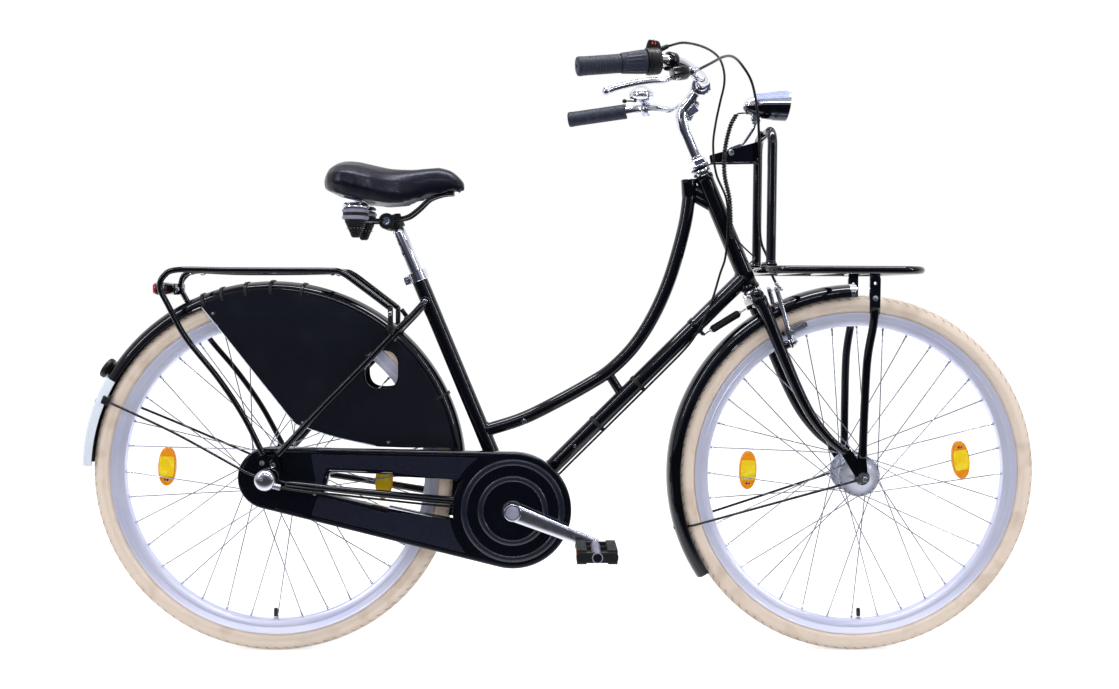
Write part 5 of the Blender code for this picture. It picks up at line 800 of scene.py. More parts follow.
def make_wheel(name, centre, hub, lit, valve_deg):
    """Tyre, rim, laced hub, reflectors at the lit angles and valve of one wheel."""
    body = name + "_wheel"
    flange_r, flange_y, barrel_r, right_end, left_end, end_r = hub
    axis = centre + X * REAR_X
    rubber_finish = tyre_rubber(name + "_tyre_cream_rubber", axis)
    rim_finish = turned_metal(name + "_rim_aluminium", axis, "#E2E5FF", "#D8DCFB", (0.28, 0.32))
    hub_finish = turned_metal(name + "_hub_aluminium", axis, "#BFC3D4", "#A4A8BC", (0.24, 0.38))
    piece(name + "_tyre_cream", [(lathe(tyre_section(), centre, Y, 220, True), rubber_finish)],
          body, [name + "_tyre"], 30)
    well = lathe([(0.3116, -0.0085), (0.3126, -0.0085), (0.3126, 0.0085), (0.3116, 0.0085)],
                 centre, Y, 120, True)
    piece(name + "_rim_bright", [(lathe(rim_section(), centre, Y, 220, True), rim_finish),
                                 (well, black_rubber)], body, [name + "_rim"], 30)
    right = [(r, -y) for r, y in hub_half(flange_r, flange_y, barrel_r, right_end, end_r)]
    left = hub_half(flange_r, flange_y, barrel_r, left_end, end_r)
    shell = lathe(right + left[::-1], centre, Y, 96, True)
    place = Matrix.Translation(centre)
    wires, nipples = spoke_group(flange_r, flange_y)
    # Dark discs on the flanges stand for their holes: painted shade
    holes = [lathe([(0.0, 0.0), (0.003, 0.0), (0.003, 0.0004), (0.0, 0.0005)],
                   wheel_point(ORIGIN, flange_r - 0.0125, 15.0, side * (flange_y + 0.0017)),
                   Y * side, 14) for side in SIDES]
    piece(name + "_hub_and_laced_spokes",
          [(shell, hub_finish), (copies(wires, 9, place, spoke_wire, -math.tau / 9), spoke_wire),
           (copies(nipples, 9, place, alloy, -math.tau / 9), alloy),
           (copies(holes, 12, place, shade_and_dark_steel), shade_and_dark_steel)],
          body, [name + "_hub_and_spokes"])
    edges, prisms, clips, screws = [], [], [], []
    for degrees in lit:
        edge, fields, clip, screw = reflector(centre, degrees)
        edges += edge
        prisms += fields
        clips += clip
        screws.append(screw)
    piece(name + "_spoke_reflectors", [(edges, amber), (prisms, prism_amber_painted_glow), (clips, plastic),
                                       (screws, zinc)], body)
    inwards = -radial(valve_deg)
    foot = centre - inwards * 0.2945
    stem = lathe([(0.0, 0.0), (0.0062, 0.0), (0.0062, 0.0018), (0.004, 0.003), (0.0032, 0.003),
                  (0.0032, 0.01), (0.0, 0.01)], foot, inwards, 24)
    cap = lathe([(0.0, 0.0055), (0.0036, 0.0055), (0.0041, 0.0065), (0.004, 0.019),
                 (0.0032, 0.0215), (0.0, 0.0222)], foot, inwards, 24)
    piece(name + "_valve", [(stem, wire), (cap, plastic)], body)


make_wheel("front", FRONT_AXLE, (0.0415, 0.031, 0.03, 0.049, 0.049, 0.014), (178.4, 7.4), -87.4)
make_wheel("rear", REAR_AXLE, (0.045, 0.027, 0.035, 0.037, 0.064, 0.016), (177.1, -3.9), -90.5)


def axle_set(centre, nut_y, nut_t, tail, cones):
    """Threaded axle, its cones, serrated washers and domed nuts."""
    reach = nut_y + 0.0015 + nut_t + tail
    shafts = [rod(centre - Y * reach, centre + Y * reach, 0.0049, 24, 0.0006)]
    for k in range(6):
        for side in SIDES:
            at = reach - 0.0014 - k * 0.0011
            shafts.append(lathe([(0.0049, -0.0004), (0.0052, 0.0), (0.0049, 0.0004)],
                                centre + Y * side * at, Y, 24))
    for start, end in cones:
        shafts.append(rod(centre + Y * start, centre + Y * end, 0.008, 32, 0.0008))
    nuts = []
    for side in SIDES:
        nuts += hex_head(centre + Y * side * nut_y, Y * side, 0.0086, nut_t + 0.0015)
    return shafts, nuts


shafts, nuts = axle_set(FRONT_AXLE, 0.061, 0.0085, 0.0045, [(-0.0495, -0.0502), (0.0495, 0.0502)])
caps = [lathe([(0.0, 0.0195), (0.004, 0.0192), (0.0078, 0.0165), (0.0088, 0.0125), (0.0088, 0.0085),
               (0.0, 0.0085)], FRONT_AXLE + Y * side * 0.0555, Y * side, 6) for side in SIDES]
piece("front_axle_set", [(shafts, zinc), (nuts, zinc), (caps, plastic)], "steering", ["front_axle"])
shafts, nuts = axle_set(REAR_AXLE, 0.0735, 0.005, 0.0055, [(0.0645, 0.0652), (-0.0652, -0.0595)])
piece("rear_axle_set", [(shafts, zinc), (nuts, chrome)], "frame", ["rear_axle"])


# Frame

def down_point(along, below=0.0, y=0.0):
    """Point beside the down tube's axis, from the bottom bracket."""
    return BB + DOWN_WAY * along + Vector((DOWN_WAY.z, 0.0, -DOWN_WAY.x)) * below + Y * y


def chain_stay(side):
    """Tapered tube from the bottom bracket to a dropout."""
    points = [(BB_X - 0.012, side * 0.02, BB_Z + 0.002), (0.4, side * 0.0285, 0.299),
              (0.35, side * 0.0335, 0.305), (0.29, side * 0.042, 0.312),
              (0.2, side * 0.058, 0.324), (0.13, side * 0.068, 0.333),
              (0.085, side * 0.0695, 0.339), (0.036, side * 0.069, 0.344)]
    return tube(route(points, 40), 0.009, 24, [0.009 - 0.0032 * k / 39 for k in range(40)])


def dropout(side):
    """Plate that holds the rear axle in an open slot."""
    slot = (arc(0.004, WHEEL_Z, AXLE_SLOT, -90, 90, 8)
            + [(-0.0165, WHEEL_Z + AXLE_SLOT), (-0.0165, WHEEL_Z - AXLE_SLOT)])
    outline = (arc(0.0, WHEEL_Z, 0.019, 100, 250, 20)
               + [(0.02, 0.337), (0.052, 0.3395), (0.052, 0.3495), (0.026, 0.362), (0.024, 0.385),
                  (0.014, 0.398), (-0.016, 0.398), (-0.022, 0.386)])
    return plate(outline, side * 0.0655, side * 0.0705, 0.0008, [slot])


SWAN = route([(0.8122, 0, 0.935), (0.8128, 0, 0.902), (0.804, 0, 0.84),
              (0.778, 0, 0.745), (0.746, 0, 0.669), (0.707, 0, 0.607), (0.661, 0, 0.56),
              (0.619, 0, 0.532), (0.555, 0, 0.496), (0.486, 0, 0.462), seat_point(0.437)], 72)
SEAT_LUG = seat_point(0.694) - X * 0.004
SEAT_TUBE_TOP = (0.75 - BB_Z) / SEAT_UP.z
head_lathe = [(0.0148, 0.0063), (0.018, 0.0063), (0.0187, 0.0072), (0.0187, 0.0135), (0.0174, 0.0155),
              (0.017, 0.0185), (0.017, 0.237), (0.0174, 0.24), (0.0187, 0.2418),
              (0.0187, 0.2486), (0.018, 0.2495), (0.0148, 0.2495)]
seat_axis = seat_point(0.4)
frame_tubes = [
    lathe(head_lathe, head_point(0.0), HEAD_UP, 64, True),
    rod(BB + DOWN_WAY * 0.008, DOWN_TOP, DOWN_R, 48, 0.0004),
    lathe([(0.0, 0.01), (SEAT_R, 0.01), (SEAT_R, SEAT_TUBE_TOP), (0.0138, SEAT_TUBE_TOP),
           (0.0138, 0.3), (0.0, 0.3)], BB, SEAT_UP, 48),
    tube(SWAN, SWAN_R, 36, dome=False),
    lathe([(0.0, 0.0), (0.0144, 0.0), (0.015, 0.0008), (0.015, 0.033), (0.0144, 0.0342),
           (0.0, 0.0342)], SWAN[0] + Vector((0.0, 0.0, 0.0006)), SWAN[2] - SWAN[0], 44),
    tube([(0.817, 0, 0.918), head_point(0.192)], 0.0118, 28, flat=0.75, flat_axis=Y),
    tube([(0.818, 0, 0.905), head_point(0.176)], 0.01, 28, flat=0.75, flat_axis=Y),
    lathe([(0.0105, -0.04), (0.0186, -0.04), (0.019, -0.0393), (0.019, -0.035),
           (0.0205, -0.0345), (0.021, -0.0335), (0.021, 0.0335), (0.0205, 0.0345),
           (0.019, 0.035), (0.019, 0.0393), (0.0186, 0.04), (0.0105, 0.04)],
          BB, Y, 56, True),
    rod((0.656, 0, 0.554), (0.68, 0, 0.516), 0.0095, 28),
    rod(BB + Vector((-0.066, -0.03, 0.01)), BB + Vector((-0.066, 0.03, 0.01)), 0.006, 24),
    rod(SEAT_LUG - Y * 0.0155, SEAT_LUG + Y * 0.0155, 0.009, 28),
    rod(down_point(0.5), down_point(0.512), 0.0178, 48, 0.001),
    rod(down_point(0.506, 0.01), down_point(0.506, 0.024), 0.004, 20),
    *[chain_stay(side) for side in SIDES], *[dropout(side) for side in SIDES],
]
frame_welds = [
    weld(down_point(0.3), DOWN_WAY, DOWN_R, head_point(0.0), HEAD_UP, 0.0172, 0.002),
    weld(SWAN[-8], SWAN[-2] - SWAN[-6], SWAN_R, seat_axis, SEAT_UP, 0.0158, 0.0018),
    weld(down_point(0.1), -DOWN_WAY, DOWN_R, BB, Y, 0.0212, 0.002),
    weld(seat_point(0.36), -SEAT_UP, SEAT_R, BB, Y, 0.0212, 0.0018),
]
lugs = [rod((0.4905, -0.016, 0.4585), (0.4905, -0.0175, 0.4585), 0.0052, 24),
        rod(down_point(0.17, 0.0, -0.0158), down_point(0.17, 0.0, -0.0172), 0.003, 20)]
piece("frame_tubes", [(frame_tubes, enamel), (frame_welds, enamel), (lugs, chrome)], "frame",
      ["main_frame"], 34)

stays, bolts = [], []
for side in SIDES:
    points = [(SEAT_LUG.x - 0.004, side * 0.0225, SEAT_LUG.z - 0.004), (0.272, side * 0.03, 0.666),
              (0.24, side * 0.04, 0.633), (0.18, side * 0.05, 0.569),
              (0.1, side * 0.061, 0.486), (0.052, side * 0.068, 0.434),
              (0.022, side * 0.0738, 0.4)]
    stays.append(tube(route(points, 40), 0.0062, 24))
    stays.append(rod((SEAT_LUG.x, side * 0.0158, SEAT_LUG.z), (SEAT_LUG.x, side * 0.0245, SEAT_LUG.z),
                     0.0095, 32, 0.0012))
    stays.append(plate(arc(0.012, 0.38, 0.0085, 120, 330, 14) + [(0.026, 0.402), (0.018, 0.408)],
                       side * 0.0708, side * 0.0738, 0.0006))
    bolts.append(allen((SEAT_LUG.x, side * 0.0245, SEAT_LUG.z), Y * side, 0.0048, 0.003))
    bolts += hex_head((0.012, side * 0.0738, 0.38), Y * side, 0.0044, 0.0034)
bridge = Vector((0.262, 0.0, 0.6585))
stays += [rod(bridge - Y * 0.034, bridge + Y * 0.034, 0.006, 24),
          rod(bridge, (0.248, 0, 0.678), 0.0045, 20),
          rod(REAR_AXLE + (bridge - REAR_AXLE).normalized() * 0.3773, bridge, 0.0055, 20)]
piece("seat_stay_pair", [(stays, enamel), (bolts, chrome)], "frame", ["seat_stays"])

cup = [(0.0137, -0.0115), (0.0168, -0.0115), (0.0176, -0.0106), (0.0185, -0.0076), (0.0185, -0.004),
       (0.0179, -0.0032), (0.0174, -0.0004), (0.0137, 0.0)]
piece("lower_headset_cup", [(lathe(cup, head_point(0.0057), HEAD_UP, 64, True), chrome)], "frame",
      ["headset_lower_cup"])
piece("upper_headset_cup", [(lathe([(r, -h) for r, h in cup], head_point(0.2503), HEAD_UP, 64, True),
                             chrome)], "frame", ["headset_upper_cup"])

collar_top = seat_point(0.75) + SEAT_UP * 0.002
back = Vector((-SEAT_UP.z, 0.0, SEAT_UP.x))
collar_mid = collar_top - SEAT_UP * 0.01 + back * 0.0233
seat_turn = z_along(SEAT_UP)
collar = lathe([(0.016, -0.02), (0.0188, -0.02), (0.0196, -0.019), (0.0196, -0.001),
                (0.0188, 0.0), (0.016, 0.0)], collar_top, SEAT_UP, 64, True)
ears = [block(collar_mid + Y * 0.0034 * side, (0.01, 0.0042, 0.0165), seat_turn, 0.0012, 3)
        for side in SIDES]
collar_bolt = [rod(collar_mid - Y * 0.01, collar_mid + Y * 0.01, 0.0026, 20),
               allen(collar_mid - Y * 0.0072, -Y, 0.0044, 0.0046)] + hex_head(
                   collar_mid + Y * 0.006, Y, 0.0044, 0.004)
piece("seat_clamp_collar", [([collar] + ears, chrome), (collar_bolt, zinc)], "frame",
      ["seat_collar"])


# Drive

def case_outline(inset=0.0):
    """Outline of the chain case around the sprocket and the chain ring."""
    return tangents((0.0, WHEEL_Z - 0.003), 0.06 - inset, (BB_X, BB_Z), 0.1135 - inset, 44, 72)


def case_window(grow=0.0):
    """Outline of the opening between the case's two arms."""
    lower = arc(BB_X, BB_Z, 0.1165 - grow, 190, 148, 24)
    rear = rounded([(0.24, 0.36 + grow), (0.118 - grow, 0.365 + grow),
                    (0.106 - grow, 0.322 - grow * 0.4), (0.23, 0.293 - grow)], 0.004, 4)
    return lower + rear


CASE_EDGE = ((0.0, 0.0042), (0.0007, 0.002), (0.0022, 0.0005), (0.0042, 0.0), (0.0066, 0.0),
             (0.0076, 0.0009), (0.0076, 0.0022), (0.002, 0.0022))
WINDOW_EDGE = ((0.0, 0.0016), (0.0006, 0.0004), (0.0018, 0.0), (0.0032, 0.0), (0.004, 0.0009),
               (0.004, 0.0022), (0.0016, 0.0022))


def case_wall(outline, edge, side, joint_y, face_y):
    """Wall from the joint to the face; edge holds (inset, depth under the face) pairs."""
    sections = [(outline(edge[-1][0]), joint_y), (outline(), joint_y)]
    sections += [(outline(inset), face_y - side * depth) for inset, depth in edge]
    return skin([[Vector((x, y, z)) for x, z in points] for points, y in sections], caps=False)


def case_side(side, joint_y, face_y, crank_hole, axle_hole):
    """One half of the chain case: rounded walls, a raised border and a face with its openings."""
    walls = [case_wall(case_outline, CASE_EDGE, side, joint_y, face_y),
             case_wall(case_window, WINDOW_EDGE, side, joint_y, face_y)]
    holes = [case_window(0.0038), arc(BB_X, BB_Z, crank_hole, 0, 355, 40),
             arc(0.0, WHEEL_Z, axle_hole, 0, 350, 28)]
    face = plate(case_outline(0.0074), face_y - side * 0.0009, face_y - side * 0.002, 0.00002, holes)
    return walls, face


walls, face = case_side(RIGHT, -0.04915, -0.0618, 0.0188, 0.0092)
case_rings = []
for radius, width in ((0.0945, 0.012), (0.0625, 0.011)):
    half = width / 2
    case_rings.append(lathe([(radius - half, 0.0), (radius - half * 0.72, 0.0011),
                             (radius - half * 0.3, 0.0018), (radius + half * 0.3, 0.0018),
                             (radius + half * 0.72, 0.0011), (radius + half, 0.0)],
                            BB - Y * 0.0609, -Y, 120))


def arm_panel(upper):
    """Outline of the recessed field along one arm of the case, ending in a curve round the crank."""
    sign, reach = (1 if upper else -1), 0.1225
    sides = []
    for outline, inset in ((case_outline(0.0115), 0), (case_window(0.0085), 0.012)):
        points = []
        for k in range(60):
            x = 0.082 + inset + k * 0.006
            z = edge_height(outline, x, sign)
            if x < BB_X and math.hypot(x - BB_X, z - BB_Z) > reach:
                points.append((x, z))
        sides.append(points)
    turns = [math.degrees(math.atan2(p[-1][1] - BB_Z, p[-1][0] - BB_X)) % 360 for p in sides]
    bend = arc(BB_X, BB_Z, reach, turns[0], turns[1], 14)
    return rounded(sides[0] + bend + sides[1][::-1], 0.003, 3)


def edge_height(outline, x, sign):
    """Height where an outline passes a length, on its upper or lower side."""
    found = []
    for a, b in zip(outline, outline[1:] + outline[:1]):
        if min(a[0], b[0]) <= x <= max(a[0], b[0]) and a[0] != b[0]:
            found.append(a[1] + (b[1] - a[1]) * (x - a[0]) / (b[0] - a[0]))
    if not found:
        end = min(outline, key=lambda p: abs(p[0] - x))
        return end[1] + sign * 0.004
    return max(found) if sign > 0 else min(found)


fields = [plate(arm_panel(upper), -0.0611, -0.0606, 0.0002) for upper in (True, False)]
case_screws = [allen((0.0885, -0.0612, 0.3225), -Y, 0.003, 0.0014)]
sleeve = lathe([(0.0192, -0.0004), (0.0212, 0.0003), (0.0212, 0.001), (0.0192, 0.0012)],
               BB - Y * 0.0609, -Y, 60, True)
piece("chain_case_shell", [(walls, panel), (face, panel), (fields, satin), (case_rings, satin),
                           (sleeve, black_rubber), (case_screws, zinc)],
      "frame", ["chain_case_outer"], 32)
walls, face = case_side(LEFT, -0.04885, -0.0365, 0.0172, 0.0197)
piece("chain_case_back", [(walls, panel), (face, panel)], "frame", ["chain_case_inner"], 32)


def crank_end(side, y=0.0):
    """Point on a pedal's axis, at a lateral place."""
    a = CRANK_ANGLE + (math.pi if side > 0 else 0.0)
    return BB + Vector((CRANK_LENGTH * math.cos(a), y, CRANK_LENGTH * math.sin(a)))


def crank_arm(side):
    """Tapered forged arm with well rounded edges and the pedal's collar."""
    end = crank_end(side)
    inner, outer = side * 0.0675, side * 0.0805
    boss_r, eye_r = 0.0175, 0.012
    along = (end - BB).normalized()
    across = along.cross(Y)
    rings = []
    for k in range(41):
        reach = -0.0172 + (CRANK_LENGTH + 0.0118 + 0.0172) * k / 40
        half = boss_r - 0.0055 * max(reach, 0.0) / CRANK_LENGTH
        if reach < 0:
            half = math.sqrt(max(boss_r ** 2 - reach ** 2, 0.003 ** 2))
        if reach > CRANK_LENGTH:
            half = math.sqrt(max(eye_r ** 2 - (reach - CRANK_LENGTH) ** 2, 0.0022 ** 2))
        ring_points = []
        for j in range(40):
            c, s = math.cos(math.tau * j / 40), math.sin(math.tau * j / 40)
            ring_points.append(BB + along * reach + across * half * squared(c, 0.72)
                               + Y * ((inner + outer) / 2 + (outer - inner) / 2 * squared(s, 0.8)))
        rings.append(ring_points)
    face = Vector((end.x, outer, end.z))
    collar = lathe([(0.0, -0.002), (0.0095, -0.002), (0.0095, 0.0012), (0.008, 0.002),
                    (0.008, 0.006), (0.0, 0.006)], face, Y * side, 36)
    flats = lathe([(0.0, 0.001), (0.0088, 0.001), (0.0088, 0.005), (0.0, 0.005)], face, Y * side, 6)
    pin = rod((end.x, outer + side * 0.005, end.z), (end.x, side * 0.132, end.z), 0.0049, 28)
    eye = lathe([(0.0, 0.0), (0.007, 0.0), (0.007, 0.0012), (0.0034, 0.0016), (0.003, 0.0006),
                 (0.0, 0.0006)], (end.x, inner + side * 0.0002, end.z), -Y * side, 28)
    return skin(rings), [collar, flats, pin, eye]


teeth = []
for k in range(38):
    for share, radius in ((0.0, 0.0733), (0.3, 0.077), (0.5, 0.0779), (0.7, 0.077)):
        a = math.tau * (k + share) / 38
        teeth.append((BB_X + radius * math.cos(a), BB_Z + radius * math.sin(a)))
ring_holes = [arc(BB_X + 0.045 * math.cos(a), BB_Z + 0.045 * math.sin(a), 0.013, 0, 345, 22)
              for a in [math.tau * k / 5 for k in range(5)]]
ring = plate(teeth, -0.0501, -0.0479, 0.0002, ring_holes + [arc(BB_X, BB_Z, 0.012, 0, 345, 22)])
arm, fittings = crank_arm(RIGHT)
boss = lathe([(0.0095, 0.046), (0.016, 0.046), (0.016, 0.0668), (0.0175, 0.069), (0.0175, 0.0796),
              (0.0166, 0.0815), (0.0146, 0.0824), (0.0136, 0.0824), (0.0132, 0.0812), (0.0095, 0.0812)],
             BB, -Y, 64, True)
dust = lathe([(0.0, 0.0838), (0.006, 0.0836), (0.0116, 0.0826), (0.013, 0.0816), (0.013, 0.08),
              (0.0, 0.08)], BB, -Y, 48)
piece("right_crank_forged", [(arm, alloy), (boss, alloy), (fittings, wire), (dust, lilac),
                             (ring, zinc)], "crank", ["right_crank"], 32)
arm, fittings = crank_arm(LEFT)
boss = lathe([(0.0, 0.04), (0.015, 0.0405), (0.015, 0.0668), (0.0175, 0.069), (0.0175, 0.0796),
              (0.0166, 0.0815), (0.0136, 0.0824), (0.0132, 0.0812), (0.0, 0.0812)], BB, Y, 64)
dust = lathe([(0.0, 0.0838), (0.006, 0.0836), (0.013, 0.0816), (0.0, 0.08)], BB, Y, 48)
spindle = rod(BB - Y * 0.0755, BB + Y * 0.07, 0.0084, 32)
piece("left_crank_forged", [(arm, alloy), (boss, alloy), (fittings, wire), (dust, lilac),
                            (spindle, zinc)], "crank", ["left_crank_and_axle"], 32)


def tread(side, front, middle):
    """Rubber tread with ribs above and below, held along the pedal's edge."""
    comb = []
    ribs = 9
    pitch = 0.083 / ribs
    for up in (-1, 1):
        for k in range(ribs):
            y = -up * (k - (ribs - 1) / 2) * pitch
            comb += [(y + up * pitch * 0.46, up * 0.0106), (y + up * pitch * 0.34, up * 0.0134),
                     (y - up * pitch * 0.34, up * 0.0134), (y - up * pitch * 0.46, up * 0.0106)]
    mesh = plate(comb, -0.009, 0.009, 0.0006)
    mesh.transform(Matrix.Rotation(math.pi / 2, 4, "Z"))
    mesh.transform(Matrix.Translation(middle + X * front * 0.0285))
    return mesh


for side, name in NAMED_SIDES:
    middle = crank_end(side, side * 0.1345)
    half = 0.0475
    barrel = lathe([(0.0056, -half), (0.01, -half), (0.0105, -half + 0.002), (0.0088, -0.02),
                    (0.0088, 0.02), (0.0105, half - 0.002), (0.01, half), (0.0056, half)],
                   middle, Y, 36, True)
    ends = []
    for end in (-1, 1):
        outline = rounded([(-0.0385, -0.0097), (0.0385, -0.0097), (0.0385, 0.0097),
                           (-0.0385, 0.0097)], 0.0085, 8)
        mesh = plate(outline, -0.003, 0.003, 0.001, [arc(0.0, 0.0, 0.0058, 0, 345, 20)])
        mesh.transform(Matrix.Translation(middle + Y * end * (half - 0.0038)))
        ends.append(mesh)
    lamps = [block(middle + X * front * 0.0372, (0.0024, 0.046, 0.009)) for front in (-1, 1)]
    treads = [tread(side, front, middle) for front in (-1, 1)]
    webs = [block(middle + X * front * 0.0145 + Y * y, (0.011, 0.004, 0.013))
            for front in (-1, 1) for y in (-0.02, 0.02)]
    cap = lathe([(0.0, 0.0), (0.0092, 0.0), (0.0096, 0.0018), (0.008, 0.0034), (0.0, 0.0036)],
                middle + Y * side * (half - 0.003), Y * side, 30)
    piece(name + "_pedal_ribbed", [(treads, black_rubber), (ends, plastic), (webs, plastic),
                                   (barrel, lilac), (lamps, amber), (cap, shade_and_dark_steel)],
          name + "_pedal", [name + "_pedal_block"], 32)


# Mudguards, coat guards and their stays

def guard_rings(centre, start, end, steps, grow=0.0, thick=0.0014):
    """Rings of a mudguard's closed cross-section about a wheel's centre."""
    section = []
    for more, turns in ((grow, range(19)), (-thick, range(18, -1, -1))):
        for k in turns:
            t = (-1 + 2 * k / 18) * math.pi / 2
            section.append((GUARD_BASE + (0.025 + more) * max(math.cos(t), 0.0) ** 0.62,
                            (0.0286 + more) * math.sin(t)))
    rings = []
    for k in range(steps + 1):
        out = radial(start + (end - start) * k / steps)
        rings.append([centre + out * r + Y * y for r, y in section])
    return rings


def guard(centre, start, end, steps=96):
    """Mudguard shell with rolled edges."""
    shapes = [skin(guard_rings(centre, start, end, steps))]
    for side in SIDES:
        line = [wheel_point(centre, GUARD_BASE + 0.0007, start + (end - start) * k / steps, side * 0.028)
                for k in range(steps + 1)]
        shapes.append(tube(line, 0.0012, 8))
    return shapes


def rivet(centre, degrees, y, radius=0.0035):
    """Flat rivet head on top of a mudguard."""
    return lathe([(0.0, 0.0014), (radius * 0.6, 0.0011), (radius, 0.0), (0.0, -0.001)],
                 wheel_point(centre, GUARD_TOP, degrees, y), radial(degrees), 20)


spacer = rod(head_point(CROWN - 0.0003, 0.006), head_point(CROWN - 0.0103, 0.006), 0.009, 28)
tip = skin(guard_rings(FRONT_AXLE, 91.2, 93.2, 6, 0.0006, 0.0022))
piece("front_mudguard_rolled", [(guard(FRONT_AXLE, 91.6, 213.5) + [spacer], enamel), (tip, chrome),
                                ([rivet(FRONT_AXLE, 197.0, y) for y in (-0.006, 0.006)], zinc)],
      "steering", ["front_mudguard"])

out = radial(148.0)
foot = REAR_AXLE + out * GUARD_TOP
puck = lathe([(0.0, -0.0006), (0.0094, -0.0004), (0.011, 0.002), (0.015, 0.0046), (0.0198, 0.0056),
              (0.0205, 0.0066), (0.0205, 0.0122), (0.0196, 0.0134), (0.0182, 0.0134), (0.018, 0.0122),
              (0.0, 0.0122)], foot, out, 56)
field = lathe([(0.0, 0.0144), (0.012, 0.014), (0.0172, 0.013), (0.0178, 0.012), (0.0, 0.012)],
              foot, out, 48)
tail = skin(guard_rings(REAR_AXLE, 149.5, 177.6, 36, 0.0007, 0.0004))
blob = rod(wheel_point(REAR_AXLE, GUARD_TOP, 158.2), wheel_point(REAR_AXLE, 0.3795, 158.2), 0.0062, 24)
piece("rear_mudguard_rolled", [(guard(REAR_AXLE, -13.0, 177.4, 150), enamel), (tail, pale),
                               ([rivet(REAR_AXLE, 172.5, y, 0.003) for y in (-0.008, 0.008)], zinc),
                               (blob, plastic), (puck, plastic), (field, red)],
      "frame", ["rear_mudguard"])


def stay(centre, degrees, foot_y, foot_dir):
    """Wire stay with an eye on each axle end, bowed up under the mudguard."""
    legs, eyes = [], []
    for side in SIDES:
        leg = [wheel_point(centre, 0.014, foot_dir, side * (foot_y + 0.0029)),
               wheel_point(centre, 0.045, foot_dir + (degrees - foot_dir) * 0.4,
                           side * (foot_y + 0.0016)),
               wheel_point(centre, 0.2, degrees, side * 0.044),
               wheel_point(centre, 0.333, degrees, side * 0.0305),
               wheel_point(centre, 0.348, degrees, side * 0.025),
               wheel_point(centre, 0.36, degrees, side * 0.0195),
               wheel_point(centre, 0.3655, degrees, side * 0.01)]
        legs += leg if side < 0 else leg[::-1]
        hole = arc(0.0, 0.0, AXLE_SLOT, 0, 345, 20)
        eye = plate(arc(0.0, 0.0, 0.01, 40, 320, 24) + [(0.02, -0.0026), (0.02, 0.0026)],
                    side * foot_y, side * (foot_y + 0.0024), 0.0004, [hole])
        eye.transform(Matrix.Translation(centre) @ tilt(-foot_dir))
        eyes.append(eye)
    return tube(route(legs, 120), 0.0025, 14), eyes


bow, eyes = stay(FRONT_AXLE, 197.0, 0.0585, 197.0)
piece("front_mudguard_bow", [(bow, enamel), (eyes, zinc)], "steering", ["front_mudguard_stay"])
bow, eyes = stay(REAR_AXLE, 156.0, 0.0708, 168.0)
clips = [block(wheel_point(REAR_AXLE, 0.3525, 156.0, side * 0.027), (0.015, 0.0085, 0.017),
               tilt(-156.0), 0.0024, 3) for side in SIDES]
piece("rear_mudguard_bow", [(bow, enamel), (eyes, zinc), (clips, plastic)], "frame",
      ["rear_mudguard_stay"])


def strap(degrees):
    """Thin band that holds the coat guards over the mudguard."""
    half = [(-0.0316, 0.35), (-0.0317, 0.356), (-0.029, 0.366), (-0.022, 0.374),
            (-0.011, 0.3778), (0.0, 0.3788)]
    out, half_width = radial(degrees), radial(degrees + 90) * 0.0029
    rings = []
    for y, r in half + [(-y, r) for y, r in half[-2::-1]]:
        lift = (Y * y + out * (r - GUARD_BASE)).normalized() * 0.0005
        middle = REAR_AXLE + out * r + Y * y
        rings.append([middle + half_width + lift, middle + half_width - lift,
                      middle - half_width - lift, middle - half_width + lift])
    return skin(rings)


fan = arc(0.0, WHEEL_Z, 0.358, 8.5, 112.5, 90)
coat_outline = fan + rounded(
    [(fan[-1][0] - 0.001, fan[-1][1] - 0.001), (0.046, 0.452), (0.062, 0.447), (0.12, 0.428),
     (0.2, 0.41), (0.26, 0.408), (fan[0][0] + 0.0005, fan[0][1] - 0.0005)], 0.012, 5)[6:-6]
coat_window = rounded([(0.181, 0.524), (0.245, 0.524), (0.245, 0.598), (0.181, 0.598)], 0.03, 9)
window_rim = rounded([(0.1785, 0.5215), (0.2475, 0.5215), (0.2475, 0.6005), (0.1785, 0.6005)], 0.032, 9)
CLIP_PLACES = ((0.06, 0.456), (0.226, 0.418), (-0.112, 0.668), (0.24, 0.62))
for side, name in NAMED_SIDES:
    sheet = plate(coat_outline, side * 0.0293, side * 0.0308, 0.0005, [coat_window])
    edge = [Vector((x, side * 0.0307, z)) for x, z in
            [(-0.134, 0.68), (-0.089, 0.624), (-0.044, 0.5665), (0.001, 0.5095),
             (0.043, 0.457), (0.06, 0.449), (0.12, 0.4292), (0.2, 0.4115)]]
    trim = tube(route(edge, 60), 0.0008, 10)
    lip = plate(window_rim, side * 0.0304, side * 0.0314, 0.0004, [coat_window])
    clips, studs = [], []
    for x, z in CLIP_PLACES:
        outline = rounded([(x - 0.006, z - 0.004), (x + 0.006, z - 0.004), (x + 0.006, z + 0.004),
                           (x - 0.006, z + 0.004)], 0.003, 4)
        clips.append(plate(outline, side * 0.0306, side * 0.0318, 0.0003))
        studs.append(allen((x, side * 0.0316, z), Y * side, 0.0026, 0.0016))
    piece(name + "_coat_guard_panel", [(sheet, guard_lacquer_painted_sheen), (trim, pale), (lip, enamel),
                                       (clips, plastic), (studs, zinc)],
          "frame", [name + "_coat_guard"])
piece("coat_guard_straps", [([strap(d) for d in (111.5, 105.5, 98.0, 90.3, 80.7, 50.0, 25.0)],
                             plastic)], "frame")


# Rear carrier, lamp and the hub's shifter box

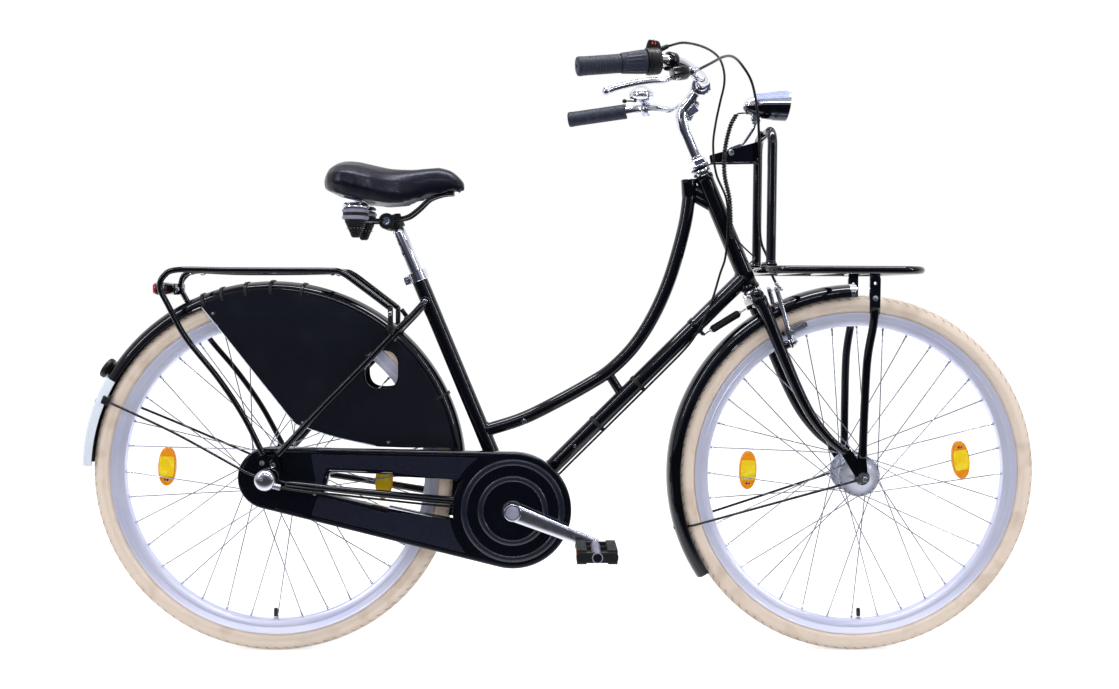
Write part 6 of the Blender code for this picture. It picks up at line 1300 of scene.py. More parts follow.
rails, clamps, fixings = [], [], []
for side in SIDES:
    points = [(-0.006, side * 0.0758, 0.401), (-0.045, side * 0.072, 0.476), (-0.092, side * 0.069, 0.546),
              (-0.153, side * 0.065, 0.622), (-0.188, side * 0.062, 0.685), (-0.2035, side * RACK_Y, 0.718),
              (-0.196, side * RACK_Y, 0.74), (-0.17, side * RACK_Y, RACK_Z), (-0.08, side * RACK_Y, RACK_Z),
              (0.03, side * RACK_Y, RACK_Z), (0.12, side * RACK_Y, RACK_Z), (0.142, side * 0.059, 0.748),
              (0.18, side * 0.056, 0.721), (0.234, side * 0.052, 0.68)]
    rails.append(tube(route(points, 150), 0.0056, 20))
    rails.append(plate(rounded([(-0.018, 0.374), (0.0, 0.374), (0.0, 0.404), (-0.014, 0.404)],
                               0.005, 5), side * 0.0708, side * 0.0733, 0.0005))
    fixings += hex_head((-0.009, side * 0.0733, 0.384), Y * side, 0.004, 0.0034)
    clamps.append(rod((0.234, side * 0.056, 0.682), (0.234, side * 0.0526, 0.63), 0.005, 20))
    clamps.append(lathe([(0.0063, -0.006), (0.0088, -0.005), (0.0088, 0.005), (0.0063, 0.006)],
                        (0.234, side * 0.053, 0.642), (0.35, 0.1 * side, 0.93), 28, True))
    fixings.append(allen((0.234, side * 0.0612, 0.67), Y * side, 0.0036, 0.0026))
for x in (-0.15, -0.01, 0.12):
    rails.append(rod((x, -RACK_Y, RACK_Z), (x, RACK_Y, RACK_Z), 0.0042, 20))
rails.append(tube(route([(-0.15, 0.0, RACK_Z), (-0.178, 0.0, 0.743), (-0.184, 0.0, 0.718),
                         (-0.1745, 0.0, 0.6955)], 28), 0.004, 16))
rails.append(block((-0.1865, 0.0, 0.715), (0.003, 0.06, 0.022), None, 0.0012, 3))
bands, hooks = [], []
for side in SIDES:
    for y in (0.04, 0.025):
        line = route([(-0.15, side * y, 0.7478), (-0.08, side * y, 0.745),
                      (0.03, side * y, 0.7455), (0.12, side * y, 0.7478)], 40)
        bands.append(tube(line, 0.0038, 12, flat=0.32, flat_axis=Z))
    for x in (-0.15, 0.12):
        hooks.append(tube(route([(x - 0.005, side * 0.0325, 0.745), (x, side * 0.0325, 0.744),
                                 (x + 0.0052, side * 0.0325, 0.748), (x, side * 0.0325, 0.7574),
                                 (x - 0.0052, side * 0.0325, 0.752)], 22), 0.0013, 10))
piece("rear_carrier_rails", [(rails, enamel), (clamps, plastic), (fixings, zinc)], "frame",
      ["rear_rack"])
piece("rear_carrier_bands", [(bands, black_rubber), (hooks, wire)], "frame")


def oval(x, half_w, low, high):
    """Ring with a rounded rectangular outline across X."""
    points = []
    for k in range(44):
        a = math.tau * k / 44
        points.append(Vector((x, half_w * squared(math.cos(a), 0.42),
                              (low + high) / 2 + (high - low) / 2 * squared(math.sin(a), 0.42))))
    return points


shell = skin([oval(*ring) for ring in (
    (-0.1884, 0.0106, 0.7092, 0.7208), (-0.189, 0.0112, 0.7088, 0.7212),
    (-0.1948, 0.0114, 0.7086, 0.7214), (-0.1962, 0.022, 0.7066, 0.7254),
    (-0.202, 0.0318, 0.7046, 0.7274), (-0.2088, 0.0384, 0.7034, 0.7286),
    (-0.215, 0.0399, 0.7029, 0.7291), (-0.2186, 0.0402, 0.7028, 0.7292))])
lens = skin([oval(*ring) for ring in (
    (-0.2184, 0.0386, 0.704, 0.728), (-0.2196, 0.0396, 0.7034, 0.7286),
    (-0.2236, 0.0388, 0.704, 0.728), (-0.2256, 0.0368, 0.7054, 0.7266),
    (-0.2263, 0.033, 0.7076, 0.7244))])
nutset = hex_head((-0.185, 0.018, 0.715), X, 0.0036, 0.003) + hex_head(
    (-0.185, -0.018, 0.715), X, 0.0036, 0.003)
piece("rear_lamp_lens_and_body", [(shell, smoke), (lens, red), (nutset, zinc)], "frame",
      ["rear_lamp"])

hub_face = Vector((0.0, -0.0803, WHEEL_Z - 0.002))
cap = lathe([(0.0, 0.0), (0.0176, 0.0), (0.0186, 0.001), (0.0199, 0.004), (0.0203, 0.0064),
             (0.0199, 0.0108), (0.0184, 0.0138), (0.016, 0.0158), (0.0124, 0.0174), (0.008, 0.0184),
             (0.0, 0.0188)], hub_face, -Y, 64)
groove = lathe([(0.0201, 0.005), (0.0207, 0.0056), (0.0207, 0.0072), (0.0201, 0.0078)], hub_face, -Y,
               64, True)
guide_line = [Vector((0.004, -0.008, -0.006)), Vector((0.012, -0.008, -0.0094)),
              Vector((0.03, -0.008, -0.0135))]
spout = tube(route([hub_face + point for point in guide_line], 20), 0.0055, 20, dome=False)
knurls = [lathe([(0.0046, -0.0016), (0.0063, -0.0014), (0.0063, 0.0014), (0.0046, 0.0016)],
                hub_face + guide_line[1].lerp(guide_line[2], t), (0.97, 0.0, -0.22), 12, True)
          for t in (0.35, 0.6, 0.85)]
screw = allen(hub_face + Vector((-0.004, -0.018, 0.004)), -Y, 0.0032, 0.0022)
piece("hub_shifter_box", [(cap, alloy), (groove, plastic), (spout, cast), (knurls, zinc),
                          (screw, zinc)], "frame", ["hub_shifter_cap"])


# Fork and steering

NUT_BASE = 0.2656
STEM_TOP = NUT_BASE + 0.017
head_turn = z_along(HEAD_UP)


def brake_pivot(side):
    """Middle of the stud that a brake arm turns on."""
    return head_point(-0.118, 0.0265, side * 0.0435)


blades, studs = [], []
for side in SIDES:
    points = [head_point(-0.012, 0.0, side * 0.04), head_point(-0.04, 0.002, side * 0.0435),
              head_point(-0.11, 0.001, side * 0.0435), head_point(-0.2, 0.001, side * 0.0445),
              head_point(-0.265, 0.006, side * 0.047), head_point(-0.318, 0.02, side * 0.05),
              head_point(-0.354, 0.0375, side * 0.0522)]
    blades.append(tube(route(points, 60), 0.013, 32, [0.013 - 0.0055 * (k / 59) ** 1.4 for k in range(60)]))
    outline = (arc(WHEELBASE, WHEEL_Z, 0.0145, -190, 55, 28)
               + [(WHEELBASE - 0.024, WHEEL_Z + 0.056), (WHEELBASE - 0.041, WHEEL_Z + 0.045)])
    slot = arc(WHEELBASE, WHEEL_Z, AXLE_SLOT, 0, 180, 14) + [
        (WHEELBASE - AXLE_SLOT, WHEEL_Z - 0.0125), (WHEELBASE + AXLE_SLOT, WHEEL_Z - 0.0125)]
    blades.append(plate(outline, side * 0.0505, side * 0.0547, 0.0007, [slot]))
    pivot = brake_pivot(side)
    blades.append(rod(pivot - HEAD_FORWARD * 0.024, pivot - HEAD_FORWARD * 0.0075, 0.008, 28, 0.0012))
    studs.append(rod(pivot - HEAD_FORWARD * 0.01, pivot + HEAD_FORWARD * 0.006, 0.0038, 24))
    blades.append(ball(head_point(-0.0062, 0.0, side * 0.04), 0.0136, (1.0, 1.0, 0.9)))
crown = block(head_point(CROWN + 0.0115), (0.03, 0.104, 0.0225), head_turn, 0.0088, 5)
blades += [crown, rod(head_point(CROWN + 0.004), head_point(STEM_TOP - 0.001), 0.0127, 40),
           rod(head_point(CROWN + 0.0045, -0.01), head_point(CROWN + 0.0045, -0.022), 0.0042, 20)]
race = lathe([(0.013, 0.0), (0.0185, 0.0), (0.0185, 0.0012), (0.0172, 0.002), (0.013, 0.002)],
             head_point(CROWN + 0.022), HEAD_UP, 56, True)
piece("fork_blades_and_crown", [(blades, enamel), (studs, zinc), (race, chrome)], "steering", ["fork"],
      34)

nut_flange = lathe([(0.0131, 0.0), (0.0182, 0.0), (0.0186, 0.0008), (0.0186, 0.005), (0.018, 0.006),
                    (0.0131, 0.006)], head_point(NUT_BASE), HEAD_UP, 60, True)
nut_hex = lathe([(0.0131, 0.006), (0.0178, 0.006), (0.0178, 0.0156), (0.0164, 0.017),
                 (0.0131, 0.017)], head_point(NUT_BASE), HEAD_UP, 6, True)
piece("headset_top_nut", [([nut_flange, nut_hex], chrome)], "steering", ["headset_locknut"])

BAR = Vector((0.832, 0.0, 1.115))
neck = [head_point(STEM_TOP + 0.002), head_point(STEM_TOP + 0.04), head_point(STEM_TOP + 0.068, 0.001),
        (0.7975, 0.0, 1.066), (0.812, 0.0, 1.088), (0.8265, 0.0, 1.108)]
stem = [tube(route(neck, 44), 0.0117, 40),
        lathe([(0.0, -0.12), (0.0108, -0.12), (0.0108, 0.0003), (0.0123, 0.0006), (0.0127, 0.0016),
               (0.0127, 0.005), (0.012, 0.0062), (0.0, 0.0062)], head_point(STEM_TOP), HEAD_UP, 40),
        lathe([(0.0127, -0.02), (0.0172, -0.02), (0.0183, -0.019), (0.0185, -0.016),
               (0.0185, 0.016), (0.0183, 0.019), (0.0172, 0.02), (0.0127, 0.02)], BAR, Y, 64, True),
        block((0.817, 0.0, 1.07), (0.024, 0.015, 0.018), tilt(-35), 0.003, 4)]
lamp_bolts = [rod((0.813, 0.0, 1.056), (0.826, 0.0, 1.083), 0.0052, 24)]
lamp_bolts += hex_head((0.8262, 0.0, 1.0834), (0.43, 0.0, 0.9), 0.0048, 0.004)
lamp_bolts.append(allen((0.8126, 0.0, 1.0554), (-0.43, 0.0, -0.9), 0.005, 0.0042))
# Dark strip in the stem's slit: painted shade
slit = block((0.849, 0.0, 1.109), (0.004, 0.0402, 0.0016), tilt(20), 0.0003)
piece("quill_stem", [(stem, chrome), (lamp_bolts, zinc), (slit, shade_and_dark_steel)], "steering", ["stem"],
      34)


def grip_line(side, back):
    """Point on a grip's axis, at a distance back from its front end."""
    start = Vector((0.708, side * 0.256, 1.1105))
    end = Vector((0.579, side * 0.282, 1.095))
    return start + (end - start).normalized() * back


GRIP_WAY = {side: (grip_line(side, 1) - grip_line(side, 0)).normalized() for side in SIDES}


def bar_half(side):
    """Axis of half the handlebar, from the clamp to its end."""
    points = [(0.832, side * 0.03, 1.115), (0.8312, side * 0.05, 1.1142), (0.826, side * 0.09, 1.11),
              (0.817, side * 0.14, 1.102), (0.804, side * 0.186, 1.099), (0.785, side * 0.213, 1.105),
              (0.76, side * 0.235, 1.112), grip_line(side, -0.024), grip_line(side, 0.01)]
    return route(points, 60) + [grip_line(side, 0.125)]


bar = tube(bar_half(RIGHT)[::-1] + bar_half(LEFT), 0.0111, 40, dome=False)
bulge = lathe([(0.0108, -0.034), (0.0125, -0.029), (0.0125, 0.029), (0.0108, 0.034)], BAR, Y, 48, True)
piece("swept_handlebar", [([bar, bulge], chrome)], "steering", ["handlebar"])


BAR_BORE = 0.0113


def grip_profile(length):
    """Outline of a ribbed grip with a closed, rounded end."""
    outer = 0.0162
    profile = [(BAR_BORE, 0.0), (outer * 0.93, 0.0), (outer * 0.99, 0.001), (outer, 0.0025), (outer, 0.006)]
    z = 0.0068
    while z < length - 0.018:
        profile += [(outer - 0.0004, z), (outer - 0.0004, z + 0.0008), (outer - 0.0001, z + 0.0012),
                    (outer - 0.0001, z + 0.0042)]
        z += 0.005
    profile += [(outer, length - 0.0105), (outer * 1.02, length - 0.0085), (outer * 1.02, length - 0.0035),
                (outer * 0.96, length - 0.001), (outer * 0.82, length), (0.004, length),
                (0.0036, length - 0.0018), (0.0, length - 0.0018)]
    return profile


piece("left_grip_ribbed", [(lathe(grip_profile(0.1295), grip_line(LEFT, 0.0), GRIP_WAY[LEFT], 72),
                            grip)], "steering", ["left_grip"], 50)
piece("right_grip_ribbed", [(lathe(grip_profile(0.0765), grip_line(RIGHT, 0.053), GRIP_WAY[RIGHT], 72),
                             grip)], "steering", ["right_grip"], 50)

twist_rings = []
way = GRIP_WAY[RIGHT]
across = way.cross(Z).normalized()
rise = across.cross(way)
twist_stations = [(BAR_BORE, 0.0, 0), (0.0192, 0.0, 0), (0.0202, 0.0012, 0), (0.0205, 0.006, 0),
                  (0.0204, 0.0068, 1), (0.0198, 0.016, 1), (0.0189, 0.027, 1), (0.018, 0.038, 1),
                  (0.018, 0.0388, 0), (0.0176, 0.043, 0), (0.0166, 0.0459, 0), (BAR_BORE, 0.0459, 0)]
for radius, height, ribbed in twist_stations:
    ring_points = []
    for k in range(144):
        a = math.tau * k / 144
        r = radius - (0.0007 * (0.5 - 0.5 * math.cos(18 * a)) ** 0.6 if ribbed else 0.0)
        ring_points.append(grip_line(RIGHT, 0.0065 + height)
                           + (across * math.cos(a) + rise * math.sin(a)) * r)
    twist_rings.append(ring_points)
piece("twist_grip_fluted", [(skin(twist_rings, True), grip)], "twist", ["twist_grip"], 50)

house_start = -0.018
housing = lathe([(BAR_BORE, 0.0), (0.0205, 0.0), (0.0225, 0.0016), (0.0233, 0.0045), (0.0235, 0.02),
                 (0.023, 0.0232), (0.0222, 0.024), (BAR_BORE, 0.024)],
                grip_line(RIGHT, house_start), GRIP_WAY[RIGHT], 64, True)
seat_ring = lathe([(0.0228, 0.018), (0.0238, 0.0184), (0.0238, 0.0204), (0.0228, 0.0208)],
                  grip_line(RIGHT, house_start), GRIP_WAY[RIGHT], 64, True)
origin = grip_line(RIGHT, house_start + 0.012)
window_box = plate(rounded([(-0.013, 0.0), (0.014, 0.0), (0.01, 0.012), (-0.009, 0.015)], 0.004, 5),
                   -0.0095, 0.0095, 0.0018)
window_box.transform(Matrix.Translation(origin + Z * 0.0205))
marks = [block(origin + Vector((-0.002 + k * 0.0052, -0.0101, 0.0285 - k * 0.0004)),
               (0.0024, 0.001, 0.0046), tilt(12), 0.0004) for k in range(2)]
marks.append(block(origin + Vector((0.0005, 0.0, 0.0352)), (0.0016, 0.012, 0.0008), tilt(8), 0.0003))
pane = plate(rounded([(-0.008, 0.0), (0.0085, 0.0), (0.007, 0.007), (-0.0065, 0.0085)], 0.0025, 5),
             -0.0104, -0.0088, 0.0006)
pane.transform(Matrix.Translation(origin + Z * 0.0245))
snout = tube([origin + Vector((0.004, 0.0, 0.016)), Vector((0.7398, -0.2508, 1.1377))], 0.004, 24,
             [0.0052, 0.0038], dome=False)
piece("gear_shifter_housing", [([housing, window_box, snout], plastic), (seat_ring, casing), (pane, smoke),
                               (marks, orange)], "steering", ["shifter_housing"])

LEVER = Vector((0.756, -0.256, 1.088))
lever_axis = (grip_line(RIGHT, 1) - grip_line(RIGHT, 0)).cross(Vector((0.0, -0.28, -0.96))).normalized()
bar_dir = (Vector((0.76, -0.235, 1.112)) - grip_line(RIGHT, -0.024)).normalized()
clamp_at = Vector((0.746, -0.2436, 1.1128))
perch = [lathe([(0.0114, -0.0075), (0.0158, -0.0075), (0.0165, -0.0066), (0.0165, 0.0066),
                (0.0158, 0.0075), (0.0114, 0.0075)], clamp_at, bar_dir, 48, True)]
way = (LEVER - clamp_at).normalized()
cable_way = Vector((0.83, 0.5, 0.1))
fore = cable_way.normalized()
perch_up = fore.cross(lever_axis).normalized()
perch_rings = []
for share, wide, tall in ((0.0, 0.008, 0.01), (0.04, 0.0092, 0.0116), (0.3, 0.01, 0.0124),
                          (0.6, 0.0102, 0.0128), (0.9, 0.0096, 0.0122), (0.97, 0.0086, 0.0112),
                          (1.0, 0.0072, 0.0096)):
    at = LEVER - fore * 0.012 + fore * (0.036 * share) + Z * (0.002 + 0.002 * share)
    ring_points = []
    for k in range(32):
        c, s = math.cos(math.tau * k / 32), math.sin(math.tau * k / 32)
        ring_points.append(at + lever_axis * (tall * squared(c, 0.55))
                           + perch_up * (wide * squared(s, 0.55)))
    perch_rings.append(ring_points)
perch.append(skin(perch_rings))
perch.append(tube([clamp_at + way * 0.011, LEVER + way * 0.002], 0.0088, 28, [0.0082, 0.0092],
                  flat=0.8, flat_axis=lever_axis))
perch.append(tube(route([LEVER + fore * 0.02 + Z * 0.003, LEVER + Vector((0.03, 0.018, 0.0085))], 8),
                  0.0046, 24, dome=False))
barrel_knob = lathe([(0.003, 0.0), (0.0056, 0.0), (0.006, 0.0008), (0.006, 0.006), (0.0052, 0.007),
                     (0.003, 0.007)], LEVER + Vector((0.027, 0.016, 0.0083)), cable_way, 16, True)
perch_bolts = [allen(clamp_at - way * 0.015, -way, 0.0036, 0.0034)]
piece("brake_lever_clamp", [(perch, perch_lacquer), (barrel_knob, zinc), (perch_bolts, zinc)], "steering",
      ["brake_lever_perch"], 40)
points = [LEVER + Vector((-0.004, -0.001, -0.003)), (0.735, -0.2624, 1.078),
          (0.71, -0.2715, 1.0745), (0.68, -0.2765, 1.069), (0.65, -0.28, 1.061),
          (0.633, -0.282, 1.0545)]
blade_radii = [0.0034 + 0.0022 * min(k / 12, 1.0) + 0.0004 * k / 47 for k in range(48)]
lever = [tube(route(points, 48), 0.0054, 28, blade_radii, flat=0.72, flat_axis=lever_axis),
         ball((0.632, -0.2822, 1.054), 0.007, (1.0, 1.0, 1.0), 32),
         rod(LEVER - lever_axis * 0.0036, LEVER + lever_axis * 0.0036, 0.0084, 40, 0.001)]
pin = rod(LEVER - lever_axis * 0.0084, LEVER + lever_axis * 0.0084, 0.0024, 20)
piece("brake_lever_blade", [(lever, alloy), (pin, zinc)], "brake_lever", ["brake_lever"])

bell_at = Vector((0.738, 0.227, 1.124))
bell_ring = lathe([(0.0114, -0.006), (0.0145, -0.006), (0.015, -0.0052), (0.015, 0.0052),
                   (0.0145, 0.006), (0.0114, 0.006)], (0.75, 0.241, 1.1128),
                  Vector((0.76, 0.235, 1.112)) - grip_line(LEFT, -0.024), 48, True)
bell_foot = tube([(0.747, 0.237, 1.1253), (0.7395, 0.229, 1.131)], 0.006, 20)
bell_base = lathe([(0.0, 0.005), (0.018, 0.0052), (0.0235, 0.0082), (0.0258, 0.0106), (0.0263, 0.0118),
                   (0.0263, 0.0132), (0.0255, 0.0136), (0.0, 0.0136)], bell_at, Z, 72)
dome = []
for k in range(15):
    a = math.radians(90 * k / 14)
    dome.append((0.0266 * math.sin(a) ** 0.94, 0.0158 + 0.0184 * max(math.cos(a), 0.0) ** 0.86))
inner = [(max(r - 0.0012, 0.0), h - 0.001) for r, h in dome[::-1]]
bell_dome = lathe(dome + inner, bell_at, Z, 96)
# Dark rings in the bell's grooves: painted shade
bell_grooves = [lathe([(r - 0.0004, h - 0.0001), (r, h + 0.0003), (r + 0.0004, h - 0.0001)], bell_at, Z, 96)
                for r, h in ((0.0262, 0.0196), (0.0118, 0.0334))]
bell_screw = allen(bell_at + Z * 0.034, Z, 0.003, 0.0014)
piece("two_part_bell", [([bell_base, bell_dome], chrome), ([bell_ring, bell_foot], wire),
                        (bell_grooves, shade_and_dark_steel), (bell_screw, zinc)], "steering", ["bell"])
bell_pivot = Vector((0.723, 0.218, 1.1247))
thumb = [tube(route([bell_pivot + Vector((0, 0, 0.0015)), bell_pivot + Vector((-0.011, 0.0003, 0.0019)),
                     bell_pivot + Vector((-0.02, 0.0, 0.0015))], 16), 0.0017, 14),
         rod(bell_pivot, bell_pivot + Z * 0.0034, 0.0042, 28, 0.0006),
         ball(bell_pivot + Vector((-0.022, 0.0, 0.0015)), 0.005, (1.0, 1.0, 0.92), 28)]
piece("bell_thumb_lever", [(thumb, plastic)], "bell_lever", ["bell_lever"])


# Front carrier

FRONT_X, BACK_X, RIM_Y, CORNER = 1.236, 0.952, 0.15, 0.045
STRUT_X = 1.162
ARCH_X, ARCH_Y = 0.962, 0.07
loop = []
for x, side, start in ((FRONT_X - CORNER, LEFT, 0), (BACK_X + CORNER, LEFT, 90),
                       (BACK_X + CORNER, RIGHT, 180), (FRONT_X - CORNER, RIGHT, 270)):
    for px, py in arc(x, side * 0.105, CORNER, start, start + 90, 16):
        loop.append((px, py, PLATFORM_Z))
shapes = [tube(loop, 0.0073, 28, closed=True)]
for x in (1.02, 1.091, STRUT_X):
    shapes.append(rod((x, -RIM_Y, PLATFORM_Z), (x, RIM_Y, PLATFORM_Z), 0.006, 24))
    for side in SIDES:
        shapes.append(weld((x, side * 0.1, PLATFORM_Z), Y * side, 0.006,
                           Vector((x, side * RIM_Y, PLATFORM_Z)), X, 0.0073, 0.0012))
for side in SIDES:
    inner = side * 0.0734
    shapes.append(plate(rounded([(1.152, 0.7), (1.172, 0.7), (1.172, 0.757), (1.152, 0.757)], 0.006, 5),
                        inner, inner - side * 0.003, 0.0005, [arc(STRUT_X, 0.733, 0.003, 0, 340, 16)]))
    shapes.append(block((0.958, side * ARCH_Y, 0.763), (0.03, 0.024, 0.004), None, 0.0014, 3))
piece("front_carrier_platform", [(shapes, enamel)], "steering", ["front_rack"])

points = []
for side in SIDES:
    leg = [(ARCH_X, side * ARCH_Y, 0.768), (ARCH_X, side * ARCH_Y, 0.85), (ARCH_X, side * ARCH_Y, 0.94)]
    for y, z in arc(side * 0.04, 0.994, 0.03, 0 if side > 0 else 180, 90, 14):
        leg.append((ARCH_X, y, z))
    points += leg if side < 0 else leg[::-1]
feet = [block((0.958, side * ARCH_Y, 0.7673), (0.029, 0.019, 0.004), None, 0.0014, 3) for side in SIDES]
feet_bolts = []
for side in SIDES:
    feet_bolts += hex_head((0.9485, side * ARCH_Y, 0.7693), Z, 0.0036, 0.0032)
    feet.append(lathe([(0.0092, 0.0), (0.0122, 0.0), (0.01, 0.003), (0.0092, 0.006)],
                      (ARCH_X, side * ARCH_Y, 0.7692), Z, 32, True))
piece("front_carrier_arch", [([tube(points, 0.0092, 32, dome=False)] + feet, enamel),
                             (feet_bolts, zinc)], "steering", ["front_hoop"])

BRACKET = 0.2623
front_x = 0.9625 - 0.0095
bracket = [lathe([(0.013, 0.0), (0.019, 0.0), (0.019, 0.003), (0.013, 0.003)],
                 head_point(BRACKET), HEAD_UP, 56, True),
           block(head_point(BRACKET + 0.0015, 0.0185), (0.018, 0.018, 0.003), head_turn, 0.0006),
           plate(rounded([(0.8555, 0.9655), (front_x - 0.001, 0.968), (front_x - 0.001, 1.012),
                          (0.852, 0.983)], 0.003, 4), -0.0015, 0.0015, 0.0005,
                 [arc(0.895, 0.9885, 0.0032, 0, 340, 16)]),
           rod((0.856, 0.0, 0.9672), (front_x - 0.002, 0.0, 0.9694), 0.0024, 14),
           block((front_x - 0.0015, 0.0, 0.999), (0.003, 0.024, 0.062), None, 0.001, 3)]
bracket_bolts = []
for z in (0.976, 1.02):
    bracket_bolts += hex_head((front_x - 0.003, 0.0, z), -X, 0.004, 0.0034)
piece("arch_bracket_plate", [(bracket, enamel), (bracket_bolts, zinc)], "steering", ["hoop_bracket"])

for side, name in NAMED_SIDES:
    points = [(STRUT_X, side * 0.0767, 0.684), (1.159, side * 0.0755, 0.65), (1.15, side * 0.0725, 0.586),
              (1.1475, side * 0.068, 0.49), (1.147, side * 0.0645, 0.415), (1.147, side * 0.0636, 0.398)]
    radii = [0.008 + 0.0012 * max(0.0, 1 - k / 4) + 0.001 * max(0.0, (k - 55) / 4) for k in range(60)]
    leg = tube(route(points, 60), 0.008, 28, radii)
    top = plate(arc(STRUT_X, 0.678, 0.0102, 180, 360, 20) + arc(STRUT_X, 0.74, 0.0102, 0, 180, 20),
                side * 0.0737, side * 0.0767, 0.0006, [arc(STRUT_X, 0.733, 0.0031, 0, 340, 18)])
    foot = plate(arc(WHEELBASE, WHEEL_Z, 0.0105, 165, 375, 28) + [(1.155, 0.405), (1.139, 0.405)],
                 side * 0.055, side * 0.058, 0.0006, [arc(WHEELBASE, WHEEL_Z, AXLE_SLOT, 0, 345, 22)])
    strut_bolts = []
    for z in (0.704, 0.676):
        strut_bolts.append(lathe([(0.0, 0.0), (0.0052, 0.0), (0.005, 0.0016), (0.0034, 0.0026),
                                  (0.0, 0.0029)], (STRUT_X, side * 0.0767, z), Y * side, 28))
        strut_bolts += hex_head((STRUT_X, side * 0.0704, z), -Y * side, 0.0036, 0.003)
    piece(name + "_carrier_strut", [([leg, top, foot], enamel), (strut_bolts, zinc)], "steering",
          [name + "_strut"])


# Headlamp

LAMP = Vector((0.918, 0.0, 1.08))
outer_line = [(0.0, 0.0), (0.004, 0.0001), (0.0072, 0.001), (0.011, 0.004), (0.015, 0.009),
              (0.0188, 0.018), (0.0218, 0.029), (0.0222, 0.03), (0.023, 0.0302), (0.0246, 0.042),
              (0.0262, 0.056), (0.0266, 0.06), (0.0274, 0.0604), (0.0281, 0.074), (0.0285, 0.0868),
              (0.0286, 0.0876), (0.0282, 0.088), (0.0274, 0.0878)]
inner_line = [(0.027, 0.074), (0.0258, 0.06), (0.0236, 0.044), (0.0208, 0.031), (0.014, 0.012),
              (0.0, 0.005)]


def lamp_part(profile):
    """Turned part of the lamp, leant at its mouth so that the upper rim reaches further."""
    mesh = lathe(profile, LAMP, X, 96)
    for vert in mesh.vertices:
        along = vert.co.x - LAMP.x
        vert.co.x += (vert.co.z - LAMP.z) * 0.14 * max(along / 0.088, 0.0) ** 2
    return mesh


lamp_shell = lamp_part(outer_line)
lamp_inside = lamp_part([outer_line[-1]] + inner_line)
beam_lens = lathe([(0.0, 0.0), (0.024, 0.0), (0.0244, 0.003), (0.02, 0.0052), (0.012, 0.0068),
                   (0.0, 0.0074)], LAMP + X * 0.055, X, 64)
bulb = lathe([(0.0, 0.0), (0.0044, 0.0), (0.0044, 0.006), (0.003, 0.01), (0.0, 0.0115)],
             LAMP + X * 0.03, X, 28)
shoe = block((0.943, 0.0, 1.056), (0.02, 0.012, 0.015), None, 0.003, 4)


def parted(mesh, height):
    """The upper and the lower part of a mesh, split at a height."""
    parts = []
    for up in (True, False):
        bm = bmesh.new()
        bm.from_mesh(mesh)
        away = [f for f in bm.faces if (f.calc_center_median().z > height) != up]
        bmesh.ops.delete(bm, geom=away, context="FACES")
        part = bpy.data.meshes.new("shape")
        bm.to_mesh(part)
        bm.free()
        parts.append(part)
    return parts


# The shell is parted at the middle so that its lower half takes the darker chrome: painted shade
lamp_top, lamp_shaded_belly = parted(lamp_shell, LAMP.z - 0.002)
visor_rings = []
for k in range(15):
    x = 0.94 + 0.064 * k / 14
    r = 0.0226 + 0.0068 * min((x - 0.936) / 0.056, 1.0)
    low_x = [Vector((x, r * math.cos(a), LAMP.z + r * math.sin(a)))
             for a in [math.radians(22 + 136 * j / 24) for j in range(25)]]
    high_x = [p + (Vector((x, 0, LAMP.z)) - p).normalized() * 0.0011 for p in low_x]
    visor_rings.append(low_x + high_x[::-1])
visor = skin(visor_rings)
nipple = lathe([(0.0, 0.0), (0.0034, 0.0), (0.0034, 0.004), (0.0024, 0.0052), (0.0, 0.0052)],
               LAMP + Vector((0.0085, 0.0, -0.0108)), (-0.2, 0.0, -1.0), 20)
piece("bullet_headlamp", [([lamp_top, shoe], chrome), (lamp_shaded_belly, belly_shade_chrome), (visor, visor_resin),
                          (lamp_inside, wire), (bulb, pale),
                          (nipple, plastic)], "steering", ["headlamp"], 32)
piece("headlamp_fluted_lens", [(beam_lens, glass)], "steering", ["headlamp_lens"])
LAMP_BOLT = Vector((0.895, 0.0, 0.9885))
tab = plate(rounded([(0.886, 0.98), (0.904, 0.98), (0.922, 0.996), (0.916, 1.008),
                     (0.89, 0.998)], 0.006, 6), 0.0018, 0.0043, 0.0005)
rod_line = tube(route([(0.91, 0.005, 0.995), (0.917, 0.005, 1.004), (0.925, 0.0042, 1.014),
                       (0.938, 0.0015, 1.035), (0.943, 0.0, 1.047)], 30), 0.0031, 20)
lamp_seat = block((0.943, 0.0, 1.046), (0.016, 0.011, 0.004), None, 0.001, 3)
lamp_nut = hex_head(LAMP_BOLT + Y * 0.0043, Y, 0.0046, 0.0036)
lamp_head = [rod(LAMP_BOLT - Y * 0.003, LAMP_BOLT + Y * 0.006, 0.0029, 20),
             allen(LAMP_BOLT - Y * 0.0017, -Y, 0.0056, 0.0044)]
piece("headlamp_stay", [([tab, rod_line, lamp_seat], chrome), (lamp_nut, zinc), (lamp_head, zinc)],
      "steering", ["headlamp_bracket"])


# Rim brake

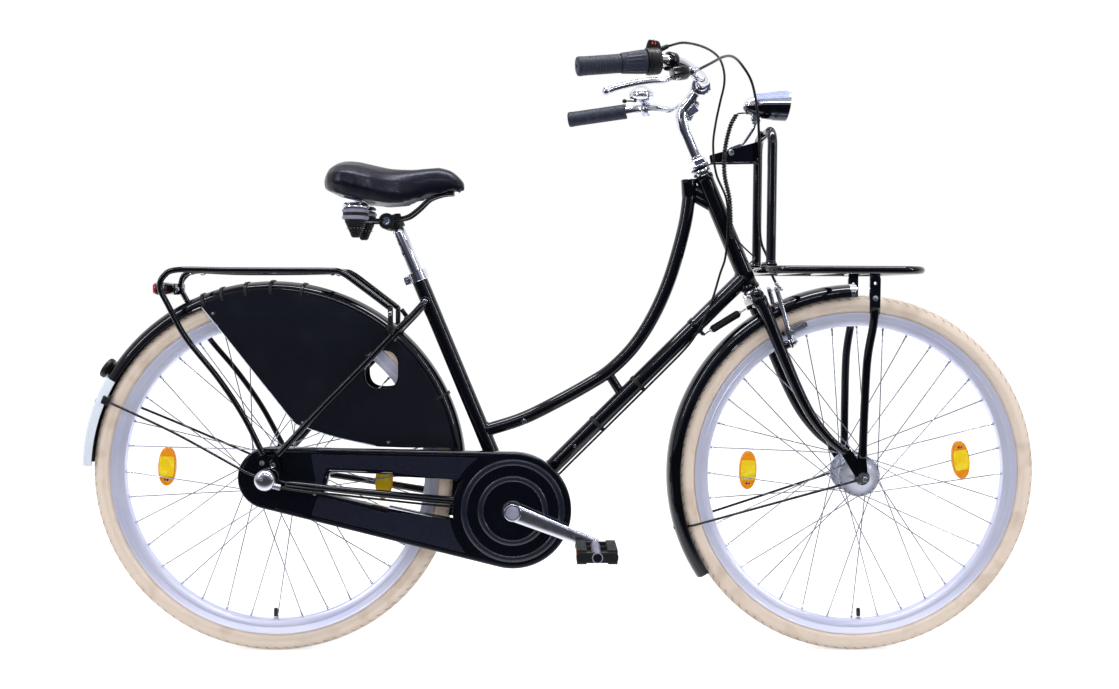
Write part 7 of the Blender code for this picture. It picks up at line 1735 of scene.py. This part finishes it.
for side, name in NAMED_SIDES:
    pivot = brake_pivot(side)
    line = []
    for up, forward, turn_in in ((0.0, 0.0, 0.0), (0.03, 0.003, 0.0), (0.065, 0.0085, 0.004),
                                 (0.09, 0.012, 0.0066), (0.107, 0.0137, 0.0079)):
        line.append(pivot + HEAD_UP * up + HEAD_FORWARD * forward - Y * side * turn_in)
    radii = [0.0062 - 0.0016 * min(k / 20, 1.0) for k in range(41)]
    arm = tube(route(line, 41), 0.005, 28, radii, flat=0.72, flat_axis=Y)
    boss = lathe([(0.0042, -0.007), (0.008, -0.007), (0.0088, -0.006), (0.0088, 0.0052),
                  (0.008, 0.0062), (0.0042, 0.0062)], pivot, HEAD_FORWARD, 40, True)
    spring = lathe([(0.0086, -0.005), (0.0098, -0.0046), (0.0098, -0.0014), (0.0086, -0.001)], pivot,
                   HEAD_FORWARD, 40, True)
    bolt = allen(pivot + HEAD_FORWARD * 0.0062, HEAD_FORWARD, 0.0046, 0.004)
    height = pivot + HEAD_UP * 0.0196
    post = height + HEAD_FORWARD * 0.006
    pad_y = 0.0195
    pin = [rod(post + Y * side * 0.006, Vector((post.x, side * (pad_y + 0.001), post.z)), 0.003, 20)]
    pin += hex_head(post + Y * side * 0.005, Y * side, 0.0044, 0.004)
    for k in range(3):
        at = Vector((post.x, side * (pad_y + 0.0072 + k * 0.0022), post.z))
        washer_r = 0.0058 - k * 0.0006
        pin.append(lathe([(0.003, -0.0009), (washer_r, -0.0008), (washer_r, 0.0008), (0.003, 0.0009)],
                         at, Y, 28, True))
    centre = height + HEAD_FORWARD * 0.019
    centre.y = side * pad_y
    pad = block(centre, (0.052, 0.0098, 0.0095), head_turn, 0.0024, 4)
    holder = block(centre + Y * side * 0.004, (0.046, 0.0026, 0.008), head_turn, 0.001)
    tip = lathe([(0.0, 0.0), (0.0052, 0.0), (0.0052, 0.0046), (0.0044, 0.0054), (0.0, 0.0054)],
                line[-1] - HEAD_FORWARD * 0.003, HEAD_FORWARD, 28)
    piece(name + "_linear_brake_arm", [([arm, boss], alloy), (spring, plastic), (bolt, zinc),
                                       (pin, zinc), (pad, black_rubber), (holder, cast), (tip, zinc)],
          "brake_arm_" + name, [name + "_brake_arm"])


# Cables

brake_line = [(0.7875, -0.2371, 1.0972), (0.82, -0.205, 1.118), (0.852, -0.15, 1.142), (0.88, -0.09, 1.156),
              (0.905, -0.048, 1.15), (0.928, -0.035, 1.118), (0.94, -0.033, 1.06), (0.945, -0.028, 0.997),
              (0.948, -0.023, 0.93), (0.948, -0.022, 0.87), (0.952, -0.023, 0.815), (0.963, -0.028, 0.785),
              (0.969, -0.034, 0.762), (0.972, -0.042, 0.745), (0.979, -0.049, 0.729)]
noodle_line = [(0.979, -0.049, 0.729), (0.987, -0.05, 0.721), (0.9896, -0.044, 0.7202),
               (0.9896, -0.033, 0.7202), (0.9896, -0.02, 0.7202)]
boot = lathe([(0.0, 0.0), (0.0026, 0.0), (0.004, 0.004), (0.0036, 0.0075), (0.0042, 0.011),
              (0.0036, 0.0145), (0.004, 0.018), (0.003, 0.0215), (0.0024, 0.026), (0.0, 0.026)],
             (0.9896, -0.018, 0.7202), Y, 24)
wire_end = tube([(0.9896, 0.006, 0.7202), (0.9896, 0.04, 0.7202), (0.987, 0.043, 0.715),
                 (0.9855, 0.044, 0.706)], 0.0008, 10)
ferrules = [rod((0.786, -0.238, 1.0965), (0.796, -0.229, 1.1035), 0.0034, 20),
            rod((0.977, -0.0472, 0.733), (0.9792, -0.0491, 0.7285), 0.0033, 20)]
piece("front_brake_cable", [(tube(route(brake_line, 170), 0.0025, 20), casing),
                            (tube(route(noodle_line, 40), 0.0023, 20), wire), (boot, black_rubber),
                            (wire_end, wire), (ferrules, zinc)],
      "steering", ["brake_cable"])

gear_line = [(0.7412, -0.2501, 1.1383), (0.77, -0.233, 1.148), (0.813, -0.175, 1.154),
             (0.848, -0.118, 1.15), (0.865, -0.082, 1.133), (0.87, -0.06, 1.11),
             (0.866, -0.04, 1.08), (0.859, -0.032, 1.04), (0.855, -0.03, 0.997),
             (0.862, -0.028, 0.944), (0.883, -0.026, 0.894), (0.886, -0.024, 0.835),
             (0.883, -0.02, 0.783), (0.874, -0.013, 0.75), (0.861, -0.0135, 0.705),
             (0.846, -0.0198, 0.668), (0.826, -0.0175, 0.629), (0.806, -0.013, 0.6015),
             (0.77, -0.009, 0.5635), (0.7225, -0.008, 0.5155), (0.65, -0.008, 0.443),
             (0.56, -0.009, 0.353), (0.515, -0.011, 0.305), (0.493, -0.013, 0.272),
             (0.47, -0.015, 0.264), (0.445, -0.0185, 0.2695), (0.4, -0.027, 0.286),
             (0.35, -0.0345, 0.293), (0.29, -0.042, 0.3), (0.2, -0.058, 0.313),
             (0.13, -0.069, 0.323), (0.085, -0.079, 0.329), (0.055, -0.086, 0.3345),
             (0.0305, -0.0883, 0.3394)]
gear = tube(route(gear_line, 300), 0.0022, 18)
piece("gear_cable_whole", [(gear, casing)], ["frame", "steering"], ["gear_cable", "gear_cable_upper"],
      bends=(Vector((0.85, 0.0, 0.69)), Vector((0.866, 0.0, 0.96))))
clips = []
for along in (0.105, 0.232, 0.345):
    clips.append(lathe([(0.0165, -0.004), (0.0174, -0.004), (0.0174, 0.004), (0.0165, 0.004)],
                       down_point(along), DOWN_WAY, 48, True))
    clips.append(block(down_point(along, 0.0185, -0.006), (0.008, 0.01, 0.0052),
                       DOWN_WAY.to_track_quat("X", "Z").to_matrix().to_4x4(), 0.0016, 3))
piece("down_tube_cable_clips", [(clips, plastic)], "frame")

lead_line = [(0.921, 0.0, 1.066), (0.912, -0.01, 1.064), (0.901, -0.02, 1.059),
             (0.889, -0.024, 1.036), (0.8795, -0.023, 0.992), (0.879, -0.023, 0.944),
             (0.8895, -0.0235, 0.894), (0.893, -0.0225, 0.835), (0.915, -0.024, 0.806),
             (0.94, -0.011, 0.785), (0.945, 0.016, 0.779), (0.9385, 0.032, 0.768),
             (0.9385, 0.0385, 0.744), (0.954, 0.042, 0.724), (0.9715, 0.046, 0.701),
             (0.984, 0.054, 0.669), (0.998, 0.0585, 0.62), (1.017, 0.0575, 0.568),
             (1.045, 0.055, 0.51), (1.076, 0.056, 0.465), (1.106, 0.059, 0.4265),
             (1.1225, 0.06, 0.411), (1.1275, 0.0585, 0.3985), (1.129, 0.0568, 0.384)]
plug = block((1.1292, 0.0562, 0.379), (0.012, 0.006, 0.013), None, 0.002, 3)
piece("headlamp_lead", [(tube(route(lead_line, 260), 0.0015, 14), casing), (plug, plastic)], "steering",
      ["lamp_lead"])
wrap_line = route(lead_line[2:8] + [(0.896, -0.0228, 0.82)], 120)
wrap_coil = []
for k in range(900):
    t = k / 899 * 118.9
    here, ahead = wrap_line[int(t)], wrap_line[int(t) + 1]
    way = (ahead - here).normalized()
    across = way.cross(Y).normalized()
    a = math.tau * k / 20
    wrap_coil.append(here.lerp(ahead, t - int(t))
                     + (across * math.cos(a) + way.cross(across) * math.sin(a)) * 0.0032)
wrap_core = tube(wrap_line, 0.003, 16)
piece("spiral_cable_wrap", [(tube(wrap_coil, 0.0017, 8), casing),
                            (wrap_core, spiral_casing("spiral_wrap_core", 300.0, 1900.0))], "steering")
low = down_point(0.506, 0.0243)
high = head_point(CROWN + 0.0045, -0.024)
way = (high - low).normalized()
sleeve = [tube(route([low + way * 0.019, low + way * 0.021, (low + high) / 2, high - way * 0.019,
                      high - way * 0.017], 30), 0.0076, 24,
               [0.006, 0.0072] + [0.0076] * 26 + [0.0072, 0.006])]
hook = [tube(route([low - Z * 0.0016, low + way * 0.008, low + way * 0.022], 16), 0.0016, 12),
        tube(route([high - way * 0.02, high - way * 0.008, high], 16), 0.0016, 12)]
ends = [ball(low + way * 0.0185, 0.0052, (1, 1, 1), 20), ball(high - way * 0.0165, 0.005, (1, 1, 1), 20)]
piece("centring_spring", [(sleeve, black_rubber), (hook, wire), (ends, pale)], ["frame", "steering"],
      ["steering_stabiliser"], bends=(low, high))


# Seat

CLAMP_X, CLAMP_Z = 0.2225, 0.849
length = (0.862 - 0.56) / SEAT_UP.z
post = lathe([(0.0, length), (0.0104, length), (0.011, length - 0.0008), (0.011, length - 0.029),
              (0.0116, length - 0.0305), (0.0128, length - 0.034), (0.0132, length - 0.036),
              (0.0132, 0.001), (0.0126, 0.0), (0.0112, 0.0), (0.0112, length - 0.056),
              (0.0, length - 0.056)], seat_point(0.56), SEAT_UP, 64)
lines = [lathe([(0.01315, -0.0003), (0.01328, 0.0), (0.01315, 0.0003)],
               seat_point(0.64) + SEAT_UP * k * 0.005, SEAT_UP, 48) for k in range(5)]
piece("chrome_seat_post", [(post, chrome), (lines, shade_and_dark_steel)], "seat", ["seat_post"])

STATIONS = [(0.106, 0.911), (0.1092, 0.907), (0.119, 0.902), (0.1345, 0.897), (0.152, 0.892),
            (0.175, 0.8875), (0.2, 0.8835), (0.225, 0.879), (0.25, 0.879), (0.275, 0.8865),
            (0.3, 0.895), (0.325, 0.901), (0.348, 0.9045), (0.364, 0.907), (0.373, 0.91)]


def under(x):
    """Height of the saddle's lower edge at a length along it."""
    for a, b in zip(STATIONS, STATIONS[1:]):
        if a[0] <= x <= b[0]:
            return a[1] + (b[1] - a[1]) * (x - a[0]) / (b[0] - a[0])
    return STATIONS[-1][1]


rails, cones, rings, plates, teeth_parts, dots = [], [], [], [], [], []
for side in SIDES:
    points = [(0.35, side * 0.01, 0.904), (0.33, side * 0.0125, 0.902), (0.305, side * 0.015, 0.893),
              (0.284, side * 0.018, 0.874), (0.264, side * 0.0205, 0.859), (0.241, side * 0.0215, 0.853),
              (0.222, side * 0.024, 0.85), (0.195, side * 0.038, 0.85), (0.167, side * 0.05, 0.851)]
    rails.append(tube(route(points, 70), 0.0036, 20))
    at = Vector((0.167, side * 0.05, 0.0))
    cone = [(0.0, 0.815), (0.005, 0.8154), (0.008, 0.8172), (0.0092, 0.82)]
    for k in range(7):
        z = 0.8215 + k * 0.0037
        r = 0.0096 + k * 0.00165
        cone += [(r, z), (r + 0.0009, z + 0.0006), (r + 0.001, z + 0.002), (r + 0.0002, z + 0.0027)]
    cone += [(0.0205, 0.8478), (0.021, 0.8496), (0.0, 0.8496)]
    cones.append(lathe(cone, at, Z, 64))
    for z in (0.8496, 0.8622):
        rings.append(lathe([(0.0, z), (0.0228, z), (0.025, z + 0.0018), (0.0258, z + 0.0039),
                            (0.0252, z + 0.0062), (0.0232, z + 0.0078), (0.0, z + 0.0078)], at, Z, 72))
    cones.append(lathe([(0.0, 0.8566), (0.0236, 0.8566), (0.0242, 0.86), (0.0236, 0.863),
                        (0.0, 0.863)], at, Z, 56))
    cones.append(lathe([(0.0, 0.869), (0.0228, 0.869), (0.0228, 0.872), (0.0, 0.872)], at, Z, 56))
    plates.append(lathe([(0.0, 0.8716), (0.0246, 0.8716), (0.0262, 0.873), (0.0262, 0.8742),
                         (0.024, 0.879), (0.02, 0.8818), (0.0, 0.8818)], at, Z, 72))
    plates.append(lathe([(0.0, 0.815), (0.004, 0.8152), (0.0046, 0.8172), (0.0, 0.8172)], at, Z, 6))
    level = Matrix.Rotation(math.pi / 2, 4, "X")
    bead = ball((0.0, 0.0, 0.0), 0.0007, (1, 1, 1.6), 8)
    bead.transform(Matrix.Translation((0.0163, 0.0, 0.0)))
    bead.transform(level.inverted())
    dots.append(copies([bead], 16, Matrix.Translation((at.x, at.y, 0.833)) @ level, lilac))
    disc_start = Vector((CLAMP_X, side * 0.008, CLAMP_Z))
    outline = []
    for k in range(36):
        for share, r in ((0.0, 0.016), (0.35, 0.016), (0.5, 0.0149), (0.85, 0.0149)):
            a = math.tau * (k + share) / 36
            outline.append((CLAMP_X + r * math.cos(a), CLAMP_Z + r * math.sin(a)))
    teeth_parts.append(plate(outline, side * 0.019, side * 0.0266, 0.0005))
    teeth_parts.append(lathe([(0.0, 0.0), (0.015, 0.0), (0.0156, 0.001), (0.0156, 0.0108),
                              (0.0, 0.0108)], disc_start, Y * side, 48))
    plates += hex_head((CLAMP_X, side * 0.0266, CLAMP_Z), Y * side, 0.0062, 0.0054)
clamp = [rod((CLAMP_X, -0.03, CLAMP_Z), (CLAMP_X, 0.03, CLAMP_Z), 0.004, 20),
         lathe([(0.0113, -0.0135), (0.015, -0.0135), (0.0155, -0.0125), (0.0155, 0.0112),
                (0.015, 0.0122), (0.0113, 0.0122)], seat_point(CLAMP_Z), SEAT_UP, 56, True)]
bridge = [(x, under(x) - 0.0006) for x in (0.148, 0.159, 0.17, 0.183)]
bridge += [(x, z - 0.003) for x, z in bridge[::-1]]
plates.append(plate(bridge, -0.072, 0.072, 0.0006))
nose = block((0.345, 0.0, 0.9055), (0.014, 0.024, 0.009), None, 0.002, 3)
piece("saddle_underframe", [(rails, enamel), (cones, black_rubber), (rings, lilac), (plates, chrome),
                            (teeth_parts, plastic), (clamp, plastic), (dots, lilac), (nose, plastic)],
      "seat", ["saddle_frame"])


def bake(obj):
    """Replace a mesh by what its modifiers make of it, and remove them."""
    made = evaluated(obj)
    obj.modifiers.clear()
    obj.data = made


def relax(obj, rounds):
    """Smooth a mesh a little."""
    smooth = obj.modifiers.new("relax", "SMOOTH")
    smooth.factor = 0.5
    smooth.iterations = rounds
    bake(obj)


def puff(obj):
    """Press a cover outwards by cloth pressure, with its underside held, by 4 mm at most."""
    reach, last_frame = 0.004, 20
    rest = [v.co.copy() for v in obj.data.vertices]
    hold = obj.vertex_groups.new(name="hold")
    low_z = min(v.z for v in rest)
    for vert in obj.data.vertices:
        if vert.normal.z < -0.35 or vert.co.z < low_z + 0.006:
            hold.add([vert.index], 1.0, "REPLACE")
    cloth = obj.modifiers.new("cloth", "CLOTH")
    cloth.settings.quality = 6
    cloth.settings.mass = 0.4
    cloth.settings.tension_stiffness = 60.0
    cloth.settings.compression_stiffness = 40.0
    cloth.settings.bending_stiffness = 8.0
    cloth.settings.use_pressure = True
    cloth.settings.uniform_pressure_force = 4.0
    cloth.settings.vertex_group_mass = "hold"
    cloth.settings.effector_weights.gravity = 0.0
    cloth.point_cache.frame_start = 1
    cloth.point_cache.frame_end = last_frame
    for number in range(1, last_frame + 1):
        bpy.context.scene.frame_set(number)
    bake(obj)
    bpy.context.scene.frame_set(1)
    for vert, start in zip(obj.data.vertices, rest):
        shift = vert.co - start
        if shift.length > reach:
            vert.co = start + shift.normalized() * reach


def saddle_cover():
    """Vinyl cover over foam, puffed out by a short cloth simulation."""
    bm = bmesh.new()
    bm.from_mesh(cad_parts["saddle"].data)
    obj = added("saddle_cover", finished(bm))
    remesh = obj.modifiers.new("remesh", "REMESH")
    remesh.mode = "VOXEL"
    remesh.voxel_size = 0.0048
    bake(obj)
    relax(obj, 3)
    puff(obj)
    relax(obj, 2)
    finer = obj.modifiers.new("finer", "SUBSURF")
    finer.levels = finer.render_levels = 1
    bake(obj)
    return obj


cover = saddle_cover()
cover.data.materials.clear()
cover.data.materials.append(vinyl.material)
cover.data.shade_smooth()
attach(cover, "seat")
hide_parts("saddle")

for name in ("chain", "rear_sprocket"):
    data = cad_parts[name].data
    data.materials.clear()
    data.materials.append(zinc.material)


# Floor, light and camera

floor_mesh = bpy.data.meshes.new("floor")
floor_mesh.from_pydata([(-30, -30, 0), (30, -30, 0), (30, 30, 0), (-30, 30, 0)], [], [(0, 1, 2, 3)])
floor = added("floor", floor_mesh)
# Pale studio floor that looks white, and keeps the shadow that the object lays on it
ground = bpy.data.materials.new("pale_studio_floor")
ground.use_nodes = True
tree = ground.node_tree
tree.nodes.clear()
rays = node(tree, "ShaderNodeLightPath").outputs
mirror_ray = Value(tree, rays["Is Glossy Ray"])
spot = node(tree, "ShaderNodeSeparateXYZ", {0: node(tree, "ShaderNodeTexCoord").outputs["Object"]})
near = Value(tree, spot.outputs[1]).ramp(-0.75, -0.15, 0.03, 1.0)
kept = (mirror_ray * -1.0 + 1.0) + mirror_ray * near
glowing = Value(tree, rays["Is Camera Ray"]).math("MAXIMUM", Value(tree, rays["Is Transmission Ray"]))
seen = glowing.math("MAXIMUM", mirror_ray * near)
grain = Value(tree, node(tree, "ShaderNodeTexNoise", {"Scale": 3.0}).outputs["Fac"])
tone = grain.ramp(0.3, 0.7, 0.78, 0.82) * kept
matt = node(tree, "ShaderNodeBsdfDiffuse", {"Color": node(tree, "ShaderNodeCombineColor",
                                                         {0: tone, 1: tone, 2: tone}).outputs[0]})
glow = node(tree, "ShaderNodeEmission", {"Color": (1, 1, 1, 1), "Strength": seen * 0.6})
both = node(tree, "ShaderNodeAddShader", {0: matt.outputs[0], 1: glow.outputs[0]})
node(tree, "ShaderNodeOutputMaterial", {"Surface": both.outputs[0]})
floor_mesh.materials.append(ground)

# The studio is white behind and beside the bicycle and dim where the photographer stands
world = bpy.data.worlds.new("studio")
bpy.context.scene.world = world
world.use_nodes = True
tree = world.node_tree
tree.nodes.clear()
rays = node(tree, "ShaderNodeLightPath").outputs
way = node(tree, "ShaderNodeSeparateXYZ", {0: node(tree, "ShaderNodeTexCoord").outputs["Generated"]})
across, depth, height = (Value(tree, way.outputs[i]) for i in range(3))
aside = ((across * 0.8).math("POWER", 2.0) + (height * 1.25).math("POWER", 2.0)).math("SQRT")
behind = depth.ramp(-0.15, 0.25)
lit = aside.ramp(0.36, 0.56).math("MAXIMUM", behind)
camera_ray = Value(tree, rays["Is Camera Ray"])
mirror_ray = Value(tree, rays["Is Glossy Ray"]).math("MAXIMUM", Value(tree, rays["Is Transmission Ray"]))
plain = (mirror_ray.math("MAXIMUM", camera_ray) * -1.0) + 1.0
strength = camera_ray + mirror_ray * (lit * (behind * 0.52 + 0.48)) + plain * 0.66
tint = node(tree, "ShaderNodeMix", {0: mirror_ray * (lit * -1.0 + 1.0), 6: (0, 0, 0, 1),
                                    7: (0.072, 0.082, 0.125, 1)}, data_type="RGBA")
white = node(tree, "ShaderNodeCombineColor", {0: strength, 1: strength, 2: strength})
sky = node(tree, "ShaderNodeBackground", {"Color": white.outputs[0], "Strength": 1.0})
dim = node(tree, "ShaderNodeBackground", {"Color": tint.outputs[2], "Strength": 1.0})
total = node(tree, "ShaderNodeAddShader", {0: sky.outputs[0], 1: dim.outputs[0]})
node(tree, "ShaderNodeOutputWorld", {"Surface": total.outputs[0]})


def softbox(name, place, aim, width, height, power):
    """Rectangular lamp at a place, turned to what it aims at."""
    data = bpy.data.lights.new(name, "AREA")
    data.shape = "RECTANGLE"
    data.size, data.size_y, data.energy = width, height, power
    lamp = added(name, data)
    lamp.location = place
    lamp.rotation_euler = (Vector(aim) - Vector(place)).to_track_quat("-Z", "Y").to_euler()
    return lamp


softbox("overhead", (0.0, -0.5, 3.4), (0.0, 0.0, 0.6), 3.4, 0.16, 44)
softbox("left_strip", (-2.6, -2.0, 2.2), (-0.2, 0.0, 0.6), 0.11, 2.2, 20)
softbox("right_strip", (2.8, -1.8, 2.0), (0.3, 0.0, 0.6), 0.11, 2.2, 18)
softbox("front_fill", (0.0, -4.0, 3.0), (0.0, 0.0, 0.6), 3.0, 0.12, 18)
# Wide sheet of light that shows only in reflections, as a line along the upper edges
sheen = softbox("overhead_sheen", (0.0, -0.4, 3.6), (0.0, 0.0, 0.6), 3.6, 0.8, 90)
sheen.visible_diffuse = False

PHOTO_WIDTH = 1119
FOCAL_PIXELS = 1082.7
CAMERA_AT = (0.5238, -2.1385, 0.7089)
CAMERA_YAW, CAMERA_PITCH, CAMERA_ROLL = -0.01677, -0.04632, -0.00502
camera_data = bpy.data.cameras.new("camera")
camera_data.sensor_width = 36.0
camera_data.lens = 36.0 * FOCAL_PIXELS / PHOTO_WIDTH
camera_data.clip_end = 100.0
camera = added("camera", camera_data)
camera.matrix_world = (Matrix.Translation(Vector(CAMERA_AT) + X * REAR_X)
                       @ Matrix.Rotation(CAMERA_YAW, 4, "Z") @ Matrix.Rotation(CAMERA_PITCH, 4, "X")
                       @ Matrix.Rotation(CAMERA_ROLL, 4, "Y") @ Matrix.Rotation(math.pi / 2, 4, "X"))
bpy.context.scene.camera = camera
bpy.context.scene.view_settings.view_transform = "Standard"
